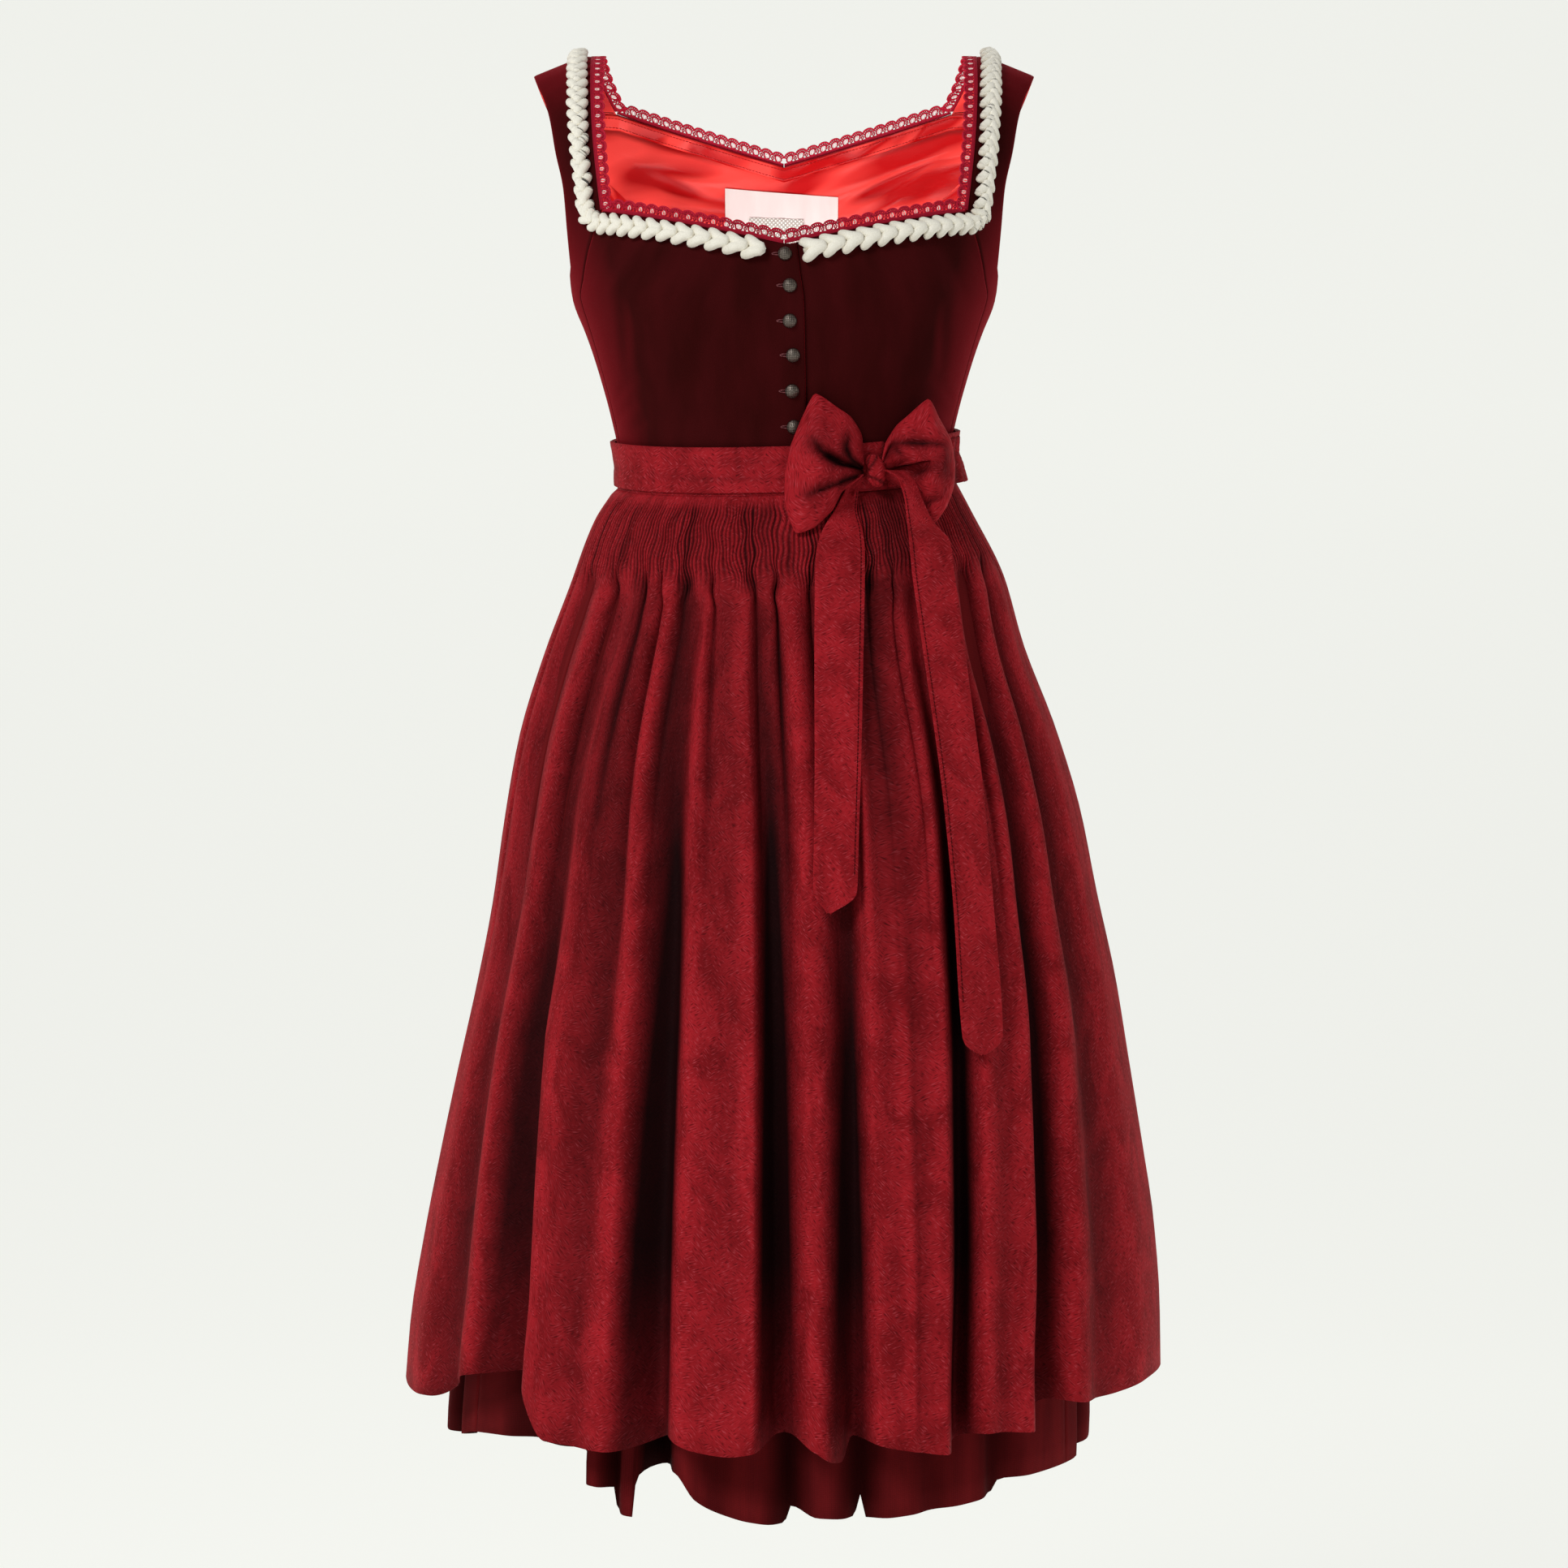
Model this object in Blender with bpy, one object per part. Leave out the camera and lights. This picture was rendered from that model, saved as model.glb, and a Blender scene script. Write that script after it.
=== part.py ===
"""A dirndl: velvet bodice, gathered skirt, smocked apron tied in a bow, braid and lace round the neck.

Metres, Z up, the front faces -Y. The origin is the middle of the shoulder line.
An angle is measured round the body from the front, positive towards the wearer's left.
"""

import math

import bpy
import numpy as np

# Walls and seams
VELVET = 0.0016
LINING = 0.0010
APRON_CLOTH = 0.0011
SKIRT_CLOTH = 0.0012
RIBBON = 0.0012
SEAM = 0.0003

# Waistline and the drops below it
WAIST_MEAN = -0.299
WAIST_DIP = -0.019
WAIST_TILT = 0.004
BODICE_DROP = 0.0107

# Torso sections: height, half width, front depth, back depth, y of the middle
TORSO_POWER = 2.35
TORSO = np.array([
    [0.0000, 0.2120, 0.0004, 0.0004, 0.012],
    [-0.0006, 0.2119, 0.0060, 0.0055, 0.012],
    [-0.0040, 0.2110, 0.0180, 0.0160, 0.012],
    [-0.0120, 0.2090, 0.0340, 0.0300, 0.011],
    [-0.0280, 0.2040, 0.0560, 0.0500, 0.010],
    [-0.0500, 0.1980, 0.0770, 0.0660, 0.009],
    [-0.0800, 0.1890, 0.0960, 0.0790, 0.007],
    [-0.1100, 0.1790, 0.1090, 0.0870, 0.006],
    [-0.1450, 0.1675, 0.1200, 0.0930, 0.005],
    [-0.1750, 0.1580, 0.1250, 0.0940, 0.004],
    [-0.1880, 0.1545, 0.1250, 0.0930, 0.003],
    [-0.2050, 0.1475, 0.1230, 0.0915, 0.002],
    [-0.2200, 0.1420, 0.1190, 0.0900, 0.001],
    [-0.2440, 0.1345, 0.1120, 0.0875, 0.000],
    [-0.2700, 0.1275, 0.1045, 0.0862, 0.000],
    [-0.2950, 0.1225, 0.0995, 0.0860, 0.000],
    [-0.3100, 0.1218, 0.0985, 0.0860, 0.000],
    [-0.3500, 0.1218, 0.0985, 0.0860, 0.000],
])
SHOULDER_FALL = 0.40
SHOULDER_FLAT = 0.150
BUST_FULLNESS = 0.005

# Outermost rings of the apron: drop, half width right of the wearer, left of the wearer, front
APRON = np.array([
    [0.0188, 0.1258, 0.1262, 0.1028],
    [0.0410, 0.1400, 0.1380, 0.1150],
    [0.0900, 0.1590, 0.1630, 0.1380],
    [0.1400, 0.1780, 0.1775, 0.1560],
    [0.2000, 0.1960, 0.2006, 0.1755],
    [0.2600, 0.2066, 0.2188, 0.1910],
    [0.3200, 0.2150, 0.2308, 0.2045],
    [0.3800, 0.2266, 0.2440, 0.2160],
    [0.4400, 0.2400, 0.2538, 0.2270],
    [0.5000, 0.2527, 0.2634, 0.2380],
    [0.5600, 0.2645, 0.2722, 0.2480],
    [0.6200, 0.2743, 0.2763, 0.2580],
    [0.6650, 0.2780, 0.2768, 0.2650],
])

# Outermost rings of the skirt: drop, half width right, half width left, front, back
SKIRT = np.array([
    [0.0110, 0.1218, 0.1218, 0.0985, 0.0860],
    [0.0200, 0.1220, 0.1220, 0.0986, 0.0870],
    [0.0410, 0.1340, 0.1325, 0.1080, 0.0990],
    [0.0900, 0.1555, 0.1580, 0.1270, 0.1260],
    [0.1400, 0.1745, 0.1725, 0.1410, 0.1480],
    [0.2000, 0.1920, 0.1930, 0.1550, 0.1700],
    [0.2600, 0.2035, 0.2050, 0.1680, 0.1880],
    [0.3200, 0.2090, 0.2110, 0.1790, 0.2030],
    [0.4400, 0.2220, 0.2190, 0.1960, 0.2290],
    [0.5600, 0.2370, 0.2240, 0.2130, 0.2520],
    [0.6650, 0.2450, 0.2250, 0.2230, 0.2680],
    [0.7150, 0.2490, 0.2250, 0.2330, 0.2740],
])

# Apron valleys: angle at four drops, depth at the band, halfway and at the hem in millimetres, lean
FOLD_DROPS = np.array([0.085, 0.235, 0.400, 0.615])
DEPTH_DROPS = np.array([0.080, 0.300, 0.665])
APRON_EDGE = 81.0
APRON_FOLDS = np.array([
    [-81.0, -81.0, -81.0, -81.0, 0.0, 0.0, 0.0, 0.0],
    [-68.0, -66.0, -65.0, -62.0, 1.0, 3.0, 5.0, 0.0],
    [-47.0, -51.0, -53.5, -46.7, 6.0, 11.0, 33.0, 0.25],
    [-34.0, -35.0, -34.0, -31.5, 4.0, 10.0, 4.0, 0.0],
    [-22.0, -22.9, -22.0, -20.7, 4.0, 16.0, 32.0, 0.15],
    [-15.0, -10.2, -9.0, -7.5, 5.0, 3.0, 1.0, 0.0],
    [-4.8, -2.9, -1.7, -1.3, 4.0, 17.0, 35.0, 0.0],
    [8.0, 12.0, 11.3, 10.6, 3.0, 10.0, 28.0, 0.0],
    [17.5, 17.0, 17.0, 16.5, 2.0, 2.0, 1.0, 0.0],
    [24.5, 24.0, 21.5, 19.5, 6.0, 4.0, 3.0, 0.0],
    [33.0, 32.3, 30.2, 26.2, 3.0, 14.0, 33.0, 0.20],
    [41.0, 40.0, 38.0, 33.0, 2.0, 3.0, 4.0, 0.0],
    [52.0, 49.7, 46.8, 41.1, 6.0, 13.0, 30.0, 0.20],
    [66.0, 61.0, 59.5, 54.0, 3.0, 9.0, 8.0, 0.0],
    [81.0, 81.0, 81.0, 81.0, 0.0, 0.0, 0.0, 0.0],
])

# Skirt front valleys under the apron, same columns
SKIRT_FRONT_FOLDS = np.array([
    [-62.0, -62.0, -62.0, -62.0, 0.0, 0.0, 0.0, 0.0],
    [-46.0, -46.0, -46.0, -46.0, 1.0, 3.0, 8.0, 0.0],
    [-26.0, -26.0, -26.0, -26.0, 1.0, 9.0, 26.0, 0.0],
    [-10.0, -10.0, -10.0, -10.0, 1.0, 2.0, 4.0, 0.0],
    [1.0, 1.0, 1.0, 1.0, 1.0, 4.0, 10.0, 0.0],
    [13.0, 13.0, 13.0, 13.0, 1.0, 4.0, 11.0, 0.0],
    [27.0, 27.0, 27.0, 27.0, 1.0, 2.0, 5.0, 0.0],
    [39.5, 39.5, 39.5, 39.5, 1.0, 4.0, 10.0, 0.0],
    [62.0, 62.0, 62.0, 62.0, 0.0, 0.0, 0.0, 0.0],
])
SKIRT_SEAMS = (62.0, 118.0, 242.0, 298.0)
SKIRT_SEAM_ANGLE = 0.12
BACK_FOLDS = 12
SIDE_FOLDS = 3
SKIRT_ROWS = (0.0110, 0.0205, 0.050, 0.105, 0.21, 0.36, 0.54, 0.715)
FRONT_STEPS = (0.0, 0.28, 0.72)
GATHER_STEPS = (0.0, 0.24, 0.5, 0.76)

# How far the hems are pulled up round the skirt: angle and rise in millimetres
RISE_FROM = 0.30
APRON_RISE = np.array([
    [-81.0, 1.0], [-78.0, 0.0], [-66.0, 4.0], [-53.5, 31.0], [-42.5, 39.0], [-35.5, 1.0],
    [-25.0, 0.0], [-17.0, 11.0], [-12.5, 5.0], [-7.5, 2.0], [-4.5, 4.0], [1.0, 13.0],
    [4.0, 5.0], [8.5, -6.0], [10.5, 9.0], [16.0, 3.0], [24.5, -4.0], [29.0, 6.0],
    [39.0, 1.0], [43.5, 15.0], [49.0, 11.0], [59.0, 7.0], [66.0, 7.0], [81.0, 2.0],
])
SKIRT_RISE = np.array([
    [-120.0, 0.0], [-90.0, 8.0], [-74.0, 16.0], [-63.0, 29.0], [-48.0, 38.0], [-42.0, 40.0],
    [-36.0, 14.0], [-28.0, 8.0], [-10.0, 8.0], [0.0, 0.0], [42.0, 1.0], [50.0, 6.0], [66.0, 0.0],
])

# Smocked band at the top of the apron
PLEATS = 76
PLEAT_DEPTH = 0.0013
PLEAT_EDGE = 76.5
PLAIN_COLUMNS = 41
BAND_ROWS = (0.0188, 0.0480, 0.0770)
APRON_ROWS = (0.0900, 0.135, 0.195, 0.265, 0.345, 0.430, 0.515, 0.600, 0.665)
FOLD_STEPS = (0.0, 0.12, 0.27, 0.5, 0.73, 0.88)

# Waistband and tie
WAISTBAND_TOP = 0.0155
WAISTBAND_BOTTOM = -0.0185
TIE_TOP = 0.0165
TIE_BOTTOM = -0.0160
LAYER_ONE = 0.0008
LAYER_TWO = 0.0027
BAND_STEP = 8.0
KNOT_ANGLE = 32.0

# Neckline and armhole: height against distance from the middle
NECK_CORNER = -0.131
NECK_MIDDLE = -0.1605
STRAP_INNER = np.array([
    [0.000, 0.142], [-0.050, 0.139], [-0.080, 0.1365], [-0.110, 0.133], [-0.131, 0.130],
])
STRAP_OUTER = np.array([
    [0.000, 0.186], [-0.012, 0.182], [-0.028, 0.1765], [-0.050, 0.171],
    [-0.080, 0.166], [-0.110, 0.160], [-0.140, 0.1575], [-0.165, 0.1555],
])
BACK_INNER = np.array([[0.000, 0.142], [-0.012, 0.138], [-0.024, 0.132], [-0.032, 0.1275]])
BACK_CORNER = -0.032
BACK_MIDDLE = -0.0675

# Seam angles against height: side front seam, front armhole, back armhole, back seam
FRONT_SEAM = np.array([
    [-0.131, 46.0], [-0.147, 52.2], [-0.174, 64.0], [-0.188, 71.0],
    [-0.220, 75.0], [-0.260, 76.5], [-0.286, 77.0], [-0.350, 77.0],
])
ARMHOLE_LOW = np.array([[-0.165, 75.0], [-0.178, 84.0], [-0.1865, 92.3], [-0.350, 92.3]])
BACK_SEAM = np.array([
    [-0.058, 122.0], [-0.068, 129.0], [-0.085, 138.0], [-0.101, 144.0],
    [-0.130, 150.0], [-0.180, 154.0], [-0.250, 156.0], [-0.350, 156.0],
])
SIDE_SEAM = 92.3

# Heights of the rows that neighbouring panels share along a seam
FRONT_SEAM_ROWS = (-0.1312, -0.1475, -0.165, -0.1865, -0.215, -0.250, -0.286)
BACK_STRAP_ROWS = (-0.0318, -0.021, -0.012, -0.005, -0.0012)
BACK_SEAM_ROWS = (-0.0665, -0.083, -0.105, -0.145, -0.170, -0.1865, -0.272)
FRONT_STRAP_ROWS = (
    -0.0003, -0.004, -0.012, -0.026, -0.046, -0.072, -0.100,
    *FRONT_SEAM_ROWS[:3], -0.176, *FRONT_SEAM_ROWS[3:], -0.300,
)
ARMHOLE_TOP = -0.058

# Placket, buttons: height and distance from the middle
PLACKET = np.array([[-0.158, 0.0085], [-0.180, 0.011], [-0.205, 0.0140], [-0.345, 0.0165]])
UNDERLAP = 0.011
BUTTONS = np.array([
    [-0.1685, 0.0006], [-0.1910, 0.0040], [-0.2153, 0.0040],
    [-0.2386, 0.0063], [-0.2630, 0.0057], [-0.2876, 0.0069],
])
BUTTON_RADIUS = 0.0050
BUTTON_HEIGHT = 0.0034

# Lace and braid
LACE_PITCH = 0.0091
LACE_HEIGHT = 0.0096
LACE_THICK = 0.0009
LACE_GAP = 0.0005
BRAID_HALF = 0.0068
BRAID_HEIGHT = 0.0046
BRAID_PITCH = 0.0104
BRAID_INSET = 0.0092
BRAID_END_RIGHT = 0.0150
BRAID_END_LEFT = 0.0125

# Bow loops in millimetres: x and z of the outer edge, x and z of the inner edge, in front of the body
LOOP_RIGHT = np.array([
    [56.0, -314.0, 56.0, -316.6, 6.5, 8.0],
    [54.5, -293.0, 50.0, -314.5, 4.0, 18.0],
    [47.0, -281.0, 44.0, -311.5, 4.0, 24.0],
    [38.0, -275.0, 38.0, -308.0, 4.0, 28.0],
    [22.0, -268.0, 30.0, -302.5, 4.0, 30.0],
    [13.0, -282.0, 24.0, -300.5, 4.0, 30.0],
    [5.0, -302.0, 21.0, -305.0, 4.0, 30.0],
    [1.0, -322.0, 22.0, -311.0, 4.0, 30.0],
    [1.0, -343.0, 26.0, -315.0, 4.0, 29.0],
    [8.0, -364.0, 33.0, -317.5, 4.0, 28.0],
    [21.0, -360.0, 39.0, -319.0, 4.0, 26.0],
    [34.0, -347.0, 45.0, -320.5, 4.0, 23.0],
    [40.0, -334.0, 50.0, -321.5, 4.0, 17.0],
    [56.0, -322.0, 56.0, -319.8, 6.5, 8.0],
])
LOOP_LEFT = np.array([
    [69.7, -311.0, 69.7, -313.8, 6.5, 8.0],
    [72.5, -298.0, 77.0, -309.0, 4.0, 18.0],
    [80.0, -286.0, 84.0, -305.0, 4.0, 24.0],
    [88.0, -279.0, 93.0, -303.0, 4.0, 27.0],
    [102.0, -271.0, 104.0, -302.5, 4.0, 28.0],
    [110.0, -281.0, 109.0, -303.0, 4.0, 28.0],
    [118.0, -296.0, 112.5, -306.0, 5.0, 28.0],
    [121.0, -314.0, 113.0, -312.0, 5.0, 28.0],
    [120.0, -329.0, 111.0, -319.0, 5.0, 27.0],
    [115.0, -343.0, 105.0, -325.0, 5.0, 26.0],
    [106.0, -355.0, 98.0, -327.0, 4.0, 20.0],
    [96.0, -346.0, 90.0, -323.5, 4.0, 12.0],
    [84.0, -330.0, 80.0, -320.0, 4.0, 9.0],
    [69.8, -322.0, 69.8, -319.2, 4.0, 5.6],
])
KNOT = (0.0635, -0.3185)
# Knot rings: height, width and depth as shares of the whole
KNOT_RINGS = (
    (-1.0, 0.60, 0.55), (-0.62, 0.95, 0.92), (0.0, 0.86, 1.0), (0.62, 0.95, 0.92), (1.0, 0.60, 0.55),
)

# Tie tails in millimetres: height, left edge, right edge, in front of the body
TAIL_SHORT = np.array([
    [-330.0, 44.0, 50.0, 1.9], [-346.0, 36.5, 51.5, 1.9], [-362.0, 27.0, 55.5, 2.0],
    [-378.0, 22.5, 56.8, 2.0], [-400.0, 21.5, 56.4, 2.0], [-425.0, 21.2, 55.8, 2.0],
    [-450.0, 21.0, 55.0, 2.0], [-520.0, 21.0, 53.0, 2.2],
    [-612.0, 19.6, 49.6, 2.2], [-617.0, 21.5, 47.5, 2.2], [-627.0, 29.5, 31.0, 2.2],
])
TAIL_LONG = np.array([
    [-318.0, 71.0, 80.0, 18.0], [-325.0, 80.5, 92.0, 28.0], [-340.0, 84.8, 98.0, 27.5],
    [-356.0, 86.5, 106.0, 21.0], [-368.0, 88.0, 118.0, 9.0], [-395.0, 90.5, 121.5, 2.4],
    [-430.0, 95.0, 126.0, 2.2], [-470.0, 100.0, 130.0, 2.2],
    [-545.0, 109.0, 138.5, 2.2], [-620.0, 115.5, 144.0, 2.2],
    [-712.0, 121.0, 149.5, 2.2], [-716.5, 123.0, 147.5, 2.2], [-723.5, 134.0, 136.0, 2.2],
])

# Finishes: colour as linear red, green, blue, and roughness
FINISHES = {
    "velvet": ((0.045, 0.004, 0.007), 0.75),
    "jacquard": ((0.26, 0.014, 0.020), 0.62),
    "skirt_cloth": ((0.10, 0.006, 0.010), 0.70),
    "satin": ((0.70, 0.010, 0.012), 0.30),
    "lace_thread": ((0.42, 0.010, 0.040), 0.70),
    "braid_velour": ((0.80, 0.76, 0.64), 0.85),
    "old_silver": ((0.20, 0.17, 0.15), 0.38),
    "label_satin": ((0.92, 0.72, 0.72), 0.35),
    "label_net": ((0.66, 0.62, 0.56), 0.70),
}


def finish_of(key):
    """The material of this finish, made once."""
    found = bpy.data.materials.get(key)
    if found:
        return found
    colour, roughness = FINISHES[key]
    material = bpy.data.materials.new(key)
    material.use_nodes = True
    shader = material.node_tree.nodes["Principled BSDF"]
    shader.inputs["Base Color"].default_value = (*colour, 1.0)
    shader.inputs["Roughness"].default_value = roughness
    shader.inputs["Metallic"].default_value = 0.9 if key == "old_silver" else 0.0
    return material


def smooth(table, at, column):
    """A monotone curve through one column of a table, read at any places of its first column."""
    order = np.argsort(table[:, 0])
    xs = table[order, 0]
    ys = table[order, column]
    step = np.diff(xs)
    rise = np.diff(ys) / step
    slope = np.zeros(len(xs))
    slope[0] = rise[0]
    slope[-1] = rise[-1]
    same = rise[1:] * rise[:-1] > 0
    slope[1:-1][same] = 2 * rise[1:][same] * rise[:-1][same] / (rise[1:] + rise[:-1])[same]
    at = np.clip(np.asarray(at, float), xs[0], xs[-1])
    k = np.clip(np.searchsorted(xs, at) - 1, 0, len(xs) - 2)
    t = (at - xs[k]) / step[k]
    t2 = t * t
    t3 = t2 * t
    return (
        ys[k] * (2 * t3 - 3 * t2 + 1)
        + slope[k] * step[k] * (t3 - 2 * t2 + t)
        + ys[k + 1] * (3 * t2 - 2 * t3)
        + slope[k + 1] * step[k] * (t3 - t2)
    )


def mix(a, b, t):
    return a + (b - a) * t


def ramp(x, start, end):
    t = np.clip((x - start) / (end - start), 0, 1)
    return t * t * (3 - 2 * t)


def stack(x, y, z):
    return np.stack(np.broadcast_arrays(x, y, z), axis=-1)


def waist_height(angle):
    a = np.radians(angle)
    return WAIST_MEAN + WAIST_DIP * np.cos(a) + WAIST_TILT * np.sin(a)


def torso(angle, height):
    """A point of the bodice's outer side from an angle in degrees and a section height."""
    angle, height = np.broadcast_arrays(np.asarray(angle, float), np.asarray(height, float))
    a = np.radians(angle)
    half, front, back, middle = (smooth(TORSO, height, k) for k in (1, 2, 3, 4))
    power = 2 / TORSO_POWER
    side = np.sign(np.sin(a)) * np.abs(np.sin(a)) ** power
    ahead = np.sign(np.cos(a)) * np.abs(np.cos(a)) ** power
    turn = np.degrees(np.arctan2(np.sin(a), np.cos(a)))
    bust = BUST_FULLNESS * np.exp(-(((np.abs(turn) - 34) / 20) ** 2) - ((height + 0.185) / 0.04) ** 2)
    x = (half + bust) * side
    y = middle - np.where(ahead > 0, front + bust, back) * ahead
    fade = np.clip((height + 0.13) / 0.11, 0, 1)
    fall = SHOULDER_FALL * np.maximum(np.abs(x) - SHOULDER_FLAT, 0) * fade
    return stack(x, y, height - fall)


def torso_out(angle, height):
    """The outward direction of the bodice at a point."""
    above = np.minimum(np.asarray(height, float) + 0.0012, 0)
    below = above - 0.0024
    across = torso(angle + 0.4, height) - torso(angle - 0.4, height)
    out = np.cross(torso(angle, below) - torso(angle, above), across)
    return out / np.linalg.norm(out, axis=-1, keepdims=True)


def angle_at(x, height):
    """The front angle at which a torso section reaches this distance from the middle."""
    share = np.clip(np.abs(x) / smooth(TORSO, height, 1), 0, 1) ** (TORSO_POWER / 2)
    return np.sign(x) * np.degrees(np.arcsin(share))


def ring_power(drop):
    """The roundness of a skirt ring: the bodice's at the waist, an ellipse further down."""
    return mix(TORSO_POWER, 2.0, ramp(drop, 0.02, 0.12))


def ring(table, angle, drop):
    """A point of a skirt ring and its outward direction in plan, at a drop below the waistline."""
    angle, drop = np.broadcast_arrays(np.asarray(angle, float), np.asarray(drop, float))
    a = np.radians(angle)
    half = np.where(np.sin(a) < 0, smooth(table, drop, 1), smooth(table, drop, 2))
    depth = np.where(np.cos(a) > 0, smooth(table, drop, 3), smooth(table, drop, table.shape[1] - 1))
    power = ring_power(drop)
    side = np.sign(np.sin(a)) * np.abs(np.sin(a)) ** (2 / power)
    ahead = np.sign(np.cos(a)) * np.abs(np.cos(a)) ** (2 / power)
    out_x = np.sign(side) * np.abs(side) ** (power - 1) / half
    out_y = -np.sign(ahead) * np.abs(ahead) ** (power - 1) / depth
    out = stack(out_x, out_y, 0 * a)
    out /= np.linalg.norm(out, axis=-1, keepdims=True)
    return stack(half * side, -depth * ahead, waist_height(angle) - drop), out


def fold_field(folds, steps, drop):
    """The angles, depths and side shifts of the columns of a folded wall at one drop."""
    centres = np.array([np.interp(drop, FOLD_DROPS, row[:4]) for row in folds])
    depths = np.array([np.interp(drop, DEPTH_DROPS, row[4:7]) for row in folds]) / 1000
    top = np.clip((drop - 0.012) / 0.07, 0, 1)
    angles = []
    inward = []
    shift = []
    for k in range(len(folds) - 1):
        gap = centres[k + 1] - centres[k]
        for s in steps:
            near = math.cos(math.pi * s) ** 2 if s < 0.5 else 0.0
            far = math.cos(math.pi * s) ** 2 if s > 0.5 else 0.0
            angles.append(centres[k] + gap * s)
            inward.append((depths[k] * near + depths[k + 1] * far) * top)
            shift.append(depths[k] * near * folds[k, 7] + depths[k + 1] * far * folds[k + 1, 7])
    angles.append(centres[-1])
    inward.append(depths[-1] * top)
    shift.append(0.0)
    return np.array(angles), np.array(inward), np.array(shift)


def folded_row(table, folds, steps, rise, drop):
    """One row of a folded wall, pulled up towards its hem."""
    angles, inward, shift = fold_field(folds, steps, drop)
    turned = (angles + 180) % 360 - 180
    lift = smooth(rise, turned, 1) / 1000 * ramp(drop, RISE_FROM, table[-1, 0])
    base, out = ring(table, angles, drop - lift)
    along = np.stack([-out[:, 1], out[:, 0], 0 * out[:, 0]], axis=-1)
    return base - out * inward[:, None] + along * shift[:, None]


def row_normals(row):
    """Outward directions in plan of a row that runs with rising angle."""
    step = np.gradient(row, axis=0)
    out = np.stack([step[:, 1], -step[:, 0], 0 * step[:, 0]], axis=-1)
    return out / np.linalg.norm(out, axis=-1, keepdims=True)


def grid_normals(grid):
    """Outward directions of a grid whose columns run with rising angle and whose rows run down."""
    across = np.gradient(grid, axis=1)
    down = np.gradient(grid, axis=0)
    out = np.cross(down, across)
    return out / np.linalg.norm(out, axis=-1, keepdims=True)


def strip(a, b):
    """Triangles between two rows of point numbers, which may differ in count."""
    faces = []
    i = 0
    j = 0
    along_a, a = a
    along_b, b = b
    while i < len(a) - 1 or j < len(b) - 1:
        if j == len(b) - 1 or (i < len(a) - 1 and along_a[i + 1] <= along_b[j + 1] + 1e-9):
            faces.append((a[i], a[i + 1], b[j]))
            i += 1
        else:
            faces.append((a[i], b[j + 1], b[j]))
            j += 1
    return faces


def measured(points, numbers):
    """A row of point numbers with each one's share of the way along the row."""
    numbers = list(numbers)
    lengths = np.linalg.norm(np.diff(points[numbers], axis=0), axis=1)
    shares = np.concatenate([[0.0], np.cumsum(lengths)])
    return shares / shares[-1], numbers


def add_object(name, points, faces, finish):
    """A mesh object with its faces turned outwards."""
    points = np.asarray(points, float)
    faces = np.asarray(faces, int)
    corners = points[faces]
    volume = np.einsum("ij,ij->i", corners[:, 0], np.cross(corners[:, 1], corners[:, 2])).sum()
    if volume < 0:
        faces = faces[:, ::-1]
    mesh = bpy.data.meshes.new(name)
    mesh.from_pydata(points.tolist(), [], faces.tolist())
    mesh.materials.append(finish_of(finish))
    obj = bpy.data.objects.new(name, mesh)
    bpy.context.collection.objects.link(obj)
    return obj


def add_wall(name, outer, inner, finish):
    """A closed wall from its outer rows and its inner rows. The counts may differ from row to row."""
    rows = [np.asarray(row, float) for row in [*outer, *inner]]
    starts = np.cumsum([0, *[len(row) for row in rows]])
    points = np.concatenate(rows)
    numbers = [list(range(starts[k], starts[k + 1])) for k in range(len(rows))]
    outside = numbers[: len(outer)]
    inside = numbers[len(outer):]

    def joined(a, b):
        return strip(measured(points, a), measured(points, b))

    faces = []
    for upper, lower in zip(outside, outside[1:]):
        faces += joined(upper, lower)
    for upper, lower in zip(inside, inside[1:]):
        faces += [face[::-1] for face in joined(upper, lower)]
    faces += joined(inside[0], outside[0])
    faces += joined(outside[-1], inside[-1])
    faces += joined([row[0] for row in outside], [row[0] for row in inside])
    faces += joined([row[-1] for row in inside], [row[-1] for row in outside])
    return add_object(name, points, faces, finish)


def add_panel(name, grid, thickness, finish, out=0.0, normals=None):
    """A closed wall from a grid: its outer side moved out from the grid, its inner side set in from that."""
    if normals is None:
        normals = grid_normals(grid)
    outer = grid + normals * out
    return add_wall(name, list(outer), list(outer - normals * thickness), finish)


def add_bodice_panel(name, rows, thickness, finish, out=0.0):
    """A panel from rows of torso angles and heights."""
    angle, height = (np.array([np.broadcast_arrays(*row)[k] for row in rows], float) for k in (0, 1))
    add_panel(name, torso(angle, height), thickness, finish, out, torso_out(angle, height))


def bottom_of(angle):
    return waist_height(angle) - BODICE_DROP


def gap_angle(height):
    """Half a seam's gap, as an angle."""
    return np.degrees(SEAM / 2 / smooth(TORSO, height, 1))


def neck_height(x):
    """The height of the front neckline at a distance from the middle, on the panel's own side."""
    return mix(NECK_MIDDLE, NECK_CORNER, np.maximum(x, 0) / 0.130)


def front_seam(height):
    """The angle of the side front seam, straight between the rows that both panels share."""
    rows = np.array([*FRONT_SEAM_ROWS, -0.350])[::-1]
    return np.interp(height, rows, smooth(FRONT_SEAM, rows, 1))


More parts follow.
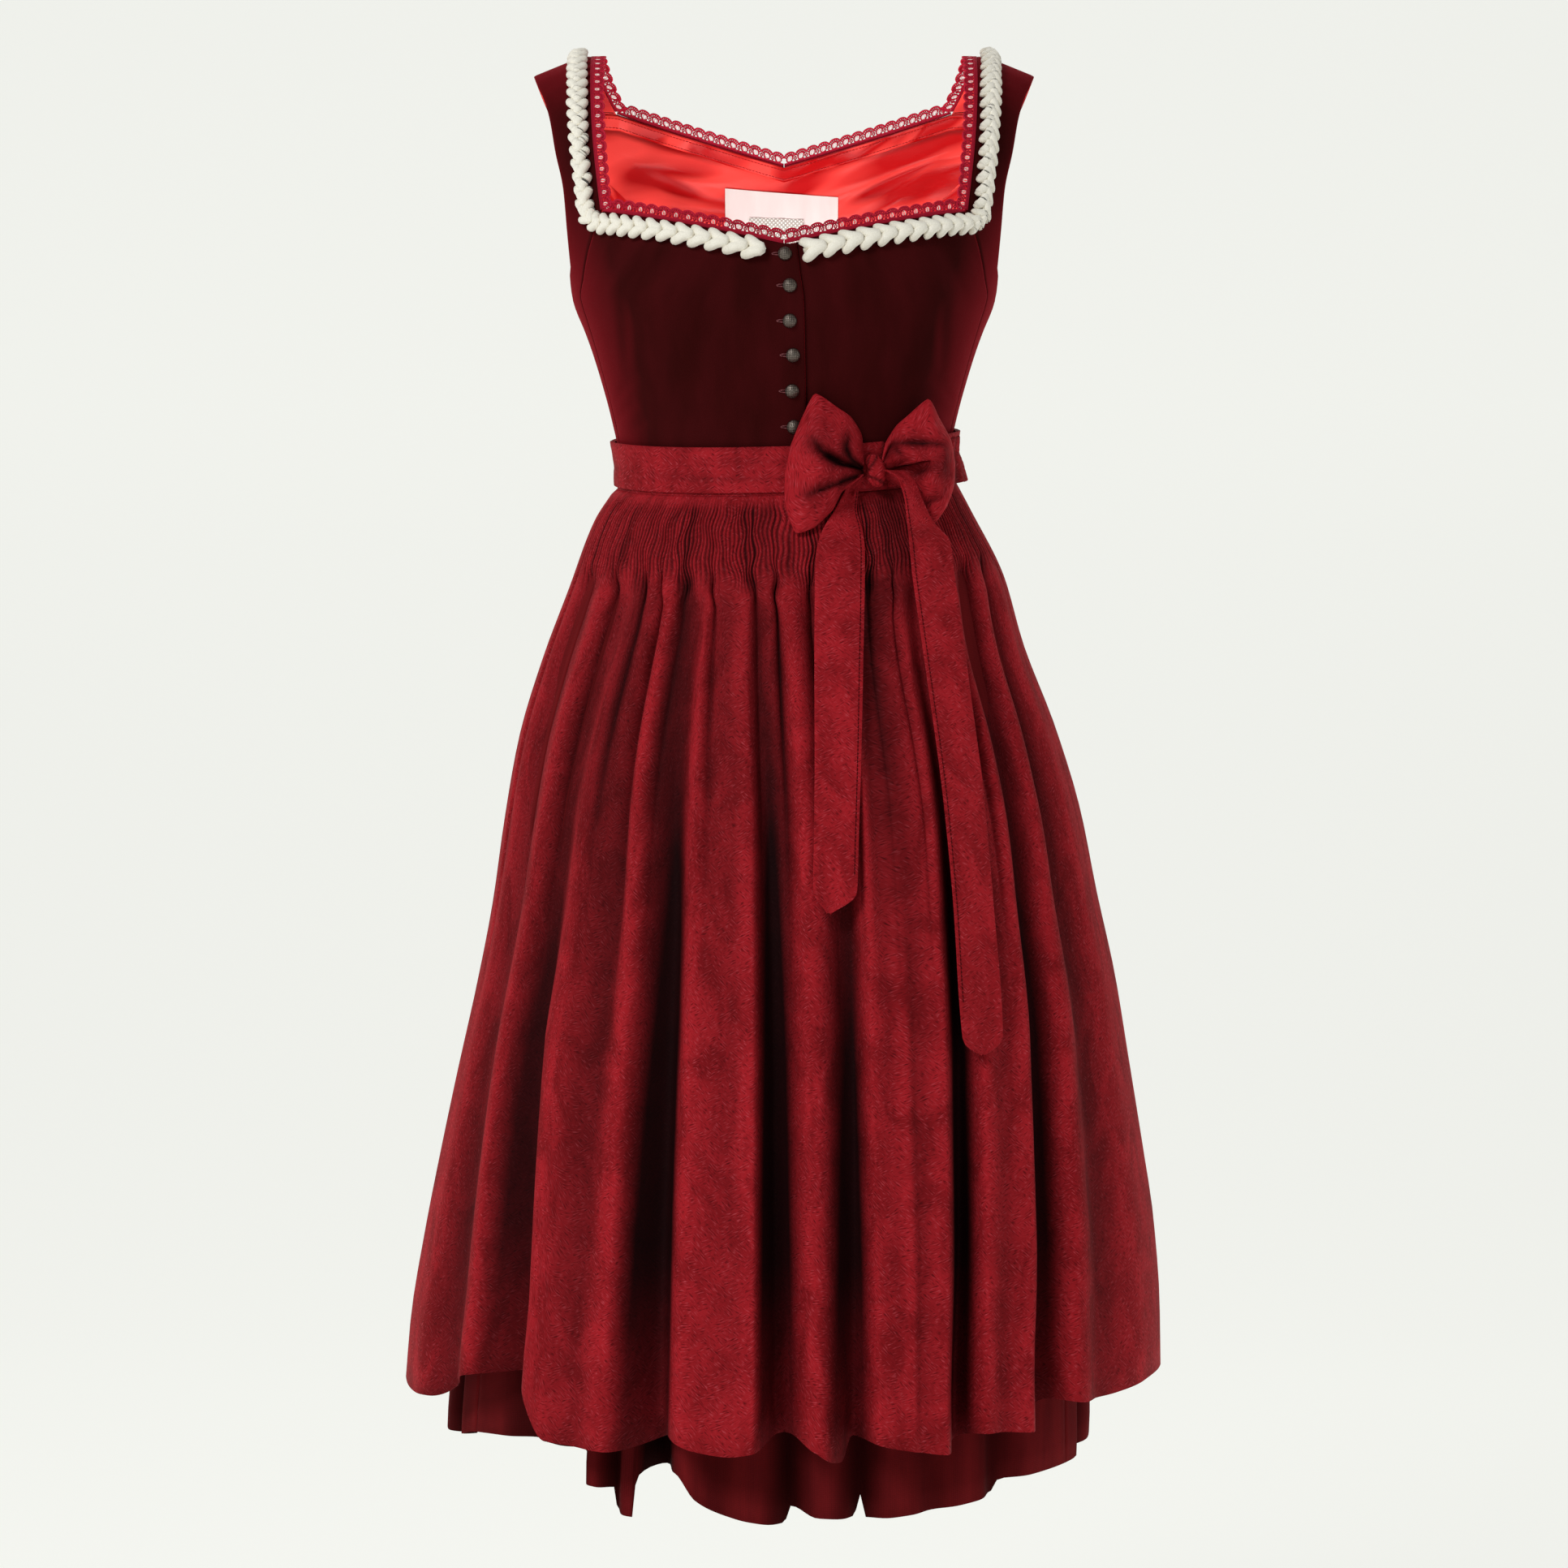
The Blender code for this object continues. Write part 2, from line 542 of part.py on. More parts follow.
def front_rows(side, shares):
    """The front panel of one side, 1 the wearer's left and -1 the right. Shares run from seam to middle."""
    shares = np.asarray(shares, float)
    underlap = UNDERLAP if side > 0 else 0.0
    rows = []
    for seam_height in (*FRONT_SEAM_ROWS, -0.300):
        seam = side * (front_seam(seam_height) - gap_angle(seam_height))
        low = bottom_of(seam)
        seam_height = seam_height if seam_height > -0.29 else low
        v = float((seam_height - FRONT_SEAM_ROWS[0]) / (low - FRONT_SEAM_ROWS[0]))
        middle_height = mix(NECK_MIDDLE, bottom_of(3.0), v)
        edge_x = smooth(PLACKET, middle_height, 1) - underlap
        edge = angle_at(edge_x, middle_height)
        top_x = mix(0.1298, side * (smooth(PLACKET, NECK_MIDDLE, 1) - underlap), shares)
        top_height = neck_height(top_x)
        top_angle = angle_at(top_x, top_height)
        top_share = (top_angle - top_angle[0]) / (top_angle[-1] - top_angle[0])
        angle = mix(seam, edge, mix(top_share, shares, v))
        rows.append((angle, mix(top_height - 0.0002, bottom_of(angle), v)))
    return rows if side < 0 else turned_rows(rows)


def turned_rows(rows):
    """The same rows, run the other way."""
    return [tuple(np.broadcast_arrays(*row)[k][::-1] for k in (0, 1)) for row in rows]


def add_under_front(rows):
    """The wearer's left front, which runs in under the right one at the placket."""
    angle, height = (np.array([row[k] for row in rows], float) for k in (0, 1))
    grid = torso(angle, height)
    normals = torso_out(angle, height)
    edge = smooth(PLACKET, height, 1)
    inward = (VELVET + 0.0011) * np.clip(1 - (grid[..., 0] - edge - 0.002) / 0.006, 0, 1)
    add_panel("front_left", grid - normals * inward[..., None], VELVET, "velvet", 0.0, normals)


def strap_inner_angle(height):
    """The inner edge of the strap and the side front seam below it."""
    x = smooth(STRAP_INNER, height, 1)
    return np.where(height > NECK_CORNER, angle_at(x, height), front_seam(height))


def strap_outer_angle(height):
    """The armhole edge at the front and the side seam below it."""
    x = smooth(STRAP_OUTER, height, 1)
    return np.where(height > -0.165, angle_at(x, height), smooth(ARMHOLE_LOW, height, 1))


def strap_rows(side, columns):
    """The strap from its back seam over the shoulder and down the side front to the waist."""
    rows = []
    u = np.linspace(0, 1, columns)
    for height in BACK_STRAP_ROWS:
        inner = 180 - angle_at(smooth(BACK_INNER, height, 1), height)
        outer = 180 - angle_at(smooth(STRAP_OUTER, height, 1), height)
        rows.append((side * mix(inner, outer, u), height))
    for height in FRONT_STRAP_ROWS:
        inner = strap_inner_angle(height) + (gap_angle(height) if height < NECK_CORNER else 0)
        outer = strap_outer_angle(height) - (gap_angle(height) if height < -0.186 else 0)
        angle = mix(inner, outer, u)
        rows.append((side * angle, height if height > -0.29 else bottom_of(side * angle)))
    return rows if side > 0 else turned_rows(rows)


def back_seam(height):
    """The angle of the curved back seam, straight between the rows that both panels share."""
    rows = np.array([ARMHOLE_TOP, *BACK_SEAM_ROWS, -0.350])[::-1]
    return np.interp(height, rows, smooth(BACK_SEAM, rows, 1))


def back_edge(height):
    """The edge of the back panel: the armhole, then the curved back seam."""
    if height >= ARMHOLE_TOP:
        return float(180 - angle_at(smooth(STRAP_OUTER, height, 1), height))
    return float(back_seam(height) + 1.6 * gap_angle(height))


def back_rows(strap_columns, neck_columns):
    """The back panel between its two curved seams, its top along the strap seams and the neck."""
    top = BACK_CORNER - 0.0004
    outer_x = float(smooth(STRAP_OUTER, BACK_CORNER, 1))
    corner_x = float(smooth(BACK_INNER, BACK_CORNER, 1))
    strap_x = np.linspace(outer_x, corner_x, strap_columns)[:-1]
    top_x = np.concatenate([strap_x, np.linspace(corner_x, 0, neck_columns)])
    top_height = mix(BACK_MIDDLE, top, np.minimum(top_x / corner_x, 1)) - 0.0002
    top_angle = 180 - angle_at(top_x, top_height)
    top_share = (top_angle - top_angle[0]) / (180 - top_angle[0])
    even = np.linspace(0, 1, len(top_x))
    rows = []
    for edge_height in (top, ARMHOLE_TOP, *BACK_SEAM_ROWS, -0.300):
        edge = back_edge(edge_height)
        halves = []
        for side in (1, -1):
            low = bottom_of(side * edge)
            v = float((max(edge_height, low) - top) / (low - top)) if edge_height > -0.29 else 1.0
            angle = mix(edge, 180.0, mix(top_share, even, min(1, 1.5 * v)))
            halves.append((angle, mix(top_height, bottom_of(side * angle), v)))
        (left_angle, left_height), (right_angle, right_height) = halves
        rows.append((
            np.concatenate([left_angle, 360 - right_angle[::-1][1:]]),
            np.concatenate([left_height, right_height[::-1][1:]]),
        ))
    return rows


def side_back_rows(side, columns):
    """The panel between the back armhole, the curved back seam and the side seam."""
    u = np.linspace(0, 1, columns)
    arm = float(180 - angle_at(smooth(STRAP_OUTER, ARMHOLE_TOP, 1), ARMHOLE_TOP))
    first = BACK_SEAM_ROWS[0]
    seam = float(back_seam(first) - gap_angle(first))
    rows = [(side * mix(arm, seam, u), mix(ARMHOLE_TOP, first, u) - 0.0005)]
    for height in (*BACK_SEAM_ROWS[1:], -0.300):
        arm = 180 - angle_at(smooth(STRAP_OUTER, height, 1), height)
        edge = float(arm if height > -0.165 else 180 - smooth(ARMHOLE_LOW, height, 1))
        outer = max(edge, SIDE_SEAM + float(gap_angle(height)))
        angle = mix(outer, back_seam(height) - gap_angle(height), u)
        rows.append((side * angle, height if height > -0.29 else bottom_of(side * angle)))
    return rows if side > 0 else turned_rows(rows)


def build_bodice():
    """Seven velvet panels and three satin linings inside the back ones."""
    add_bodice_panel("front_right", front_rows(-1, np.linspace(0, 1, 11)), VELVET, "velvet")
    add_under_front(front_rows(1, [*np.linspace(0, 0.84, 9), 0.90, 0.925, 1.0]))
    back = back_rows(3, 6)
    add_bodice_panel("back", back, VELVET, "velvet")
    add_bodice_panel("lining_back", back, LINING, "satin", -VELVET - SEAM)
    for side, word in ((-1, "right"), (1, "left")):
        add_bodice_panel("strap_" + word, strap_rows(side, 4), VELVET, "velvet")
        rows = side_back_rows(side, 4)
        add_bodice_panel("side_back_" + word, rows, VELVET, "velvet")
        add_bodice_panel("lining_side_" + word, rows, LINING, "satin", -VELVET - SEAM)


def build_skirt():
    """Four gores of plain cloth, gathered at the waist."""
    spots = (
        ("skirt_front", SKIRT_FRONT_FOLDS, FRONT_STEPS),
        ("skirt_side_left", even_folds(SKIRT_SEAMS[0], SKIRT_SEAMS[1], SIDE_FOLDS, 3), GATHER_STEPS),
        ("skirt_back", even_folds(SKIRT_SEAMS[1], SKIRT_SEAMS[2], BACK_FOLDS, 5), GATHER_STEPS),
        ("skirt_side_right", even_folds(SKIRT_SEAMS[2], SKIRT_SEAMS[3], SIDE_FOLDS, 8), GATHER_STEPS),
    )
    for name, folds, steps in spots:
        folds = folds.copy()
        folds[0, :4] += SKIRT_SEAM_ANGLE
        folds[-1, :4] -= SKIRT_SEAM_ANGLE
        outer = [folded_row(SKIRT, folds, steps, SKIRT_RISE, drop) for drop in SKIRT_ROWS]
        inner = [row - row_normals(row) * SKIRT_CLOTH for row in outer]
        add_wall(name, outer, inner, "skirt_cloth")


def even_folds(first, last, count, seed):
    """Gathered folds at even places with a seeded unevenness, none at the seams."""
    chance = np.random.default_rng(seed)
    width = (last - first) / count
    rows = [[first] * 4 + [0.0, 0.0, 0.0, 0.0]]
    for k in range(count):
        centre = first + width * (k + 0.5)
        wander = chance.uniform(-0.16, 0.16, 4) * width
        deep = chance.uniform(0.75, 1.1)
        rows.append([*(centre + wander), 1.6 * deep, 8.0 * deep, 15.0 * deep, 0.0])
    rows.append([last] * 4 + [0.0, 0.0, 0.0, 0.0])
    return np.array(rows)


def build_apron():
    """The apron: fine pleats raised in the band's outer side over a plain inside, then large folds."""
    pleat_angles = np.linspace(-PLEAT_EDGE, PLEAT_EDGE, 2 * PLEATS + 1)
    angles = np.concatenate([[-APRON_EDGE], pleat_angles, [APRON_EDGE]])
    raised = np.concatenate([[1.0], np.arange(2 * PLEATS + 1) % 2, [1.0]])
    outer = []
    for drop in BAND_ROWS:
        base, out = ring(APRON, angles, drop)
        outer.append(base - out * ((1 - raised) * PLEAT_DEPTH)[:, None])
    folded = [folded_row(APRON, APRON_FOLDS, FOLD_STEPS, APRON_RISE, drop) for drop in APRON_ROWS]
    plain = []
    for drop in (BAND_ROWS[0], BAND_ROWS[-1]):
        base, out = ring(APRON, np.linspace(-APRON_EDGE, APRON_EDGE, PLAIN_COLUMNS), drop)
        plain.append(base - out * (PLEAT_DEPTH + APRON_CLOTH))
    inner = [row - row_normals(row) * APRON_CLOTH for row in folded]
    add_wall("apron", outer + folded, plain + inner, "jacquard")


def band_rows(angles, top, bottom, offset):
    """Outer and inner rows of a ribbon that lies round the waist."""
    rows = []
    for edge in (top, bottom):
        height = waist_height(angles) + edge
        section = np.minimum(height, -0.29)
        base = torso(angles, section)
        out = row_normals(base)
        base = np.stack([base[:, 0], base[:, 1], height], axis=-1)
        swell = np.maximum(smooth(TORSO, height, 1) - smooth(TORSO, -0.31, 1), 0)
        rows.append((base, out, offset + swell))
    outer = [base + out * (more + RIBBON)[:, None] for base, out, more in rows]
    inner = [base + out * more[:, None] for base, out, more in rows]
    return outer, inner


def steps_between(first, last):
    """Angles from first to last on the shared grid of the bands."""
    inside = np.arange(math.ceil(first / BAND_STEP + 0.02), math.floor(last / BAND_STEP - 0.02) + 1)
    return np.concatenate([[first], inside * BAND_STEP, [last]])


def build_bands():
    """The waistband and the two ties, which cross behind and come back to the knot."""
    angles = steps_between(-APRON_EDGE, APRON_EDGE)
    flat = np.full(len(angles), LAYER_ONE)
    outer, inner = band_rows(angles, WAISTBAND_TOP, WAISTBAND_BOTTOM, flat)
    add_wall("apron_waistband", outer, inner, "jacquard")
    # The wearer's left tie starts at the left end, goes round the back and comes forward on the right
    angles = steps_between(APRON_EDGE + 0.2, 360 + KNOT_ANGLE - 1.0)
    offset = mix(LAYER_ONE, LAYER_TWO, ramp(angles, 162, 198))
    outer, inner = band_rows(angles, TIE_TOP, mix(TIE_BOTTOM, 0.0012, pinch_of(angles)), offset)
    add_wall("tie_from_left", outer, inner, "jacquard")
    angles = steps_between(KNOT_ANGLE + 1.0, 360 - APRON_EDGE - 0.2)
    offset = mix(LAYER_TWO, LAYER_ONE, ramp(angles, 162, 198))
    outer, inner = band_rows(angles, mix(TIE_TOP, -0.0008, pinch_of(angles)), TIE_BOTTOM, offset)
    add_wall("tie_from_right", outer, inner, "jacquard")


def pinch_of(angles):
    return ramp(angles, 138, 160) * (1 - ramp(angles, 200, 222))


def body_front(x, z):
    """How far the tied waist and the apron stand out towards the front at this place."""
    x, z = np.broadcast_arrays(np.asarray(x, float), np.asarray(z, float))
    share = np.clip(np.abs(x) / 0.126, 0, 0.98)
    drop = waist_height(np.sign(x) * np.degrees(np.arcsin(share ** 1.1))) - z
    tied = 0.0046 * (1 - ramp(drop, 0.018, 0.024))
    half = np.where(x < 0, smooth(APRON, drop, 1), smooth(APRON, drop, 2))
    front = np.where(drop > 0.0188, smooth(APRON, drop, 3), 0.0985)
    half = np.where(drop > 0.0188, half, 0.1218)
    power = ring_power(drop)
    return tied + front * np.clip(1 - (np.abs(x) / half) ** power, 0.02, 1) ** (1 / power)


def loop_grid(table):
    """A bow loop: rows from its outer edge on the body to its raised inner edge."""
    mm = table / 1000
    least = 0.088
    body = np.maximum(body_front(mm[:, 0], mm[:, 1]), least)
    inner_body = np.maximum(body_front(mm[:, 2], mm[:, 3]), least)
    rows = []
    for v in (0.0, 0.35, 0.7, 1.0):
        swell = math.sin(math.pi * v) * 0.006 * np.sin(np.linspace(0, math.pi, len(mm)))
        x = mix(mm[:, 0], mm[:, 2], v)
        z = mix(mm[:, 1], mm[:, 3], v)
        stand = mix(body + mm[:, 4], inner_body + mm[:, 5], v ** 0.8) + swell
        rows.append(stack(x, -stand, z))
    return np.array(rows)


def build_bow():
    """Two loops, the knot and two tails, each a sheet of ribbon."""
    add_panel("bow_loop_right", loop_grid(LOOP_RIGHT), RIBBON, "jacquard")
    add_panel("bow_loop_left", loop_grid(LOOP_LEFT)[:, ::-1], RIBBON, "jacquard")
    add_knot()
    add_tail("tail_short", TAIL_SHORT)
    add_tail("tail_long", TAIL_LONG)


def add_knot():
    """The knot: a rounded roll of ribbon."""
    around = np.linspace(0, 2 * math.pi, 13)[:-1]
    stand = float(body_front(KNOT[0], KNOT[1]))
    rows = []
    for v, wide, deep in KNOT_RINGS:
        x = KNOT[0] + 0.0062 * wide * np.cos(around) - 0.0010 * v
        y = -stand - 0.0078 - 0.0070 * deep * np.sin(around)
        z = KNOT[1] + 0.0118 * v + 0 * around
        rows.append(stack(x, y, z))
    points = np.concatenate(rows)
    faces = []
    n = len(around)
    for k in range(len(rows) - 1):
        for i in range(n):
            a = k * n + i
            b = k * n + (i + 1) % n
            faces += [(a, b, b + n), (a, b + n, a + n)]
    last = (len(rows) - 1) * n
    for i in range(1, n - 1):
        faces += [(0, i + 1, i), (last, last + i, last + i + 1)]
    add_object("bow_knot", points, faces, "jacquard")


def add_tail(name, table):
    """A hanging tie end, in front of the apron's folds."""
    rows = []
    for z, left, right, stand in table / 1000:
        x = np.linspace(left, right, 3)
        rows.append(stack(x, -body_front(x, z) - stand, z))
    add_panel(name, np.array(rows), RIBBON, "jacquard")


def build_buttons():
    """Six domed buttons on the wearer's right front."""
    around = np.linspace(0, 2 * math.pi, 9)[:-1]
    for k, (height, x) in enumerate(BUTTONS):
        angle = angle_at(x, height)
        here = torso(angle, height)
        across = torso(angle + 1, height) - torso(angle - 1, height)
        down = torso(angle, height - 0.002) - torso(angle, height + 0.002)
        out = np.cross(down, across)
        out /= np.linalg.norm(out)
        across /= np.linalg.norm(across)
        up = np.cross(out, across)
        rows = []
        for radius, rise in ((0.80, 0.10), (1.0, 0.30), (0.74, 0.80)):
            circle = across * np.cos(around)[:, None] + up * np.sin(around)[:, None]
            rows.append(here + circle * BUTTON_RADIUS * radius + out * (0.0004 + BUTTON_HEIGHT * rise))
        points = np.concatenate([*rows, [here + out * (0.0004 + BUTTON_HEIGHT)]])
        n = len(around)
        faces = []
        for row in range(2):
            for i in range(n):
                a = row * n + i
                b = row * n + (i + 1) % n
                faces += [(a, b, b + n), (a, b + n, a + n)]
        for i in range(n):
            faces.append((2 * n + i, 2 * n + (i + 1) % n, 3 * n))
        for i in range(1, n - 1):
            faces.append((0, i + 1, i))
        add_object(f"button_{k + 1}", points, faces, "old_silver")


def path_frame(edge, beyond):
    """Along, rise and normal directions of a path from a second path beyond its edge."""
    along = np.gradient(edge, axis=0)
    along /= np.linalg.norm(along, axis=-1, keepdims=True)
    rise = beyond - edge
    rise /= np.linalg.norm(rise, axis=-1, keepdims=True)
    normal = np.cross(along, rise)
    return along, rise, normal


def neck_paths():
    """The neck's edges as fine paths on the velvet, each with a second path a little way off the cloth."""
    step = 0.003
    t = np.linspace(0, 1, 60)
    paths = {}
    front_x = mix(0.130, 0.0, t)
    front_height = neck_height(front_x)
    front = torso(angle_at(front_x, front_height), front_height)
    above = torso(angle_at(front_x, front_height + step), front_height + step)
    paths["front"] = (front, above)
    down = np.linspace(0, NECK_CORNER, 70)
    x = smooth(STRAP_INNER, down, 1)
    strap = torso(angle_at(x, down), down)
    inside = torso(angle_at(x - step, down), down)
    up = np.linspace(BACK_CORNER, -0.0006, 30)
    x = smooth(BACK_INNER, up, 1)
    strap_back = torso(180 - angle_at(x, up), up)
    inside_back = torso(180 - angle_at(x - step, up), up)
    paths["strap"] = (np.concatenate([strap_back, strap]), np.concatenate([inside_back, inside]))
    back_height = mix(BACK_CORNER, BACK_MIDDLE, t)
    back_x = mix(float(smooth(BACK_INNER, BACK_CORNER, 1)), 0.0, t)
    back = torso(180 - angle_at(back_x, back_height), back_height)
    paths["back"] = (back, torso(180 - angle_at(back_x, back_height + step), back_height + step))
    return paths


def even_path(edge, beyond, start, end, count):
    """Points with even steps on a path between two distances, with the matching points beyond it."""
    lengths = np.concatenate([[0.0], np.cumsum(np.linalg.norm(np.diff(edge, axis=0), axis=1))])
    at = np.linspace(start, lengths[-1] + end, count)
    here = np.stack([np.interp(at, lengths, edge[:, k]) for k in range(3)], axis=-1)
    there = np.stack([np.interp(at, lengths, beyond[:, k]) for k in range(3)], axis=-1)
    return here, there


def lace_count(edge, start, end):
    length = np.linalg.norm(np.diff(edge, axis=0), axis=1).sum()
    return round((length + end - start) / LACE_PITCH)


def add_lace(name, edge, beyond, start, end):
    """A scalloped lace edging with one cut hole in each scallop."""
    cells = lace_count(edge, start, end)
    here, there = even_path(edge, beyond, start, end, 2 * cells + 1)
    along, rise, normal = path_frame(here, there)
    pitch = np.linalg.norm(here[2] - here[0])

    def spot(cell, across, up):
        k = 2 * cell + 1 + int(round(2 * across))
        side = (across - round(2 * across) / 2) * pitch
        return here[k] + along[k] * side + rise[k] * (LACE_GAP + up), normal[k]

    spots = []
    for cell in range(cells + 1):
        k = 2 * cell
        for up in (0.0, 0.0066):
            spots.append((here[k] + rise[k] * (LACE_GAP + up), normal[k]))
    shared = len(spots)
    inner = ((-0.235, 0.0021), (0.235, 0.0021), (0.235, 0.0063), (-0.235, 0.0063), (0.0, LACE_HEIGHT))
    for cell in range(cells):
        for across, up in inner:
            spots.append(spot(cell, across, up))
    front = np.array([p + n * LACE_THICK / 2 for p, n in spots])
    back = np.array([p - n * LACE_THICK / 2 for p, n in spots])
    total = len(spots)
    faces = []
    walls = [(0, 1), (2 * cells + 1, 2 * cells)]
    for cell in range(cells):
        foot_a, side_a, foot_b, side_b = (2 * cell + k for k in range(4))
        low_a, low_b, high_b, high_a, tip = (shared + 5 * cell + k for k in range(5))
        faces += [
            (foot_a, foot_b, low_b), (foot_a, low_b, low_a), (foot_b, side_b, low_b),
            (side_b, high_b, low_b), (side_b, tip, high_b), (tip, high_a, high_b),
            (tip, side_a, high_a), (side_a, low_a, high_a), (side_a, foot_a, low_a),
        ]
        walls += [(foot_b, foot_a), (side_a, tip), (tip, side_b)]
        walls += [(low_a, low_b), (low_b, high_b), (high_b, high_a), (high_a, low_a)]
    solid = list(faces)
    solid += [(c + total, b + total, a + total) for a, b, c in faces]
    for a, b in walls:
        solid += [(a, b, b + total), (a, b + total, a + total)]
    add_object(name, np.concatenate([front, back]), solid, "lace_thread")


def build_lace():
    """Lace round the neck, in six lengths."""
    paths = neck_paths()
    spans = (
        ("front", "lace_front", 0.0108, -0.0008),
        ("strap", "lace_strap", 0.0010, -0.0004),
        ("back", "lace_back", 0.0100, -0.0006),
    )
    for key, name, start, end in spans:
        edge, beyond = paths[key]
        for side, word in ((-1, "right"), (1, "left")):
            turned = np.array([float(side), 1.0, 1.0])
            add_lace(f"{name}_{word}", edge * turned, beyond * turned, start, end)


def braid_path(side):
    """The braid's middle line and its outward direction, from the shoulder down and along the neck."""
    down = np.linspace(-0.0006, NECK_CORNER - 0.0015, 60)
    x = smooth(STRAP_INNER, down, 1) + BRAID_INSET
    strap = (angle_at(x, down), down)
    t = np.linspace(0.0, 1, 60)
    middle = BRAID_END_RIGHT if side < 0 else BRAID_END_LEFT
    low_x = mix(smooth(STRAP_INNER, NECK_CORNER, 1) + 0.002, middle, t)
    low = neck_height(low_x) - BRAID_INSET
    along = (angle_at(low_x, low), low)
    angle = np.concatenate([strap[0], along[0]])
    height = np.concatenate([strap[1], along[1]])
    path = torso(angle, height)
    out = np.cross(torso(angle, height - 0.002) - torso(angle, height + 0.002),
                   torso(angle + 0.5, height) - torso(angle - 0.5, height))
    out /= np.linalg.norm(out, axis=-1, keepdims=True)
    turned = np.array([float(side), 1.0, 1.0])
    return path * turned, out * turned


def add_braid(name, side):
    """A chain braid: each link swells, and its sides lag behind its middle."""
    path, out = braid_path(side)
    lengths = np.concatenate([[0.0], np.cumsum(np.linalg.norm(np.diff(path, axis=0), axis=1))])
    links = round(lengths[-1] / BRAID_PITCH)
    stations = 3 * links + 1
    at = np.linspace(0, lengths[-1], stations)
    middle = np.stack([np.interp(at, lengths, path[:, k]) for k in range(3)], axis=-1)
    normal = np.stack([np.interp(at, lengths, out[:, k]) for k in range(3)], axis=-1)
    normal /= np.linalg.norm(normal, axis=-1, keepdims=True)
    along = np.gradient(middle, axis=0)
    # Turn the corner over a few stations so that the sides do not cross
    for _ in range(3):
        along[1:-1] = (along[:-2] + 2 * along[1:-1] + along[2:]) / 4
    along -= normal * np.sum(along * normal, axis=-1, keepdims=True)
    along /= np.linalg.norm(along, axis=-1, keepdims=True)
    across = np.cross(normal, along)
    wide = np.tile([0.70, 1.0, 0.92], links + 1)[:stations] * BRAID_HALF
    tall = np.tile([0.62, 1.0, 0.84], links + 1)[:stations] * BRAID_HEIGHT
    section = ((-1.0, 0.0), (-0.62, 1.0), (0.0, 0.74), (0.62, 1.0), (1.0, 0.0))
    rows = []
    for k in range(stations):
        base = middle[k] + normal[k] * 0.0006
        rows.append([base + across[k] * wide[k] * s + normal[k] * tall[k] * h for s, h in section])
    points = np.array(rows).reshape(-1, 3)
    n = len(section)
    faces = []
    for k in range(stations - 1):
        for i in range(n):
            a = k * n + i
            b = k * n + (i + 1) % n
            faces += [(a, b, b + n), (a, b + n, a + n)]
    last = (stations - 1) * n
    for a, b, c in ((0, 1, 2), (0, 2, 4), (2, 3, 4)):
        faces += [(a, c, b), (last + a, last + b, last + c)]
    add_object(name, points, faces, "braid_velour")


def build_label():
    """A bare label and a small bare net patch on the back lining."""
    inward = VELVET + SEAM + LINING + 5 * SEAM
    u = np.linspace(0, 1, 6)
    for name, left, right, top, tilt, deep, thick, extra, finish in (
        ("label", -0.0454, 0.0417, -0.0830, -0.0065, 0.0450, 0.0005, 0.0, "label_satin"),
        ("label_patch", -0.0268, 0.0149, -0.1045, -0.0015, 0.0290, 0.0005, 0.0011, "label_net"),
    ):
        rows = []
        for v in (0.0, 0.5, 1.0):
            x = mix(left, right, u)
            height = top + tilt * u - deep * v
            rows.append(torso(180 - angle_at(x, height), height))
        grid = np.array(rows)[:, ::-1]
        add_panel(name, grid, thick, finish, -inward - extra)


def main():
    for obj in list(bpy.data.objects):
        bpy.data.objects.remove(obj)
    build_bodice()
    build_skirt()
    build_apron()
    build_bands()
    build_bow()
    build_buttons()
    build_lace()
    add_braid("braid_right", -1)
    add_braid("braid_left", 1)
    build_label()


main()
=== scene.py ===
"""The looks of a dirndl: velvet bodice, gathered skirt, smocked apron with a bow, lace and braid.

Metres, Z up, the front faces -Y, the origin is the middle of the shoulder line. An angle is
measured round the body in degrees, from the front, positive towards the wearer's left. A drop
is a distance below the waistline.
"""

from __future__ import annotations

import logging
import math
from dataclasses import dataclass, field
from enum import Enum
from typing import Any, Iterable, Sequence

import bpy
import numpy as np
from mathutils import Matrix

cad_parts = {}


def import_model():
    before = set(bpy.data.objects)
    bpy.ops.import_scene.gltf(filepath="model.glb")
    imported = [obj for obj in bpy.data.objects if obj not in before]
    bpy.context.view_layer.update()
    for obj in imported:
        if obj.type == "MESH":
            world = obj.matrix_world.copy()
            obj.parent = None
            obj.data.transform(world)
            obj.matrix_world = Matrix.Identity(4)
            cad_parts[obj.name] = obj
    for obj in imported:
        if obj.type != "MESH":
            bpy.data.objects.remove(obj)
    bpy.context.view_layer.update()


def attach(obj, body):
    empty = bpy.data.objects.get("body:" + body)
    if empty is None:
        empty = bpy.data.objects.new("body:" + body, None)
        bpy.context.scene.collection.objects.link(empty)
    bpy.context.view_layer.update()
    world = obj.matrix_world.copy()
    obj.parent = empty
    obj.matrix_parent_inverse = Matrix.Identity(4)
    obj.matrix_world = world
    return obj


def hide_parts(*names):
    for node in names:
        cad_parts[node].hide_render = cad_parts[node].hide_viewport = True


Array = np.ndarray
Tree = bpy.types.NodeTree
Node = bpy.types.Node
Socket = bpy.types.NodeSocket
Thing = bpy.types.Object
Pair = tuple[float, float]
LOG = logging.getLogger("dirndl")
BODY = "root"
MM = 0.001
# How deep a crease is at its ends, as a share of its middle
CREASE_END = 0.45
# Points of the braid's path on the strap, and again along the front
BRAID_STEPS = 60
# The drop from which a pulled-up hem lifts the cloth
RISE_FROM = 0.30
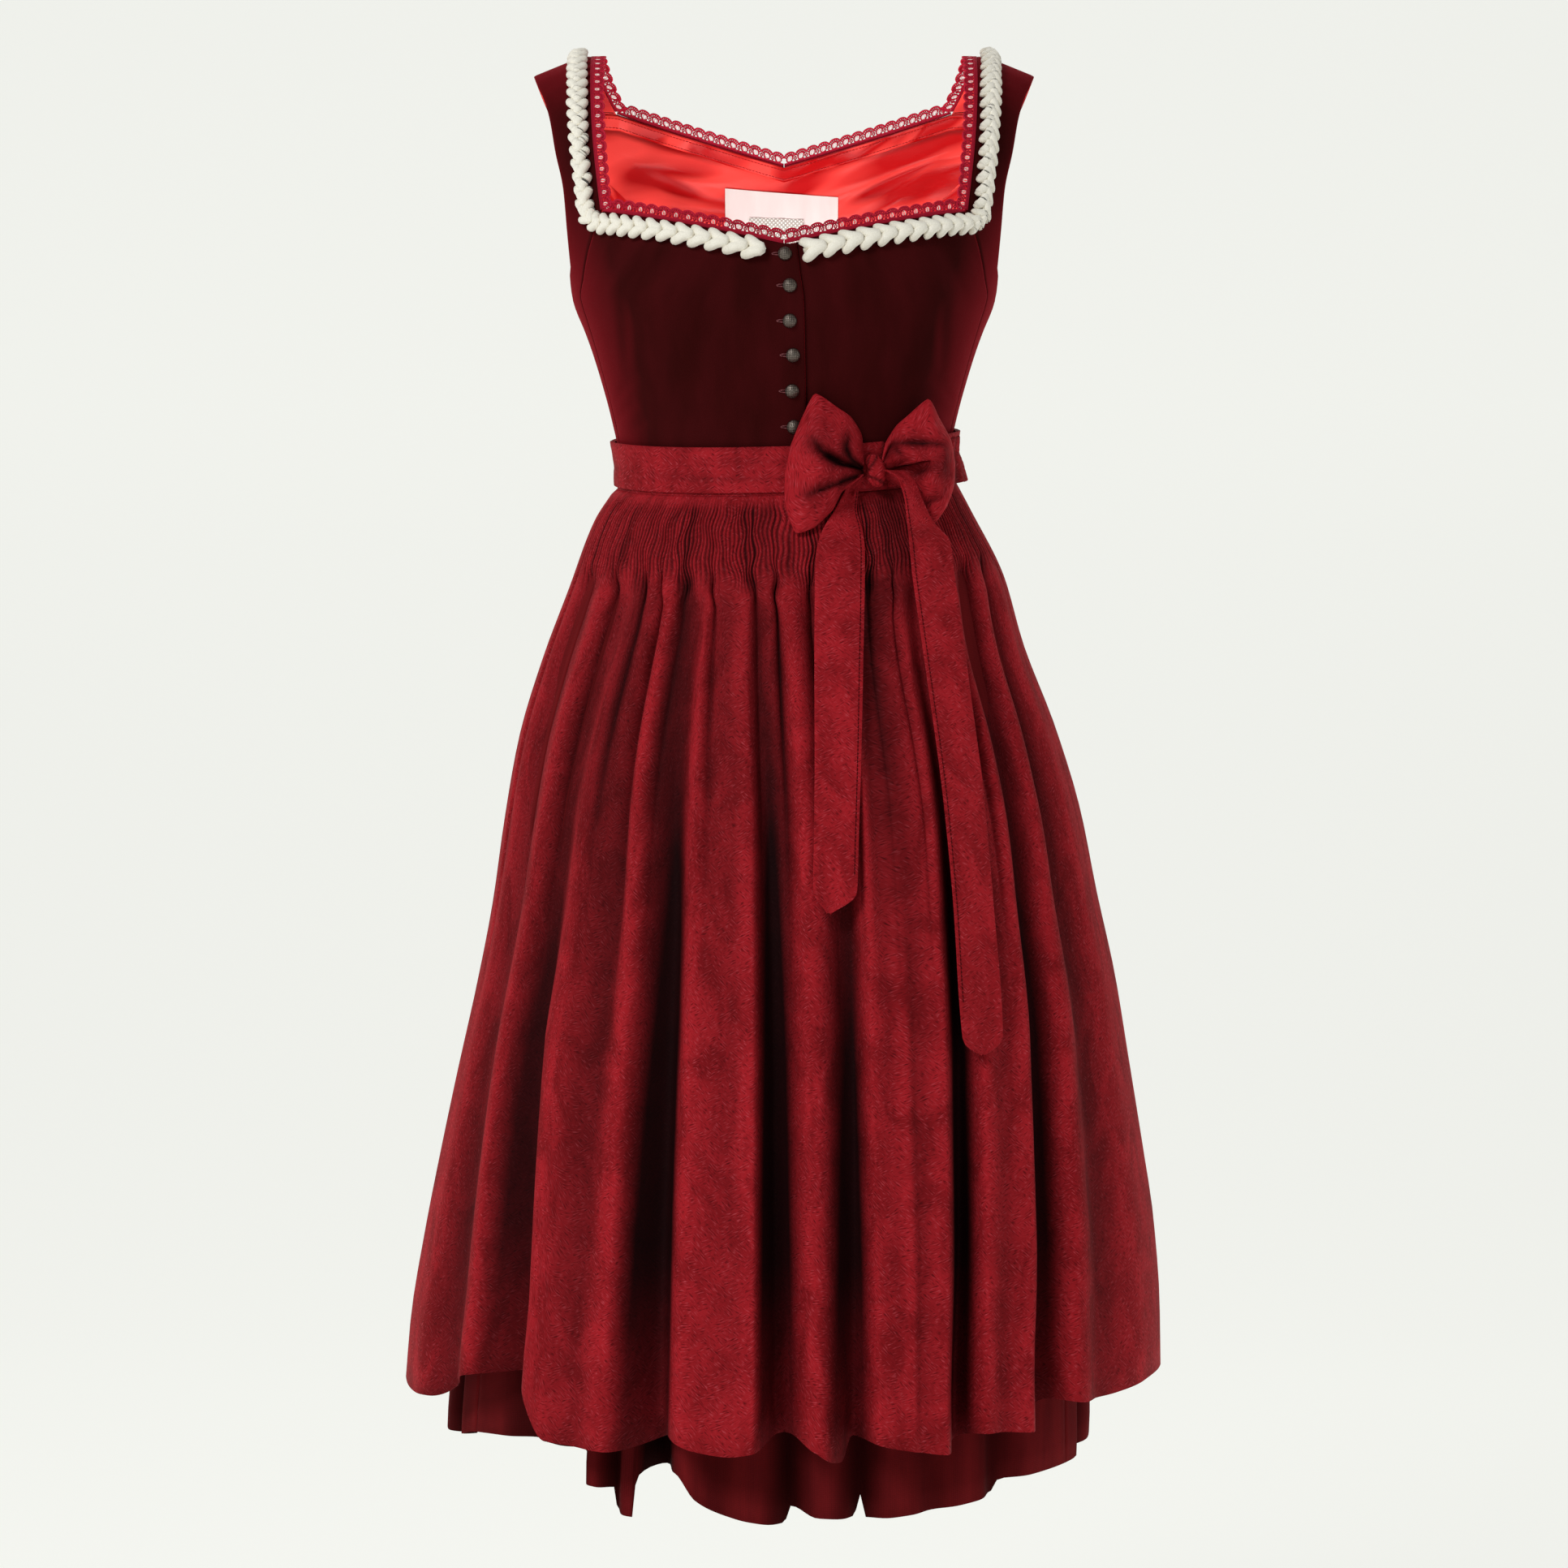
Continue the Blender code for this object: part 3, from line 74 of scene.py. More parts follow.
# How far from an edge cloth turns in, and by how much: velvet, jacquard ribbon and tails
VELVET_TURN = (0.0022, 0.0008)
RIBBON_TURN = (0.0022, 0.0007)
TAIL_TURN = (0.0020, 0.0006)
SKIRT_TURN = (0.0016, 0.0006)


# Numbers and curves


def measures(rows: Sequence[Sequence[float]]) -> Any:
    """A dataclass field that holds a table of measures."""
    return field(default_factory=lambda: np.array(rows, float))


def mix(a: Any, b: Any, t: Any) -> Any:
    """The straight blend from a to b."""
    return a + (b - a) * t


def ramp(x: Any, start: float, end: float) -> Array:
    """A smooth step from 0 at start to 1 at end: 3t^2 - 2t^3."""
    t = np.clip((np.asarray(x, float) - start) / (end - start), 0, 1)
    return t * t * (3 - 2 * t)


def bell(x: Any, width: float) -> Array:
    """A bell curve, exp(-(x / width)^2)."""
    return np.exp(-((np.asarray(x, float) / width) ** 2))


def powered(x: Any, power: Any) -> Array:
    """The size of x raised to a power, with the sign of x."""
    return np.sign(x) * np.abs(x) ** power


def stack(*parts: Any) -> Array:
    """Coordinate arrays as one array of points."""
    return np.stack(np.broadcast_arrays(*parts), axis=-1)


def circle(count: int) -> Array:
    """One row of angles, once round."""
    return np.linspace(0, math.tau, count, endpoint=False)[None, :]


def beside(out: Array) -> Array:
    """Level directions a quarter turn on from the outward ones, with rising angle."""
    return stack(-out[..., 1], out[..., 0], 0.0)


def along_path(at: Array, travelled: Array, rows: Array) -> Array:
    """Rows read at distances along a path, on straight lines between its own points."""
    return stack(*(np.interp(at, travelled, column) for column in rows.T))


def unit(vectors: Array) -> Array:
    """The vectors at length one."""
    return vectors / np.maximum(np.linalg.norm(vectors, axis=-1, keepdims=True), 1e-12)


def monotone(table: Array, at: Any, column: int) -> Array:
    """A monotone cubic curve through one column of a table.

    Args:
        table: rows whose first column is the place along the curve.
        at: the places to read.
        column: the column of values.

    Returns:
        The values, flat beyond the table's ends.
    """
    order = np.argsort(table[:, 0])
    xs = table[order, 0]
    ys = table[order, column]
    step = np.diff(xs)
    rise = np.diff(ys) / step
    slope = np.zeros(len(xs))
    slope[0] = rise[0]
    slope[-1] = rise[-1]
    same = rise[1:] * rise[:-1] > 0
    slope[1:-1][same] = 2 * rise[1:][same] * rise[:-1][same] / (rise[1:] + rise[:-1])[same]
    at = np.clip(np.asarray(at, float), xs[0], xs[-1])
    k = np.clip(np.searchsorted(xs, at) - 1, 0, len(xs) - 2)
    t = (at - xs[k]) / step[k]
    t2 = t * t
    t3 = t2 * t
    return (
        ys[k] * (2 * t3 - 3 * t2 + 1)
        + slope[k] * step[k] * (t3 - 2 * t2 + t)
        + ys[k + 1] * (3 * t2 - 2 * t3)
        + slope[k + 1] * step[k] * (t3 - t2)
    )


def spline(points: Array, count: int) -> Array:
    """A Catmull-Rom curve through the rows of points, read at even parameters.

    Args:
        points: the rows to pass through, of any width.
        count: how many rows to return.

    Returns:
        The rows of the curve.
    """
    ends = np.concatenate([[2 * points[0] - points[1]], points, [2 * points[-1] - points[-2]]])
    at = np.linspace(0, len(points) - 1, count)
    k = np.minimum(at.astype(int), len(points) - 2)
    t = (at - k)[:, None]
    p0, p1, p2, p3 = (ends[k + i] for i in range(4))
    return 0.5 * (
        2 * p1
        + (p2 - p0) * t
        + (2 * p0 - 5 * p1 + 4 * p2 - p3) * t**2
        + (3 * p1 - p0 - 3 * p2 + p3) * t**3
    )


def lengths_along(points: Array, axis: int = 0) -> Array:
    """The distance travelled along an axis of points, from zero at the first."""
    steps = np.linalg.norm(np.diff(points, axis=axis), axis=-1)
    first = np.zeros_like(np.take(steps, [0], axis=axis))
    return np.cumsum(np.concatenate([first, steps], axis=axis), axis=axis)


def edged(count: int) -> Array:
    """Shares from 0 to 1 with a few more close to each end, where an edge rolls over."""
    ends = np.array([0.0, 0.0025, 0.006, 0.011])
    inner = 0.018
    return np.concatenate([ends, np.linspace(inner, 1 - inner, count), 1 - ends[::-1]])


def grid_normals(grid: Array) -> Array:
    """Outward directions of a grid whose columns run with rising angle and whose rows run down."""
    return unit(np.cross(np.gradient(grid, axis=0), np.gradient(grid, axis=1)))


def troughs(across: Array, along: Array, marks: Array, power: float = 2.0) -> Array:
    """The depth of soft creases.

    Each mark is a straight line; the depth is exp(-(gap / width)^power) across it and fades
    towards its ends.

    Args:
        across: the first coordinate of the points, in metres.
        along: the second coordinate of the points, in metres.
        marks: rows of start, end, width and depth, in millimetres.
        power: 2 for a round trough, less for a sharp one.

    Returns:
        The depth at each point, in metres.
    """
    total = np.zeros(np.broadcast(across, along).shape)
    for x0, z0, x1, z1, width, depth in marks * MM:
        run = np.array([x1 - x0, z1 - z0])
        t = ((across - x0) * run[0] + (along - z0) * run[1]) / (run @ run)
        t = np.clip(t, 0, 1)
        gap = np.hypot(across - x0 - t * run[0], along - z0 - t * run[1])
        fade = mix(CREASE_END, 1.0, np.sin(math.pi * t))
        total += depth * np.exp(-((gap / width) ** power)) * fade
    return total


def rolled(grid: Array, reach: float, depth: float, sides: str = "lrtb") -> Array:
    """The grid with its edges turned in: a quarter round within reach of each named side.

    Args:
        grid: rows and columns of points, the outer side of a cloth.
        reach: how far from the edge the cloth starts to turn.
        depth: how far the edge itself is turned in.
        sides: any of l, r, t and b.

    Returns:
        The moved grid.
    """
    across = lengths_along(grid, 1)
    down = lengths_along(grid, 0)
    gaps = {"l": across, "r": across[:, -1:] - across, "t": down, "b": down[-1:] - down}
    total = np.zeros(grid.shape[:2])
    for side in sides:
        near = np.clip(1 - gaps[side] / reach, 0, 1)
        total = np.maximum(total, depth * (1 - np.sqrt(1 - near**2)))
    return grid - grid_normals(grid) * total[..., None]


# The figure and the skirt rings


@dataclass(frozen=True)
class Figure:
    """The general figure that fills the dress: torso sections and the slanted waistline."""

    power: float = 2.35
    # The shoulder's fall outside its flat middle, from the top down to fall_end
    fall: float = 0.40
    flat: float = 0.150
    fall_end: float = -0.13
    fall_over: float = 0.11
    # The bust: how full, its angle and height, and how wide it is in both
    fullness: float = 0.005
    bust: Pair = (34.0, -0.185)
    bust_width: Pair = (20.0, 0.04)
    # The drops over which the rings turn from the bodice's section to an ellipse
    rounding: Pair = (0.02, 0.12)
    # Small steps for directions, in metres down and degrees across
    step: float = 0.0012
    turn_step: float = 0.4
    waist_mean: float = -0.299
    waist_dip: float = -0.019
    waist_tilt: float = 0.004
    # Torso: height, half width, front depth, back depth, y of the middle
    sections: Array = measures([
        [0, 0.212, 0.0004, 0.0004, 0.012], [-0.0006, 0.2119, 0.006, 0.0055, 0.012],
        [-0.004, 0.211, 0.018, 0.016, 0.012], [-0.012, 0.209, 0.034, 0.03, 0.011],
        [-0.028, 0.204, 0.056, 0.05, 0.01], [-0.05, 0.198, 0.077, 0.066, 0.009],
        [-0.08, 0.189, 0.096, 0.079, 0.007], [-0.11, 0.179, 0.109, 0.087, 0.006],
        [-0.145, 0.1675, 0.12, 0.093, 0.005], [-0.175, 0.158, 0.125, 0.094, 0.004],
        [-0.188, 0.1545, 0.125, 0.093, 0.003], [-0.205, 0.1475, 0.123, 0.0915, 0.002],
        [-0.22, 0.142, 0.119, 0.09, 0.001], [-0.244, 0.1345, 0.112, 0.0875, 0],
        [-0.27, 0.1275, 0.1045, 0.0862, 0], [-0.295, 0.1225, 0.0995, 0.086, 0],
        [-0.31, 0.1218, 0.0985, 0.086, 0], [-0.35, 0.1218, 0.0985, 0.086, 0],
    ])

    def waist(self, angle: Any) -> Array:
        """The height of the waistline, which dips at the front."""
        a = np.radians(angle)
        return self.waist_mean + self.waist_dip * np.cos(a) + self.waist_tilt * np.sin(a)

    def torso(self, angle: Any, height: Any) -> Array:
        """Points of the bodice's outer side.

        Each section is a superellipse, |x/a|^p + |y/b|^p = 1, with the bust added as a bell
        and the shoulder falling away outside a flat middle.

        Args:
            angle: degrees from the front.
            height: the section's height.

        Returns:
            The points.
        """
        angle, height = np.broadcast_arrays(np.asarray(angle, float), np.asarray(height, float))
        a = np.radians(angle)
        half, front, back, middle = (monotone(self.sections, height, k) for k in (1, 2, 3, 4))
        side = powered(np.sin(a), 2 / self.power)
        ahead = powered(np.cos(a), 2 / self.power)
        turn = np.degrees(np.arctan2(np.sin(a), np.cos(a)))
        bust = self.fullness * bell(np.abs(turn) - self.bust[0], self.bust_width[0])
        bust = bust * bell(height - self.bust[1], self.bust_width[1])
        x = (half + bust) * side
        y = middle - np.where(ahead > 0, front + bust, back) * ahead
        fade = np.clip((height - self.fall_end) / self.fall_over, 0, 1)
        return stack(x, y, height - self.fall * np.maximum(np.abs(x) - self.flat, 0) * fade)

    def outward(self, angle: Any, height: Any) -> Array:
        """The bodice's outward directions, from small steps across and down."""
        above = np.minimum(np.asarray(height, float) + self.step, 0)
        down = self.torso(angle, above - 2 * self.step) - self.torso(angle, above)
        across = self.torso(angle + self.turn_step, height) - self.torso(angle - self.turn_step, height)
        return unit(np.cross(down, across))

    def angle_at(self, x: Any, height: Any) -> Array:
        """The front angle at which a section reaches this distance from the middle."""
        share = np.clip(np.abs(x) / monotone(self.sections, height, 1), 0, 1) ** (self.power / 2)
        return np.sign(x) * np.degrees(np.arcsin(share))

    def at(self, x: Any, height: Any, behind: bool = False) -> Array:
        """Points of the bodice's front or back at a distance from the middle."""
        angle = self.angle_at(x, height)
        return self.torso(180 - angle if behind else angle, height)

    def roundness(self, drop: Any) -> Array:
        """The power of a skirt ring: the bodice's at the waist, an ellipse's further down."""
        return mix(self.power, 2.0, ramp(drop, *self.rounding))

    def ring(self, table: Array, angle: Any, drop: Any) -> tuple[Array, Array]:
        """Points of a skirt ring and their outward directions in plan.

        Args:
            table: rows of drop, half width right and left, front depth and back depth.
            angle: degrees from the front.
            drop: the distance below the waistline.

        Returns:
            The points and the directions.
        """
        angle, drop = np.broadcast_arrays(np.asarray(angle, float), np.asarray(drop, float))
        a = np.radians(angle)
        right, left, front, back = (monotone(table, drop, k) for k in (1, 2, 3, table.shape[1] - 1))
        half = np.where(np.sin(a) < 0, right, left)
        depth = np.where(np.cos(a) > 0, front, back)
        power = self.roundness(drop)
        side = powered(np.sin(a), 2 / power)
        ahead = powered(np.cos(a), 2 / power)
        base = stack(half * side, -depth * ahead, self.waist(angle) - drop)
        return base, unit(stack(powered(side, power - 1) / half, -powered(ahead, power - 1) / depth, 0.0))


FIGURE = Figure()


# Materials


class Slot(Enum):
    """The record's material slots."""

    VELVET = "velvet"
    SATIN = "satin"
    SKIRT = "skirt_cloth"
    JACQUARD = "jacquard"
    LACE = "lace_thread"
    BRAID = "braid_velour"
    SILVER = "old_silver"
    LABEL = "label_satin"
    NET = "label_net"


def linear(colour: str) -> tuple[float, float, float, float]:
    """An sRGB hex colour as linear red, green, blue and a full alpha."""
    parts = [int(colour[k : k + 2], 16) / 255 for k in (1, 3, 5)]
    red, green, blue = (c / 12.92 if c <= 0.04045 else ((c + 0.055) / 1.055) ** 2.4 for c in parts)
    return red, green, blue, 1.0


def feed(node: Node, inputs: dict[Any, Any]) -> None:
    """Feed a node's inputs: a socket is linked, a hex colour is turned to linear, the rest is set."""
    for key, value in inputs.items():
        if isinstance(value, Socket):
            node.id_data.links.new(value, node.inputs[key])
        else:
            node.inputs[key].default_value = linear(value) if isinstance(value, str) else value


def add_node(
    tree: Tree, kind: str, inputs: dict[Any, Any], output: Any = 0, **settings: Any,
) -> Socket:
    """Add a shader node.

    Args:
        tree: the material's node tree.
        kind: the node's type, without ShaderNode before it.
        inputs: input name or number to a constant, a hex colour or the socket that feeds it.
        output: the name or number of the output to return.
        **settings: the node's own properties.

    Returns:
        The output.
    """
    node = tree.nodes.new(f"ShaderNode{kind}")
    for key, value in settings.items():
        setattr(node, key, value)
    feed(node, inputs)
    return node.outputs[output]


# A Mix node blends colours from its inputs 6 and 7 to its output 2, and numbers from 2 and 3 to 0
COLOUR = {"output": 2, "data_type": "RGBA"}
# The number that each piece gives its points: 1 on ridges, less in hollows; most finishes paint shade
# with it
TONE = {"output": "Fac", "attribute_name": "tone"}


class Finish:
    """A finish: a material that is made once, from a shader that the subclass dresses."""

    name: str
    slot: Slot

    def material(self) -> bpy.types.Material:
        """The material, made on first use."""
        found = bpy.data.materials.get(self.name)
        if found:
            return found
        material = bpy.data.materials.new(self.name)
        material.use_nodes = True
        tree = material.node_tree
        self.dress(tree, tree.nodes["Principled BSDF"])
        return material

    def dress(self, tree: Tree, shader: Node) -> None:
        """Set the shader and build what feeds it."""
        raise NotImplementedError

    @staticmethod
    def cloth(
        tree: Tree, scale: Pair = (1.0, 1.0), turn: float = 0.0,
    ) -> Socket:
        """The piece's cloth coordinates in metres, turned by degrees and then multiplied by a scale."""
        metres = add_node(tree, "UVMap", {}, uv_map="cloth")
        turned = add_node(tree, "Mapping", {"Vector": metres, "Rotation": (0, 0, math.radians(turn))})
        return add_node(tree, "Mapping", {"Vector": turned, "Scale": (*scale, 1)})


@dataclass(frozen=True)
class Velvet(Finish):
    """Cotton velvet: a cut pile that drinks light head on, with a sheen at a slant that is also painted
    into its colour.
    """

    name: str = "cotton_velvet"
    slot: Slot = Slot.VELVET
    deep: str = "#320909"
    pile: str = "#3f0c0e"
    # The sheen's red: painted into the colour at a slant, and the shader's sheen tint
    glow: str = "#8e1420"
    tuft: float = 0.0006
    relief: float = 0.00014
    # How many brushed patches a metre holds, across and along
    brushed: Pair = (34.0, 12.0)

    def dress(self, tree: Tree, shader: Node) -> None:
        """Dark ground with brushed patches, a painted sheen at a slant, a strong shader sheen and a fine
        tufted bump.
        """
        patches = add_node(
            tree, "TexNoise", {"Scale": 1.0, "Detail": 3.0, "Vector": self.cloth(tree, self.brushed)},
        )
        share = add_node(tree, "MapRange", {"Value": patches, "From Min": 0.35, "From Max": 0.68})
        head_on = add_node(tree, "Mix", {0: share, 6: self.deep, 7: self.pile}, **COLOUR)
        # Painted sheen: the colour turns to the sheen's red as the surface slants away from straight on
        facing = add_node(tree, "LayerWeight", {"Blend": 0.5}, "Facing")
        slant = add_node(tree, "MapRange", {"Value": facing, "From Min": 0.30, "From Max": 1.0})
        tufts = add_node(tree, "TexNoise", {
            "Scale": 1 / self.tuft, "Detail": 1.0, "Vector": self.cloth(tree),
        })
        feed(shader, {
            "Base Color": add_node(tree, "Mix", {0: slant, 6: head_on, 7: self.glow}, **COLOUR),
            "Roughness": 0.82,
            "Specular IOR Level": 0.02,
            "Sheen Weight": 0.36,
            "Sheen Roughness": 0.22,
            "Sheen Tint": self.glow,
            "Normal": add_node(tree, "Bump", {"Height": tufts, "Distance": self.relief}),
        })


@dataclass(frozen=True)
class Jacquard(Finish):
    """Jacquard weave: floats in broken diagonal hatches, with dark grooves between them.

    The real floats are about 2 mm by 0.4 mm. They are drawn twice as coarse, so that they show.
    """

    name: str = "hatched_jacquard"
    slot: Slot = Slot.JACQUARD
    shade: str = "#88141b"
    ground: str = "#ab1f28"
    float_thread: str = "#c04852"
    groove: str = "#620c12"
    # The colour of the painted shade in folds, grooves and creases, where the tone is low
    hollow: str = "#0e0203"
    float_length: float = 0.0044
    float_width: float = 0.00080
    turns: Pair = (38.0, -24.0)
    patch: float = 0.0100
    mottle: float = 0.026
    relief: float = 0.00030

    def dress(self, tree: Tree, shader: Node) -> None:
        """A mottled ground, two slanted hatches that each keep to their own patches, painted shade from
        the tone, a soft gloss.
        """
        scale = (1 / self.float_length, 1 / self.float_width)
        hatches = [
            add_node(tree, "TexNoise", {
                "Scale": 1.0, "Detail": 1.0, "Roughness": 0.4, "Vector": self.cloth(tree, scale, turn),
            })
            for turn in self.turns
        ]
        patches = add_node(tree, "TexNoise", {
            "Scale": 1 / self.patch, "Detail": 0.0, "Vector": self.cloth(tree, (1.0, 0.8)),
        })
        which = add_node(tree, "MapRange", {"Value": patches, "From Min": 0.46, "From Max": 0.54})
        hatch = add_node(tree, "Mix", {0: which, 2: hatches[0], 3: hatches[1]})
        mottle = add_node(tree, "TexNoise", {
            "Scale": 1 / self.mottle, "Detail": 3.0, "Distortion": 0.9,
            "Vector": self.cloth(tree, (1.0, 0.6)),
        })
        drift = add_node(tree, "MapRange", {"Value": mottle, "From Min": 0.34, "From Max": 0.62})
        floats = add_node(tree, "MapRange", {"Value": hatch, "From Min": 0.58, "From Max": 0.84})
        grooves = add_node(tree, "MapRange", {"Value": hatch, "From Min": 0.46, "From Max": 0.26})
        mottled = add_node(tree, "Mix", {0: drift, 6: self.shade, 7: self.ground}, **COLOUR)
        grooved = add_node(tree, "Mix", {0: grooves, 6: mottled, 7: self.groove}, **COLOUR)
        woven = add_node(tree, "Mix", {0: floats, 6: grooved, 7: self.float_thread}, **COLOUR)
        # Painted shade: darker towards the shade colour where the tone is low
        tone = add_node(tree, "Attribute", {}, **TONE)
        feed(shader, {
            "Base Color": add_node(tree, "Mix", {0: tone, 6: self.hollow, 7: woven}, **COLOUR),
            "Roughness": add_node(tree, "MapRange", {"Value": floats, "To Min": 0.78, "To Max": 0.55}),
            "Specular IOR Level": 0.07,
            "Normal": add_node(tree, "Bump", {"Height": hatch, "Distance": self.relief}),
        })


@dataclass(frozen=True)
class Satin(Finish):
    """Lining satin: long smooth floats that give one soft bright band of light, and painted highlights on
    its crinkles.
    """

    name: str = "lining_satin"
    slot: Slot = Slot.SATIN
    # The crinkles' painted shade and painted highlight
    shade: str = "#bf060b"
    lit: str = "#ff4a43"
    # The colour of the painted shade in the creases, along the neck and under the facing's edge
    seam: str = "#7a0407"
    # Crinkles: size across and along, and turn
    crinkle: Pair = (0.048, 0.024)
    turn: float = 32.0
    # Threads in a metre, drawn about four times as coarse as the real ones so that they show
    threads: Pair = (300.0, 2200.0)
    relief: float = 0.0060
    fine: float = 0.012

    def dress(self, tree: Tree, shader: Node) -> None:
        """Soft slanting crinkles with painted highlights and shade, painted shade in creases and along
        edges, over a fine cross weave.
        """
        scale = (1 / self.crinkle[0], 1 / self.crinkle[1])
        crinkle = add_node(tree, "TexNoise", {
            "Scale": 1.0, "Detail": 0.6, "Distortion": 0.7, "Vector": self.cloth(tree, scale, self.turn),
        })
        # Painted highlight and painted shade on the crinkles, from the same noise as their bump
        share = add_node(tree, "MapRange", {"Value": crinkle, "From Min": 0.40, "From Max": 0.60})
        crinkled = add_node(tree, "Mix", {0: share, 6: self.shade, 7: self.lit}, **COLOUR)
        # Painted shade towards that colour where the tone is low
        tone = add_node(tree, "Attribute", {}, **TONE)
        threads = add_node(
            tree, "TexNoise", {"Scale": 1.0, "Detail": 1.0, "Vector": self.cloth(tree, self.threads)},
        )
        height = add_node(tree, "Math", {0: threads, 1: self.fine, 2: crinkle}, operation="MULTIPLY_ADD")
        feed(shader, {
            "Base Color": add_node(tree, "Mix", {0: tone, 6: self.seam, 7: crinkled}, **COLOUR),
            "Roughness": 0.34,
            "Specular IOR Level": 0.15,
            "Normal": add_node(tree, "Bump", {"Height": height, "Distance": self.relief}),
        })


@dataclass(frozen=True)
class PlainWeave(Finish):
    """Plain weave: warp and weft over and under each other, matt with small slubs."""

    name: str
    slot: Slot
    shade: str
    lit: str
    # The colour of the painted shade in the folds, where the tone is low
    hollow: str
    thread: float = 0.0009
    relief: float = 0.00008
    rough: float = 0.72
    gloss: float = 0.12
    turn: float = 0.0
    slubs: float = 0.65

    def dress(self, tree: Tree, shader: Node) -> None:
        """Two crossed sets of threads, wider apart than the real ones so that they show, and painted
        shade from the tone.
        """
        scale = 1 / self.thread / math.tau * 2
        warp, weft = (
            add_node(tree, "TexWave", {
                "Scale": scale, "Distortion": 0.6, "Detail": 1.0, "Vector": self.cloth(tree, turn=turn),
            }, "Fac")
            for turn in (self.turn, self.turn + 90.0)
        )
        woven = add_node(tree, "Math", {0: warp, 1: weft}, operation="MULTIPLY")
        drift = add_node(
            tree, "TexNoise", {"Scale": 1.0, "Detail": 3.0, "Vector": self.cloth(tree, (90.0, 14.0))},
        )
        slubbed = add_node(tree, "Mix", {0: self.slubs, 2: woven, 3: drift})
        share = add_node(tree, "MapRange", {"Value": slubbed, "From Min": 0.2, "From Max": 0.65})
        cloth = add_node(tree, "Mix", {0: share, 6: self.shade, 7: self.lit}, **COLOUR)
        # Painted shade: darker where the tone is low
        tone = add_node(tree, "Attribute", {}, **TONE)
        feed(shader, {
            "Base Color": add_node(tree, "Mix", {0: tone, 6: self.hollow, 7: cloth}, **COLOUR),
            "Roughness": self.rough,
            "Specular IOR Level": self.gloss,
            "Normal": add_node(tree, "Bump", {"Height": woven, "Distance": self.relief}),
        })


@dataclass(frozen=True)
class Thread(Finish):
    """Thread or yarn: twisted plies, with painted shade in the hollows that the piece's tone marks."""

    name: str
    slot: Slot
    shade: str
    lit: str
    twist: float = 0.0008
    fuzz: float = 0.1
    relief: float = 0.00010
    gloss: float = 0.25
    pale: str = ""

    def dress(self, tree: Tree, shader: Node) -> None:
        """A colour from the tone, which paints shade, and a fine noise, with a fuzzy sheen. A tone of 2
        is the pale thread.
        """
        tone = add_node(tree, "Attribute", {}, **TONE)
        place = add_node(tree, "TexCoord", {}, "Object")
        plies = add_node(tree, "TexNoise", {"Scale": 1 / self.twist, "Detail": 2.0, "Vector": place})
        shaded = add_node(tree, "Mix", {0: 0.35, 2: tone, 3: plies})
        share = add_node(tree, "MapRange", {"Value": shaded, "From Min": 0.1, "From Max": 0.9})
        colour = add_node(tree, "Mix", {0: share, 6: self.shade, 7: self.lit}, **COLOUR)
        if self.pale:
            share = add_node(tree, "MapRange", {"Value": tone, "From Min": 1.0, "From Max": 2.0})
            colour = add_node(tree, "Mix", {0: share, 6: colour, 7: self.pale}, **COLOUR)
        feed(shader, {
            "Base Color": colour,
            "Roughness": 0.78,
            "Specular IOR Level": self.gloss,
            "Sheen Weight": self.fuzz,
            "Sheen Roughness": 0.5,
            "Normal": add_node(tree, "Bump", {"Height": plies, "Distance": self.relief}),
        })


@dataclass(frozen=True)
class OldSilver(Finish):
    """Cast tin alloy, silvered and blackened: bright on the high spots, brown-black in the hollows."""

    name: str = "antique_silver"
    slot: Slot = Slot.SILVER
    # Here only the blackened patina in the hollows of the relief, the metal's own colour
    hollow: str = "#1c1512"
    high: str = "#857b72"
    # Specks of dirt in a metre
    specks: float = 700.0

    def dress(self, tree: Tree, shader: Node) -> None:
        """Colour and gloss from the tone, which is the height of the woven relief."""
        tone = add_node(tree, "Attribute", {}, **TONE)
        place = add_node(tree, "TexCoord", {}, "Object")
        dirt = add_node(tree, "TexNoise", {"Scale": self.specks, "Detail": 2.0, "Vector": place})
        worn = add_node(tree, "Mix", {0: 0.3, 2: tone, 3: dirt})
        share = add_node(tree, "MapRange", {"Value": worn, "From Min": 0.22, "From Max": 0.85})
        feed(shader, {
            "Base Color": add_node(tree, "Mix", {0: share, 6: self.hollow, 7: self.high}, **COLOUR),
            "Metallic": 0.85,
            "Roughness": add_node(tree, "MapRange", {"Value": share, "To Min": 0.62, "To Max": 0.34}),
        })


@dataclass(frozen=True)
class Backdrop(Finish):
    """Matt studio paper, one pale tone."""

    name: str = "studio_paper"
    colour: str = "#f1f2ed"
    paper: str = "#8f908d"
    glow: float = 0.82

    def dress(self, tree: Tree, shader: Node) -> None:
        """A matt paper whose glow gives most of its tone, so that it stays even."""
        feed(shader, {
            "Base Color": self.paper,
            "Emission Color": self.colour,
            "Emission Strength": self.glow,
            "Roughness": 1.0,
            "Specular IOR Level": 0.0,
        })


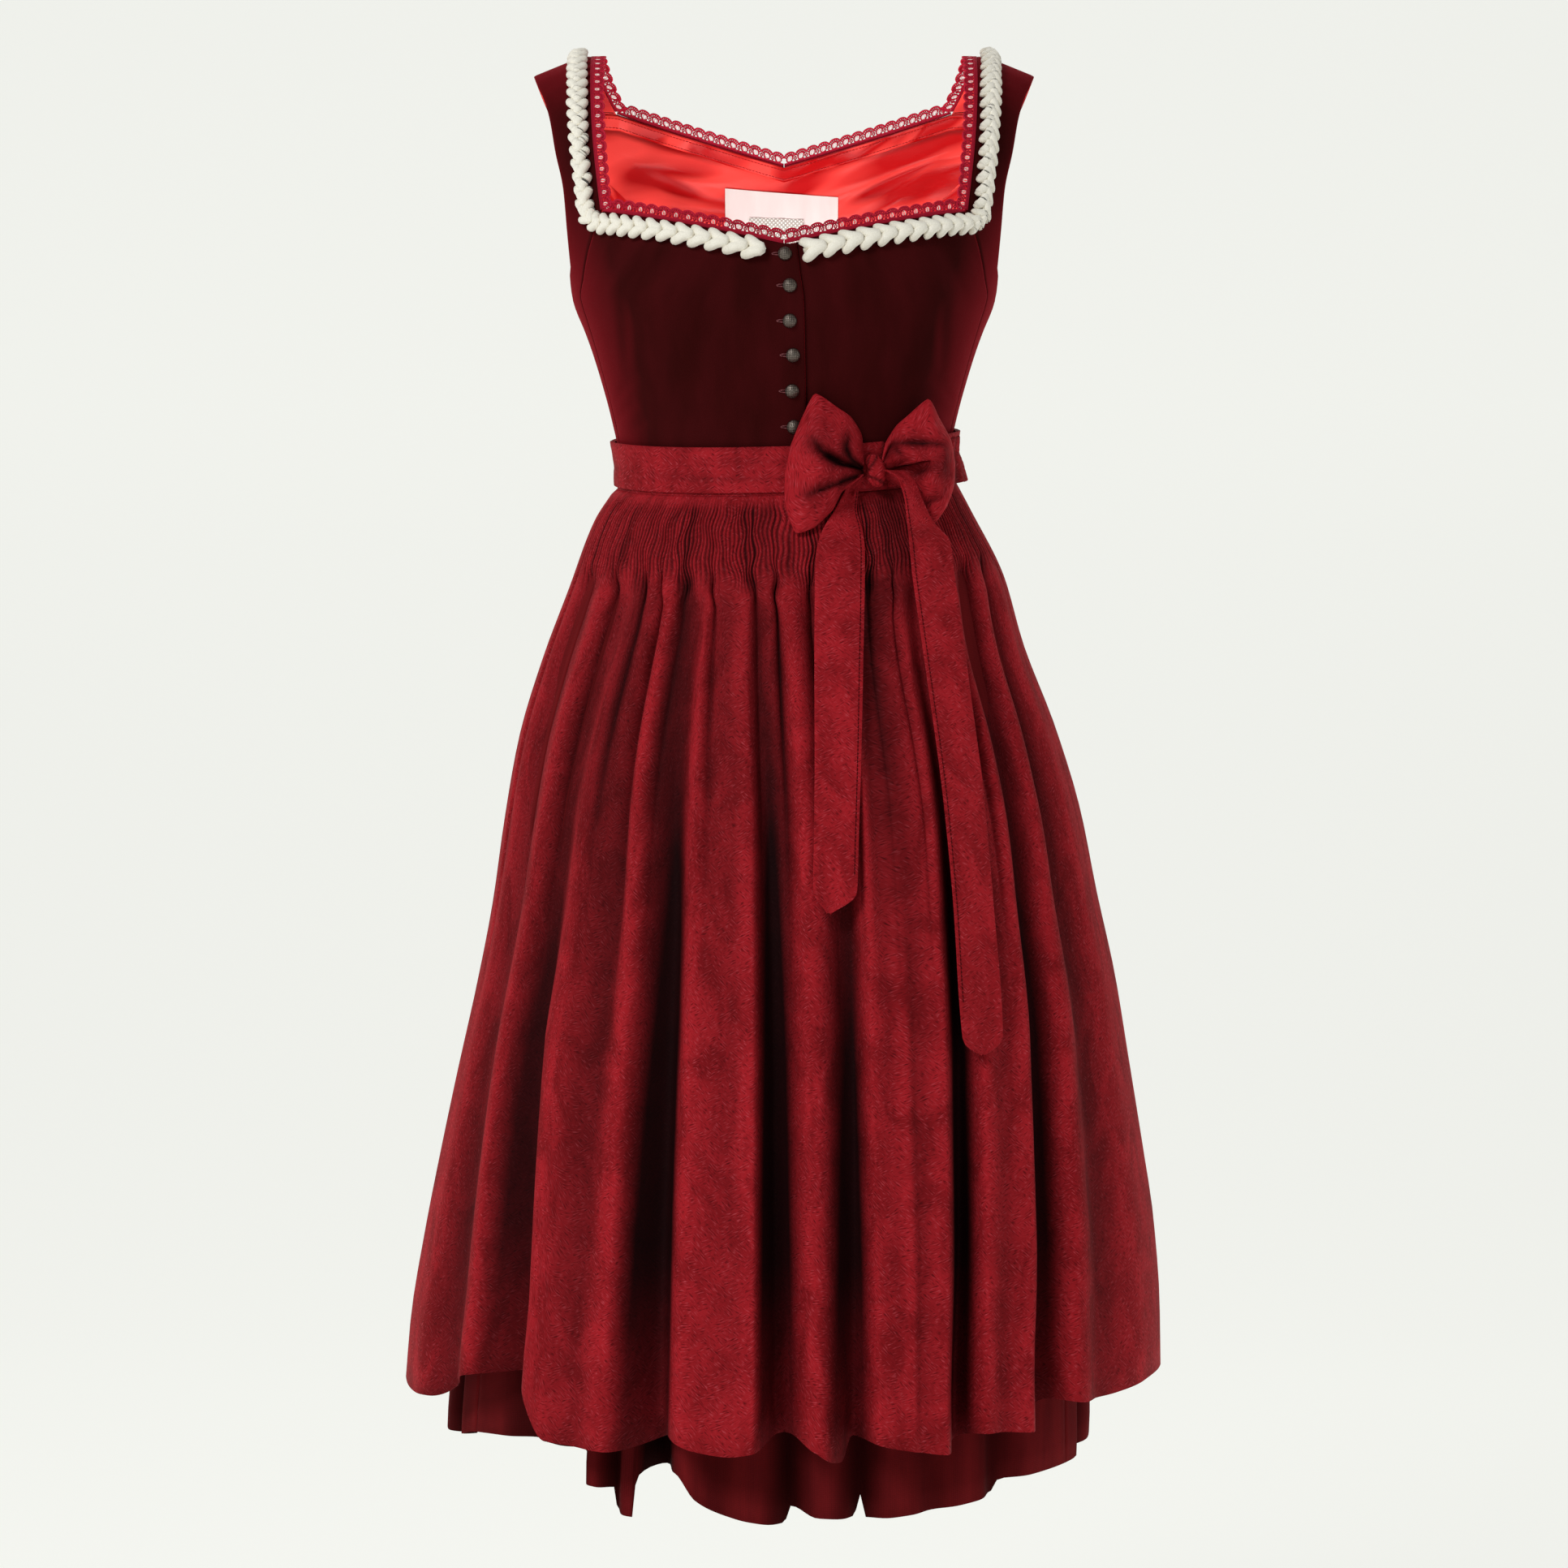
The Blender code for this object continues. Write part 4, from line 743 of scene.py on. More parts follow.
VELVET = Velvet()
JACQUARD = Jacquard()
SATIN = Satin()
SKIRT_CLOTH = PlainWeave(
    "plain_dress_cloth", Slot.SKIRT, "#571316", "#781b1e", "#140404", rough=0.88, gloss=0.02,
)
LABEL_SATIN = PlainWeave(
    "woven_label_satin", Slot.LABEL, "#dccdc9", "#eadeda", "#c9b3b0", 0.0006, 0.00003, 0.4,
)
LABEL_NET = PlainWeave(
    "stiff_net", Slot.NET, "#aca69d", "#fdfaf4", "#8a8278", 0.0022, 0.0002, 0.7, turn=45.0, slubs=0.15,
)
LACE_THREAD = Thread(
    "guipure_thread", Slot.LACE, "#5a0716", "#cb1f3c", 0.0005, 0.0, gloss=0.12, pale="#f4dcd8",
)
VELOUR = Thread("velour_chenille", Slot.BRAID, "#a8987c", "#fffbee", 0.0007, 0.22, 0.00022)
RED_THREAD = Thread("red_sewing_thread", Slot.SATIN, "#7a0c10", "#b81c20", 0.0003, 0.0, gloss=0.1)
WINE_THREAD = Thread("wine_sewing_thread", Slot.JACQUARD, "#230506", "#4c0c10", 0.0003, 0.0, gloss=0.03)
HOLE_THREAD = Thread("buttonhole_twist", Slot.VELVET, "#451418", "#94585c", 0.0003, 0.0, gloss=0.1)
OLD_SILVER = OldSilver()
BACKDROP = Backdrop()


# Meshes


def fans(rings: Array) -> Array:
    """Quads that close rings of an even number of corners, as a fan from the first corner of each.

    Args:
        rings: (rings, corners), the corners' numbers in order.

    Returns:
        Rows of four numbers.
    """
    fan = np.array([[0, k, k + 1, k + 2] for k in range(1, rings.shape[1] - 2, 2)])
    return rings[:, fan].reshape(-1, 4)


class Cloth:
    """Collects grids of points into one mesh, with cloth coordinates in metres and a tone."""

    def __init__(self) -> None:
        """Start with nothing."""
        self.points: list[Array] = []
        self.faces: list[Array] = []
        self.coords: list[Array] = []
        self.tones: list[Array] = []
        self.count = 0

    def add(self, points: Array, faces: Array, coords: Array, tone: Any = 1.0) -> None:
        """Add points with faces that number them from zero."""
        flat = points.reshape(-1, 3)
        self.points.append(flat)
        self.faces.append(np.asarray(faces, int) + self.count)
        self.coords.append(np.broadcast_to(coords, (*points.shape[:-1], 2)).reshape(-1, 2))
        self.tones.append(np.broadcast_to(tone, points.shape[:-1]).reshape(-1))
        self.count += len(flat)

    def add_grid(
        self, grid: Array, tone: Any = 1.0, around: bool = False, turned: bool = False,
        coords: Array | None = None,
    ) -> None:
        """Add a grid of quads.

        Args:
            grid: rows and columns of points, rows down and columns with rising angle.
            tone: a number for each point, for finishes that use it.
            around: whether the last column joins the first, and the end rows are closed.
            turned: whether the faces point the other way.
            coords: cloth coordinates, or None for distances along the middle row and down.
        """
        rows, columns = grid.shape[:2]
        number = np.arange(rows * columns).reshape(rows, columns)
        ends = number[[0, -1]]
        if around:
            number = np.concatenate([number, number[:, :1]], axis=1)
        quads = np.stack([number[:-1, :-1], number[1:, :-1], number[1:, 1:], number[:-1, 1:]], axis=-1)
        quads = quads.reshape(-1, 4)
        if around:
            quads = np.concatenate([quads, fans(ends[:1]), fans(ends[1:])[:, ::-1]])
        if coords is None:
            across = lengths_along(grid[rows // 2])
            down = lengths_along(grid, 0).mean(axis=1)
            coords = np.stack(np.broadcast_arrays(across[None, :], -down[:, None]), axis=-1)
        self.add(grid, quads[:, ::-1] if turned else quads, coords, tone)

    def add_tubes(self, paths: Array, radius: Any, sides: int, closed: bool, tone: Any = 1.0) -> None:
        """Add round tubes along many paths of one length.

        Each ring lies across its path, on two directions made from the path and a fixed one. The
        ends of an open path are closed with a fan of quads.

        Args:
            paths: (paths, points, 3).
            radius: one number, or one for each point.
            sides: corners of a ring, an even number.
            closed: whether each path joins its own end.
            tone: a number for each point.
        """
        if closed:
            along = np.roll(paths, -1, axis=1) - np.roll(paths, 1, axis=1)
        else:
            along = np.gradient(paths, axis=1)
        along = unit(along)
        guide = np.where(np.abs(along[..., 2:3]) < 0.8, [0.0, 0.0, 1.0], [1.0, 0.0, 0.0])
        first = unit(np.cross(along, guide))
        second = np.cross(along, first)
        turn = circle(sides)[0]
        size = np.broadcast_to(radius, paths.shape[:-1])[..., None, None]
        ring = first[..., None, :] * np.cos(turn)[:, None] + second[..., None, :] * np.sin(turn)[:, None]
        points = paths[..., None, :] + ring * size
        number = np.arange(points.size // 3).reshape(points.shape[:-1])
        ahead = np.roll(number, -1, axis=1) if closed else number[:, 1:]
        here = number if closed else number[:, :-1]
        beside = np.roll(here, -1, axis=2)
        quads = np.stack([here, beside, np.roll(ahead, -1, axis=2), ahead], axis=-1).reshape(-1, 4)
        shade = np.broadcast_to(np.asarray(tone, float), paths.shape[:-1])[..., None]
        if not closed:
            quads = np.concatenate([quads, fans(number[:, -1]), fans(number[:, 0])[:, ::-1]])
        self.add(points, quads, np.zeros(2), np.broadcast_to(shade, points.shape[:-1]))

    def plain(self, name: str, finish: Finish) -> Thing:
        """Make the object with its cloth coordinates, its tone and its finish."""
        points = np.concatenate(self.points)
        faces = np.concatenate(self.faces)
        mesh = bpy.data.meshes.new(name)
        mesh.from_pydata(points.tolist(), [], faces.tolist())
        mesh.polygons.foreach_set("use_smooth", np.ones(len(faces), bool))
        corner = np.empty(len(mesh.loops), np.int32)
        mesh.loops.foreach_get("vertex_index", corner)
        coords = np.concatenate(self.coords)[corner]
        mesh.uv_layers.new(name="cloth").data.foreach_set("uv", coords.ravel().astype(np.float32))
        tone = mesh.attributes.new("tone", "FLOAT", "POINT")
        tone.data.foreach_set("value", np.concatenate(self.tones).astype(np.float32))
        mesh.materials.append(finish.material())
        mesh.update()
        thing = bpy.data.objects.new(name, mesh)
        bpy.context.collection.objects.link(thing)
        LOG.info("%s: %d faces", name, len(faces))
        return thing

    def make(
        self, name: str, finish: Finish, wall: float = 0.0, nodes: Sequence[str] = (),
    ) -> Thing:
        """Make a piece of the object.

        Args:
            name: the piece's name.
            finish: its finish.
            wall: the cloth's thickness, set inwards, or 0 for a closed shape.
            nodes: the solids that it stands for.

        Returns:
            The piece, riding on the one body.
        """
        piece = self.plain(name, finish)
        if wall:
            shell = piece.modifiers.new("wall", "SOLIDIFY")
            shell.thickness = wall
            shell.offset = -1.0
        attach(piece, BODY)
        if nodes:
            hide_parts(*nodes)
        return piece


def cut_of(grid: Array) -> tuple[tuple[float, float], float]:
    """The flat cut of one grid of cloth: its widest row, its longest column and its area."""
    across = lengths_along(grid, 1)[:, -1]
    down = lengths_along(grid, 0)[-1]
    sides = np.cross(np.diff(grid, axis=1)[:-1], np.diff(grid, axis=0)[:, :-1])
    area = float(np.linalg.norm(sides, axis=-1).sum())
    width = float(across.max())
    length = float(down.max())
    return (width, length), min(area, width * length)


def sew_sheet(
    name: str, grid: Array, finish: Finish, wall: float, nodes: Sequence[str],
    more: Iterable[tuple[Array, bool]] = (), tone: Any = 1.0,
) -> Thing:
    """Make one sheet of cloth from its grid, and measure its cut.

    Args:
        name: the piece's name.
        grid: its outer side.
        finish: its finish.
        wall: its thickness.
        nodes: the solids that it stands for.
        more: further grids of the same cloth, each with whether it is turned.
        tone: painted shade, 1 on the ridges, less in the hollows.

    Returns:
        The object.
    """
    cloth = Cloth()
    cloth.add_grid(grid, tone=tone)
    flat, area = cut_of(grid)
    for extra, turned in more:
        cloth.add_grid(extra, turned=turned)
        (width, length), part = cut_of(extra)
        flat = (max(flat[0], width), flat[1] + length)
        area = min(area + part, flat[0] * flat[1])
    piece = cloth.make(name, finish, wall, nodes)
    return piece


def stitches(
    name: str, path: Array, out: Array, finish: Finish, pitch: float = 0.0026, long: float = 0.0019,
    radius: float = 0.00022, nodes: Sequence[str] = (),
) -> Thing:
    """A row of stitches: short bent tubes along a path, sunk at their ends.

    Args:
        name: the piece's name.
        path: the seam's points.
        out: the outward direction at each point.
        finish: the thread.
        pitch: the distance between stitches.
        long: a stitch's length.
        radius: the thread's radius.
        nodes: the solids that it stands for.

    Returns:
        The object.
    """
    travelled = lengths_along(path)
    starts = np.arange(0, travelled[-1] - long, pitch)
    t = np.linspace(0, 1, 5)
    at = starts[:, None] + long * t
    away = unit(along_path(at, travelled, out))
    sunk = 0.6
    lift = radius * ((1 + sunk) * np.sin(math.pi * t) - sunk)
    cloth = Cloth()
    cloth.add_tubes(along_path(at, travelled, path) + away * lift[:, None], radius, 4, False)
    return cloth.make(name, finish, nodes=nodes)


# Bodice


class Side(Enum):
    """The wearer's sides, with the sign of x."""

    RIGHT = -1
    LEFT = 1

    @property
    def word(self) -> str:
        """The side's name in lower case."""
        return self.name.lower()


@dataclass
class Bodice:
    """Seven velvet panels, a satin lining inside the back, and a bare label on it."""

    velvet: float = 0.0016
    satin: float = 0.0010
    strap_satin: float = 0.0004
    # Between velvet and satin, how far each panel laps at a seam, and how far a top edge keeps back
    spacing: float = 0.0003
    lap: float = 0.00012
    hair: float = 0.0002
    bottom_drop: float = 0.0107
    neck_half: float = 0.130
    neck_corner: float = -0.131
    neck_middle: float = -0.1605
    back_corner: float = -0.032
    back_middle: float = -0.0675
    corner_share: float = 0.27
    armhole_top: float = -0.058
    armhole_turn: float = -0.165
    armhole_end: float = -0.186
    side_seam: float = 92.3
    # The angles at which seams and the middles of panels meet the waist
    front_seam_low: float = 77.0
    strap_low: float = 85.0
    side_back_low: float = 124.0
    back_seam_low: float = 156.0
    placket_low: float = 3.0
    # The depth below which a panel's rows start to follow the waistline's slant
    ease_from: float = 0.20
    # The left front runs in under the right one: how far, how deep, and where it steps in
    underlap: float = 0.011
    step_in: float = 0.0011
    step_gap: float = 0.002
    step_over: float = 0.006
    # The strap behind the shoulder ridge, down to the back seam
    strap_back: float = 0.0318
    strap_facing: float = -0.175
    facing: float = 0.0105
    rows: int = 72
    # Height against distance from the middle
    strap_inner: Array = measures([
        [0, 0.142], [-0.05, 0.139], [-0.08, 0.1365], [-0.11, 0.133], [-0.131, 0.13],
    ])
    strap_outer: Array = measures([
        [0, 0.186], [-0.012, 0.182], [-0.028, 0.1765], [-0.05, 0.171], [-0.08, 0.166], [-0.11, 0.16],
        [-0.14, 0.1575], [-0.165, 0.1555],
    ])
    back_inner: Array = measures([
        [0, 0.142], [-0.012, 0.138], [-0.024, 0.132], [-0.032, 0.1275],
    ])
    placket: Array = measures([
        [-0.158, 0.0085], [-0.18, 0.011], [-0.205, 0.014], [-0.345, 0.0165],
    ])
    # Height against angle
    front_seam: Array = measures([
        [-0.131, 46], [-0.147, 52.2], [-0.174, 64], [-0.188, 71], [-0.22, 75], [-0.26, 76.5],
        [-0.286, 77], [-0.35, 77],
    ])
    armhole_low: Array = measures([
        [-0.165, 75], [-0.178, 84], [-0.1865, 92.3], [-0.35, 92.3],
    ])
    back_seam: Array = measures([
        [-0.058, 122], [-0.068, 129], [-0.085, 138], [-0.101, 144], [-0.13, 150], [-0.18, 154],
        [-0.25, 156], [-0.35, 156],
    ])
    # Soft creases: angle as an arc and height at both ends, width, depth, in millimetres
    front_creases: Array = measures([
        [38, -190, 52, -262, 5, 0.7], [62, -205, 86, -258, 6, 0.9], [20, -262, 30, -305, 4, 0.5],
        [96, -196, 118, -240, 6, 0.8], [74, -150, 96, -172, 6, 0.8], [110, -250, 150, -262, 4.5, 0.6],
        [120, -268, 165, -276, 4, 0.6], [84, -272, 128, -284, 4, 0.5],
    ])
    back_creases: Array = measures([
        [330, -96, 352, -150, 8, 0.7], [372, -110, 392, -180, 8, 0.7], [280, -262, 340, -270, 5, 0.9],
        [352, -246, 420, -254, 5, 0.9], [300, -232, 350, -238, 5, 0.6], [410, -268, 470, -262, 5, 0.8],
        [262, -150, 290, -220, 7, 0.7], [440, -160, 470, -225, 7, 0.7],
    ])
    # Soft pulls in the satin: the same columns
    satin_creases: Array = measures([
        [290, -70, 325, -128, 11, 1.6], [312, -62, 345, -118, 7, 1.1], [330, -84, 372, -96, 8, 1.2],
        [356, -84, 362, -150, 12, 1.4], [382, -90, 366, -140, 8, 1], [404, -86, 440, -108, 8, 1.2],
        [432, -70, 452, -132, 10, 1.5], [450, -64, 486, -104, 7, 1.1], [300, -110, 340, -136, 9, 1.2],
        [420, -128, 470, -140, 9, 1.1], [344, -112, 356, -132, 7, 0.9], [396, -118, 420, -150, 8, 0.9],
    ])
    crease_arc: float = 0.125

    def bottom(self, angle: Any) -> Array:
        """The height of the bodice's lower edge."""
        return FIGURE.waist(angle) - self.bottom_drop

    def gap(self, height: Any) -> Array:
        """Half a seam's gap as an angle, negative, so that panels lap and let no light through."""
        return -np.degrees(self.lap / monotone(FIGURE.sections, height, 1))

    def creased(self, angle: Array, height: Array, creases: Array) -> Array:
        """The depth of soft creases, whose places are arcs of one radius."""
        return troughs(np.radians(np.abs(angle)) * self.crease_arc, height, creases)

    def neck(self, x: Any) -> Array:
        """The height of the front neckline at a distance from the middle."""
        return mix(self.neck_middle, self.neck_corner, np.maximum(x, 0) / self.neck_half)

    def surface(self, angle: Array, height: Array, creases: Array | None, inward: Any = 0.0) -> Array:
        """The torso at these angles and heights, with soft creases, moved inwards."""
        grid = FIGURE.torso(angle, height)
        depth = np.zeros(grid.shape[:2]) + inward
        if creases is not None:
            depth = depth + self.creased(angle, height, creases)
        return grid - FIGURE.outward(angle, height) * depth[..., None]

    def sew_velvet(self, node: str, grid: Array, sides: str) -> None:
        """One velvet panel, its named sides turned in."""
        grid = rolled(grid, *VELVET_TURN, sides)
        sew_sheet(f"velvet_{node}", grid, VELVET, self.velvet, [node])

    def build(self) -> None:
        """Build every panel, the lining and the label."""
        self.build_front(Side.RIGHT)
        self.build_front(Side.LEFT)
        for side in Side:
            self.build_strap(side)
            self.build_side_back(side)
        self.build_back()
        self.build_label()

    def build_front(self, side: Side) -> None:
        """A front panel from its side front seam to the placket, the left one in under the right."""
        sign = side.value
        under = self.underlap if side is Side.LEFT else 0.0
        v = edged(self.rows)[:, None]
        u = edged(46)[None, :]
        low = self.bottom(sign * self.front_seam_low)
        seam_height = mix(self.neck_corner - self.hair, low, v)
        seam = sign * (monotone(self.front_seam, seam_height, 1) - self.gap(seam_height))
        middle_height = mix(self.neck_middle, self.bottom(self.placket_low), v)
        edge = FIGURE.angle_at(monotone(self.placket, middle_height, 1) - under, middle_height)
        middle_x = float(monotone(self.placket, self.neck_middle, 1)) - under
        top_x = mix(self.neck_half - self.hair, sign * middle_x, u)
        top = self.neck(top_x)
        top_angle = FIGURE.angle_at(top_x, top)
        top_share = (top_angle - top_angle[:, :1]) / (top_angle[:, -1:] - top_angle[:, :1])
        angle = mix(seam, edge, mix(top_share, u, v))
        height = mix(top - self.hair, self.bottom(angle), v)
        inward = 0.0
        if side is Side.LEFT:
            x = FIGURE.torso(angle, height)[..., 0]
            past = x - monotone(self.placket, height, 1) - self.step_gap
            inward = (self.velvet + self.step_in) * np.clip(1 - past / self.step_over, 0, 1)
        grid = self.surface(angle, height, self.front_creases, inward)
        self.sew_velvet(f"front_{side.word}", grid[:, ::-sign], "lrt")

    def build_strap(self, side: Side) -> None:
        """A strap and its side front, from the back seam over the shoulder down to the waist.

        The height is minus the square of a path parameter, so that rows crowd at the ridge.
        """
        sign = side.value
        low = float(self.bottom(sign * self.strap_low))
        ridge = 0.012
        path = np.concatenate([
            np.linspace(-math.sqrt(self.strap_back), -ridge, 14), np.linspace(ridge, math.sqrt(-low), 96),
        ])[:, None]
        u = edged(20)[None, :]
        height = -(path**2)
        behind, ahead = (monotone(k, height, 1) for k in (self.back_inner, self.strap_inner))
        inner_x = np.where(path < 0, behind, ahead)
        inner = FIGURE.angle_at(inner_x, height)
        seam = monotone(self.front_seam, height, 1) + self.gap(height)
        inner = np.where(height < self.neck_corner, seam, inner)
        outer = FIGURE.angle_at(monotone(self.strap_outer, height, 1), height)
        sewn = height < self.armhole_end
        low_edge = monotone(self.armhole_low, height, 1) - np.where(sewn, self.gap(height), 0)
        outer = np.where((height < self.armhole_turn) & (path > 0), low_edge, outer)
        angle = mix(inner, outer, u)
        angle = sign * np.where(path < 0, 180 - angle, angle)
        ease = ramp(-height, self.ease_from, -low)
        height = mix(height + 0 * u, height - low + self.bottom(angle), ease)
        grid = FIGURE.torso(angle, height)[:, ::sign]
        depth = self.creased(angle, height, self.front_creases)[:, ::sign]
        grid = grid - grid_normals(grid) * depth[..., None]
        facing = grid - grid_normals(grid) * (self.velvet + self.spacing)
        facing = facing[height[:, 0] > self.strap_facing]
        # One more row, a short step over the back seam
        facing = np.concatenate([facing[:1] + 0.30 * (facing[:1] - facing[1:2]), facing])
        self.sew_velvet(f"strap_{side.word}", grid, "lrt")
        sew_sheet(f"satin_strap_{side.word}", facing, SATIN, self.strap_satin, [])

    def side_back(self, side: Side, rows: int) -> tuple[Array, Array]:
        """Angles and heights between the back armhole, the curved back seam and the side seam."""
        sign = side.value
        u = edged(22)[None, :]
        v = edged(rows)[:, None]
        low = self.bottom(sign * self.side_back_low)
        height = mix(self.armhole_top - 2 * self.hair, low, v)
        arm = 180 - FIGURE.angle_at(monotone(self.strap_outer, height, 1), height)
        turn = 180 - monotone(self.armhole_low, height, 1)
        edge = np.where(height > self.armhole_turn, arm, turn)
        outer = np.maximum(edge, self.side_seam + self.gap(height))
        seam = monotone(self.back_seam, height, 1) - self.gap(height)
        least = 0.2
        angle = sign * mix(np.minimum(outer, seam - least), seam, u)
        ease = ramp(-height, self.ease_from, -float(low))
        return angle, mix(height + 0 * u, height - low + self.bottom(angle), ease)

    def build_side_back(self, side: Side) -> None:
        """The velvet side back and the satin lining inside it."""
        angle, height = self.side_back(side, 60)
        outer = self.surface(angle, height, self.back_creases)
        inner = self.surface(angle, height, self.satin_creases, self.velvet + self.spacing)
        self.sew_velvet(f"side_back_{side.word}", outer[:, ::side.value], "lr")
        nodes = [f"lining_side_{side.word}"]
        sew_sheet(f"satin_side_{side.word}", inner[:, ::side.value], SATIN, self.satin, nodes)

    def back(self, rows: int, strap_columns: int, neck_columns: int) -> tuple[Array, Array]:
        """Angles and heights of the back between its curved seams, its top along straps and neck."""
        top = self.back_corner - 2 * self.hair
        outer_x = float(monotone(self.strap_outer, self.back_corner, 1))
        corner_x = float(monotone(self.back_inner, self.back_corner, 1))
        shares = edged(strap_columns + neck_columns)
        top_x = np.interp(shares, [0, self.corner_share, 1], [outer_x, corner_x, 0])
        top_height = mix(self.back_middle, top, np.minimum(top_x / corner_x, 1)) - self.hair
        top_angle = 180 - FIGURE.angle_at(top_x, top_height)
        top_share = (top_angle - top_angle[0]) / (180 - top_angle[0])
        v = edged(rows)[:, None]
        halves = []
        for sign in (1, -1):
            low = self.bottom(sign * self.back_seam_low)
            edge_height = mix(top, low, v)
            arm = 180 - FIGURE.angle_at(monotone(self.strap_outer, edge_height, 1), edge_height)
            seam = monotone(self.back_seam, edge_height, 1) + self.gap(edge_height)
            edge = np.where(edge_height >= self.armhole_top, arm, seam)
            angle = mix(edge, 180.0, mix(top_share, shares, np.minimum(1, 1.5 * v)))
            halves.append((angle, mix(top_height, self.bottom(sign * angle), v)))
        (left_angle, left_height), (right_angle, right_height) = halves
        angle = np.concatenate([left_angle, 360 - right_angle[:, ::-1][:, 1:]], axis=1)
        return angle, np.concatenate([left_height, right_height[:, ::-1][:, 1:]], axis=1)

    def build_back(self) -> None:
        """The velvet back, the satin lining with its facing, and the edge stitches."""
        angle, height = self.back(self.rows, 12, 34)
        self.sew_velvet("back", self.surface(angle, height, self.back_creases), "lrt")
        deep = self.velvet + self.spacing
        grid = self.surface(angle, height, self.satin_creases, deep)
        v = np.linspace(0, 1, 8)[:, None]
        strip_height = height[:1] - 2 * self.hair - self.facing * v
        # The facing's lower edge lies closer to the lining than the rest of it
        clear = 0.0006 * ramp(v, 1.0, 0.85) * np.ones_like(strip_height)
        facing = self.surface(angle[:1] + 0 * v, strip_height, None, deep + self.satin + clear)
        # Shade along the facing's edge, along the neck and in the soft creases
        below = height[:1] - self.facing - height
        edge = bell(below - 0.0012, 0.0011) + 0.5 * bell(height[:1] - height, 0.002)
        soft = self.creased(angle, height, self.satin_creases) / 0.0025
        tone = 1 - np.clip(0.75 * edge + 0.45 * soft, 0, 0.9)
        sew_sheet("satin_back", grid, SATIN, self.satin, ["lining_back"], [(facing, True)], tone)
        proud = deep + self.satin + 0.0009
        for name, drop in (("edge", 0.0022), ("facing", self.facing - 0.0016)):
            line = height[:1] - drop
            path = self.surface(angle[:1], line, None, proud)[0]
            stitches(f"{name}_stitches", path, -FIGURE.outward(angle[0], line[0]), RED_THREAD)

    def build_label(self) -> None:
        """A bare label and a small net patch on the back lining, each sewn down at its edges."""
        wall = 0.0005
        clear = 0.0015
        inward = self.velvet + self.spacing + self.satin + clear
        # Name, left and right end, top, tilt, depth, how far in front of the label, finish
        for name, left, right, top, tilt, deep, extra, finish in (
            ("label", -0.0454, 0.0417, -0.0830, -0.0065, 0.0450, 0.0, LABEL_SATIN),
            ("label_patch", -0.0268, 0.0149, -0.1045, -0.0015, 0.0290, 0.0011, LABEL_NET),
        ):
            u = edged(26)[None, :]
            v = edged(14)[:, None]
            x = mix(left, right, u)
            height = top + tilt * u - deep * v
            pucker = 0.00035 * np.sin(31 * u + 4 * v) * np.sin(math.pi * v)
            angle = 180 - FIGURE.angle_at(x, height)
            grid = self.surface(angle, height, None, inward + extra + pucker)[:, ::-1]
            sew_sheet(f"bare_{name}", grid, finish, wall, [name])
            # Once round, three rows in from the edge
            on, back = slice(3, -3), slice(-4, 2, -1)
            border = [(3, on), (on, -4), (-4, back), (back, 3)]
            path, out = (
                np.concatenate([source[spot] for spot in border]) for source in (grid, grid_normals(grid))
            )
            stitches(f"{name}_stitches", path, out, RED_THREAD, 0.0034, 0.0021, 0.00038)


# Skirt and apron


def even_folds(first: float, last: float, count: int, seed: int) -> Array:
    """Gathered folds at even places with a seeded unevenness, none at the seams.

    Args:
        first: the first seam's angle.
        last: the last seam's angle.
        count: how many folds lie between.
        seed: the seed of the unevenness.

    Returns:
        Rows of four angles, three depths in millimetres and a lean.
    """
    chance = np.random.default_rng(seed)
    width = (last - first) / count
    none = [0.0] * 4
    mean_depths = (1.6, 8.0, 15.0)
    rows = [[first] * 4 + none]
    for k in range(count):
        centre = first + width * (k + 0.5)
        wander = chance.uniform(-0.16, 0.16, 4) * width
        deep = chance.uniform(0.75, 1.1)
        rows.append([*(centre + wander), *(depth * deep for depth in mean_depths), 0.0])
    rows.append([last] * 4 + none)
    return np.array(rows)


def raised(rise: Array, angle: Array, drop: Array, hem: float) -> Array:
    """The drops of a folded wall whose hem is pulled up, eased in from RISE_FROM down.

    Args:
        rise: rows of angle and rise in millimetres.
        angle: rows by columns, in degrees.
        drop: one drop for each row.
        hem: the drop of the hem before it is pulled up.

    Returns:
        The drops, rows by columns.
    """
    turned = (angle + 180) % 360 - 180
    return drop[:, None] - monotone(rise, turned, 1) * MM * ramp(drop, RISE_FROM, hem)[:, None]


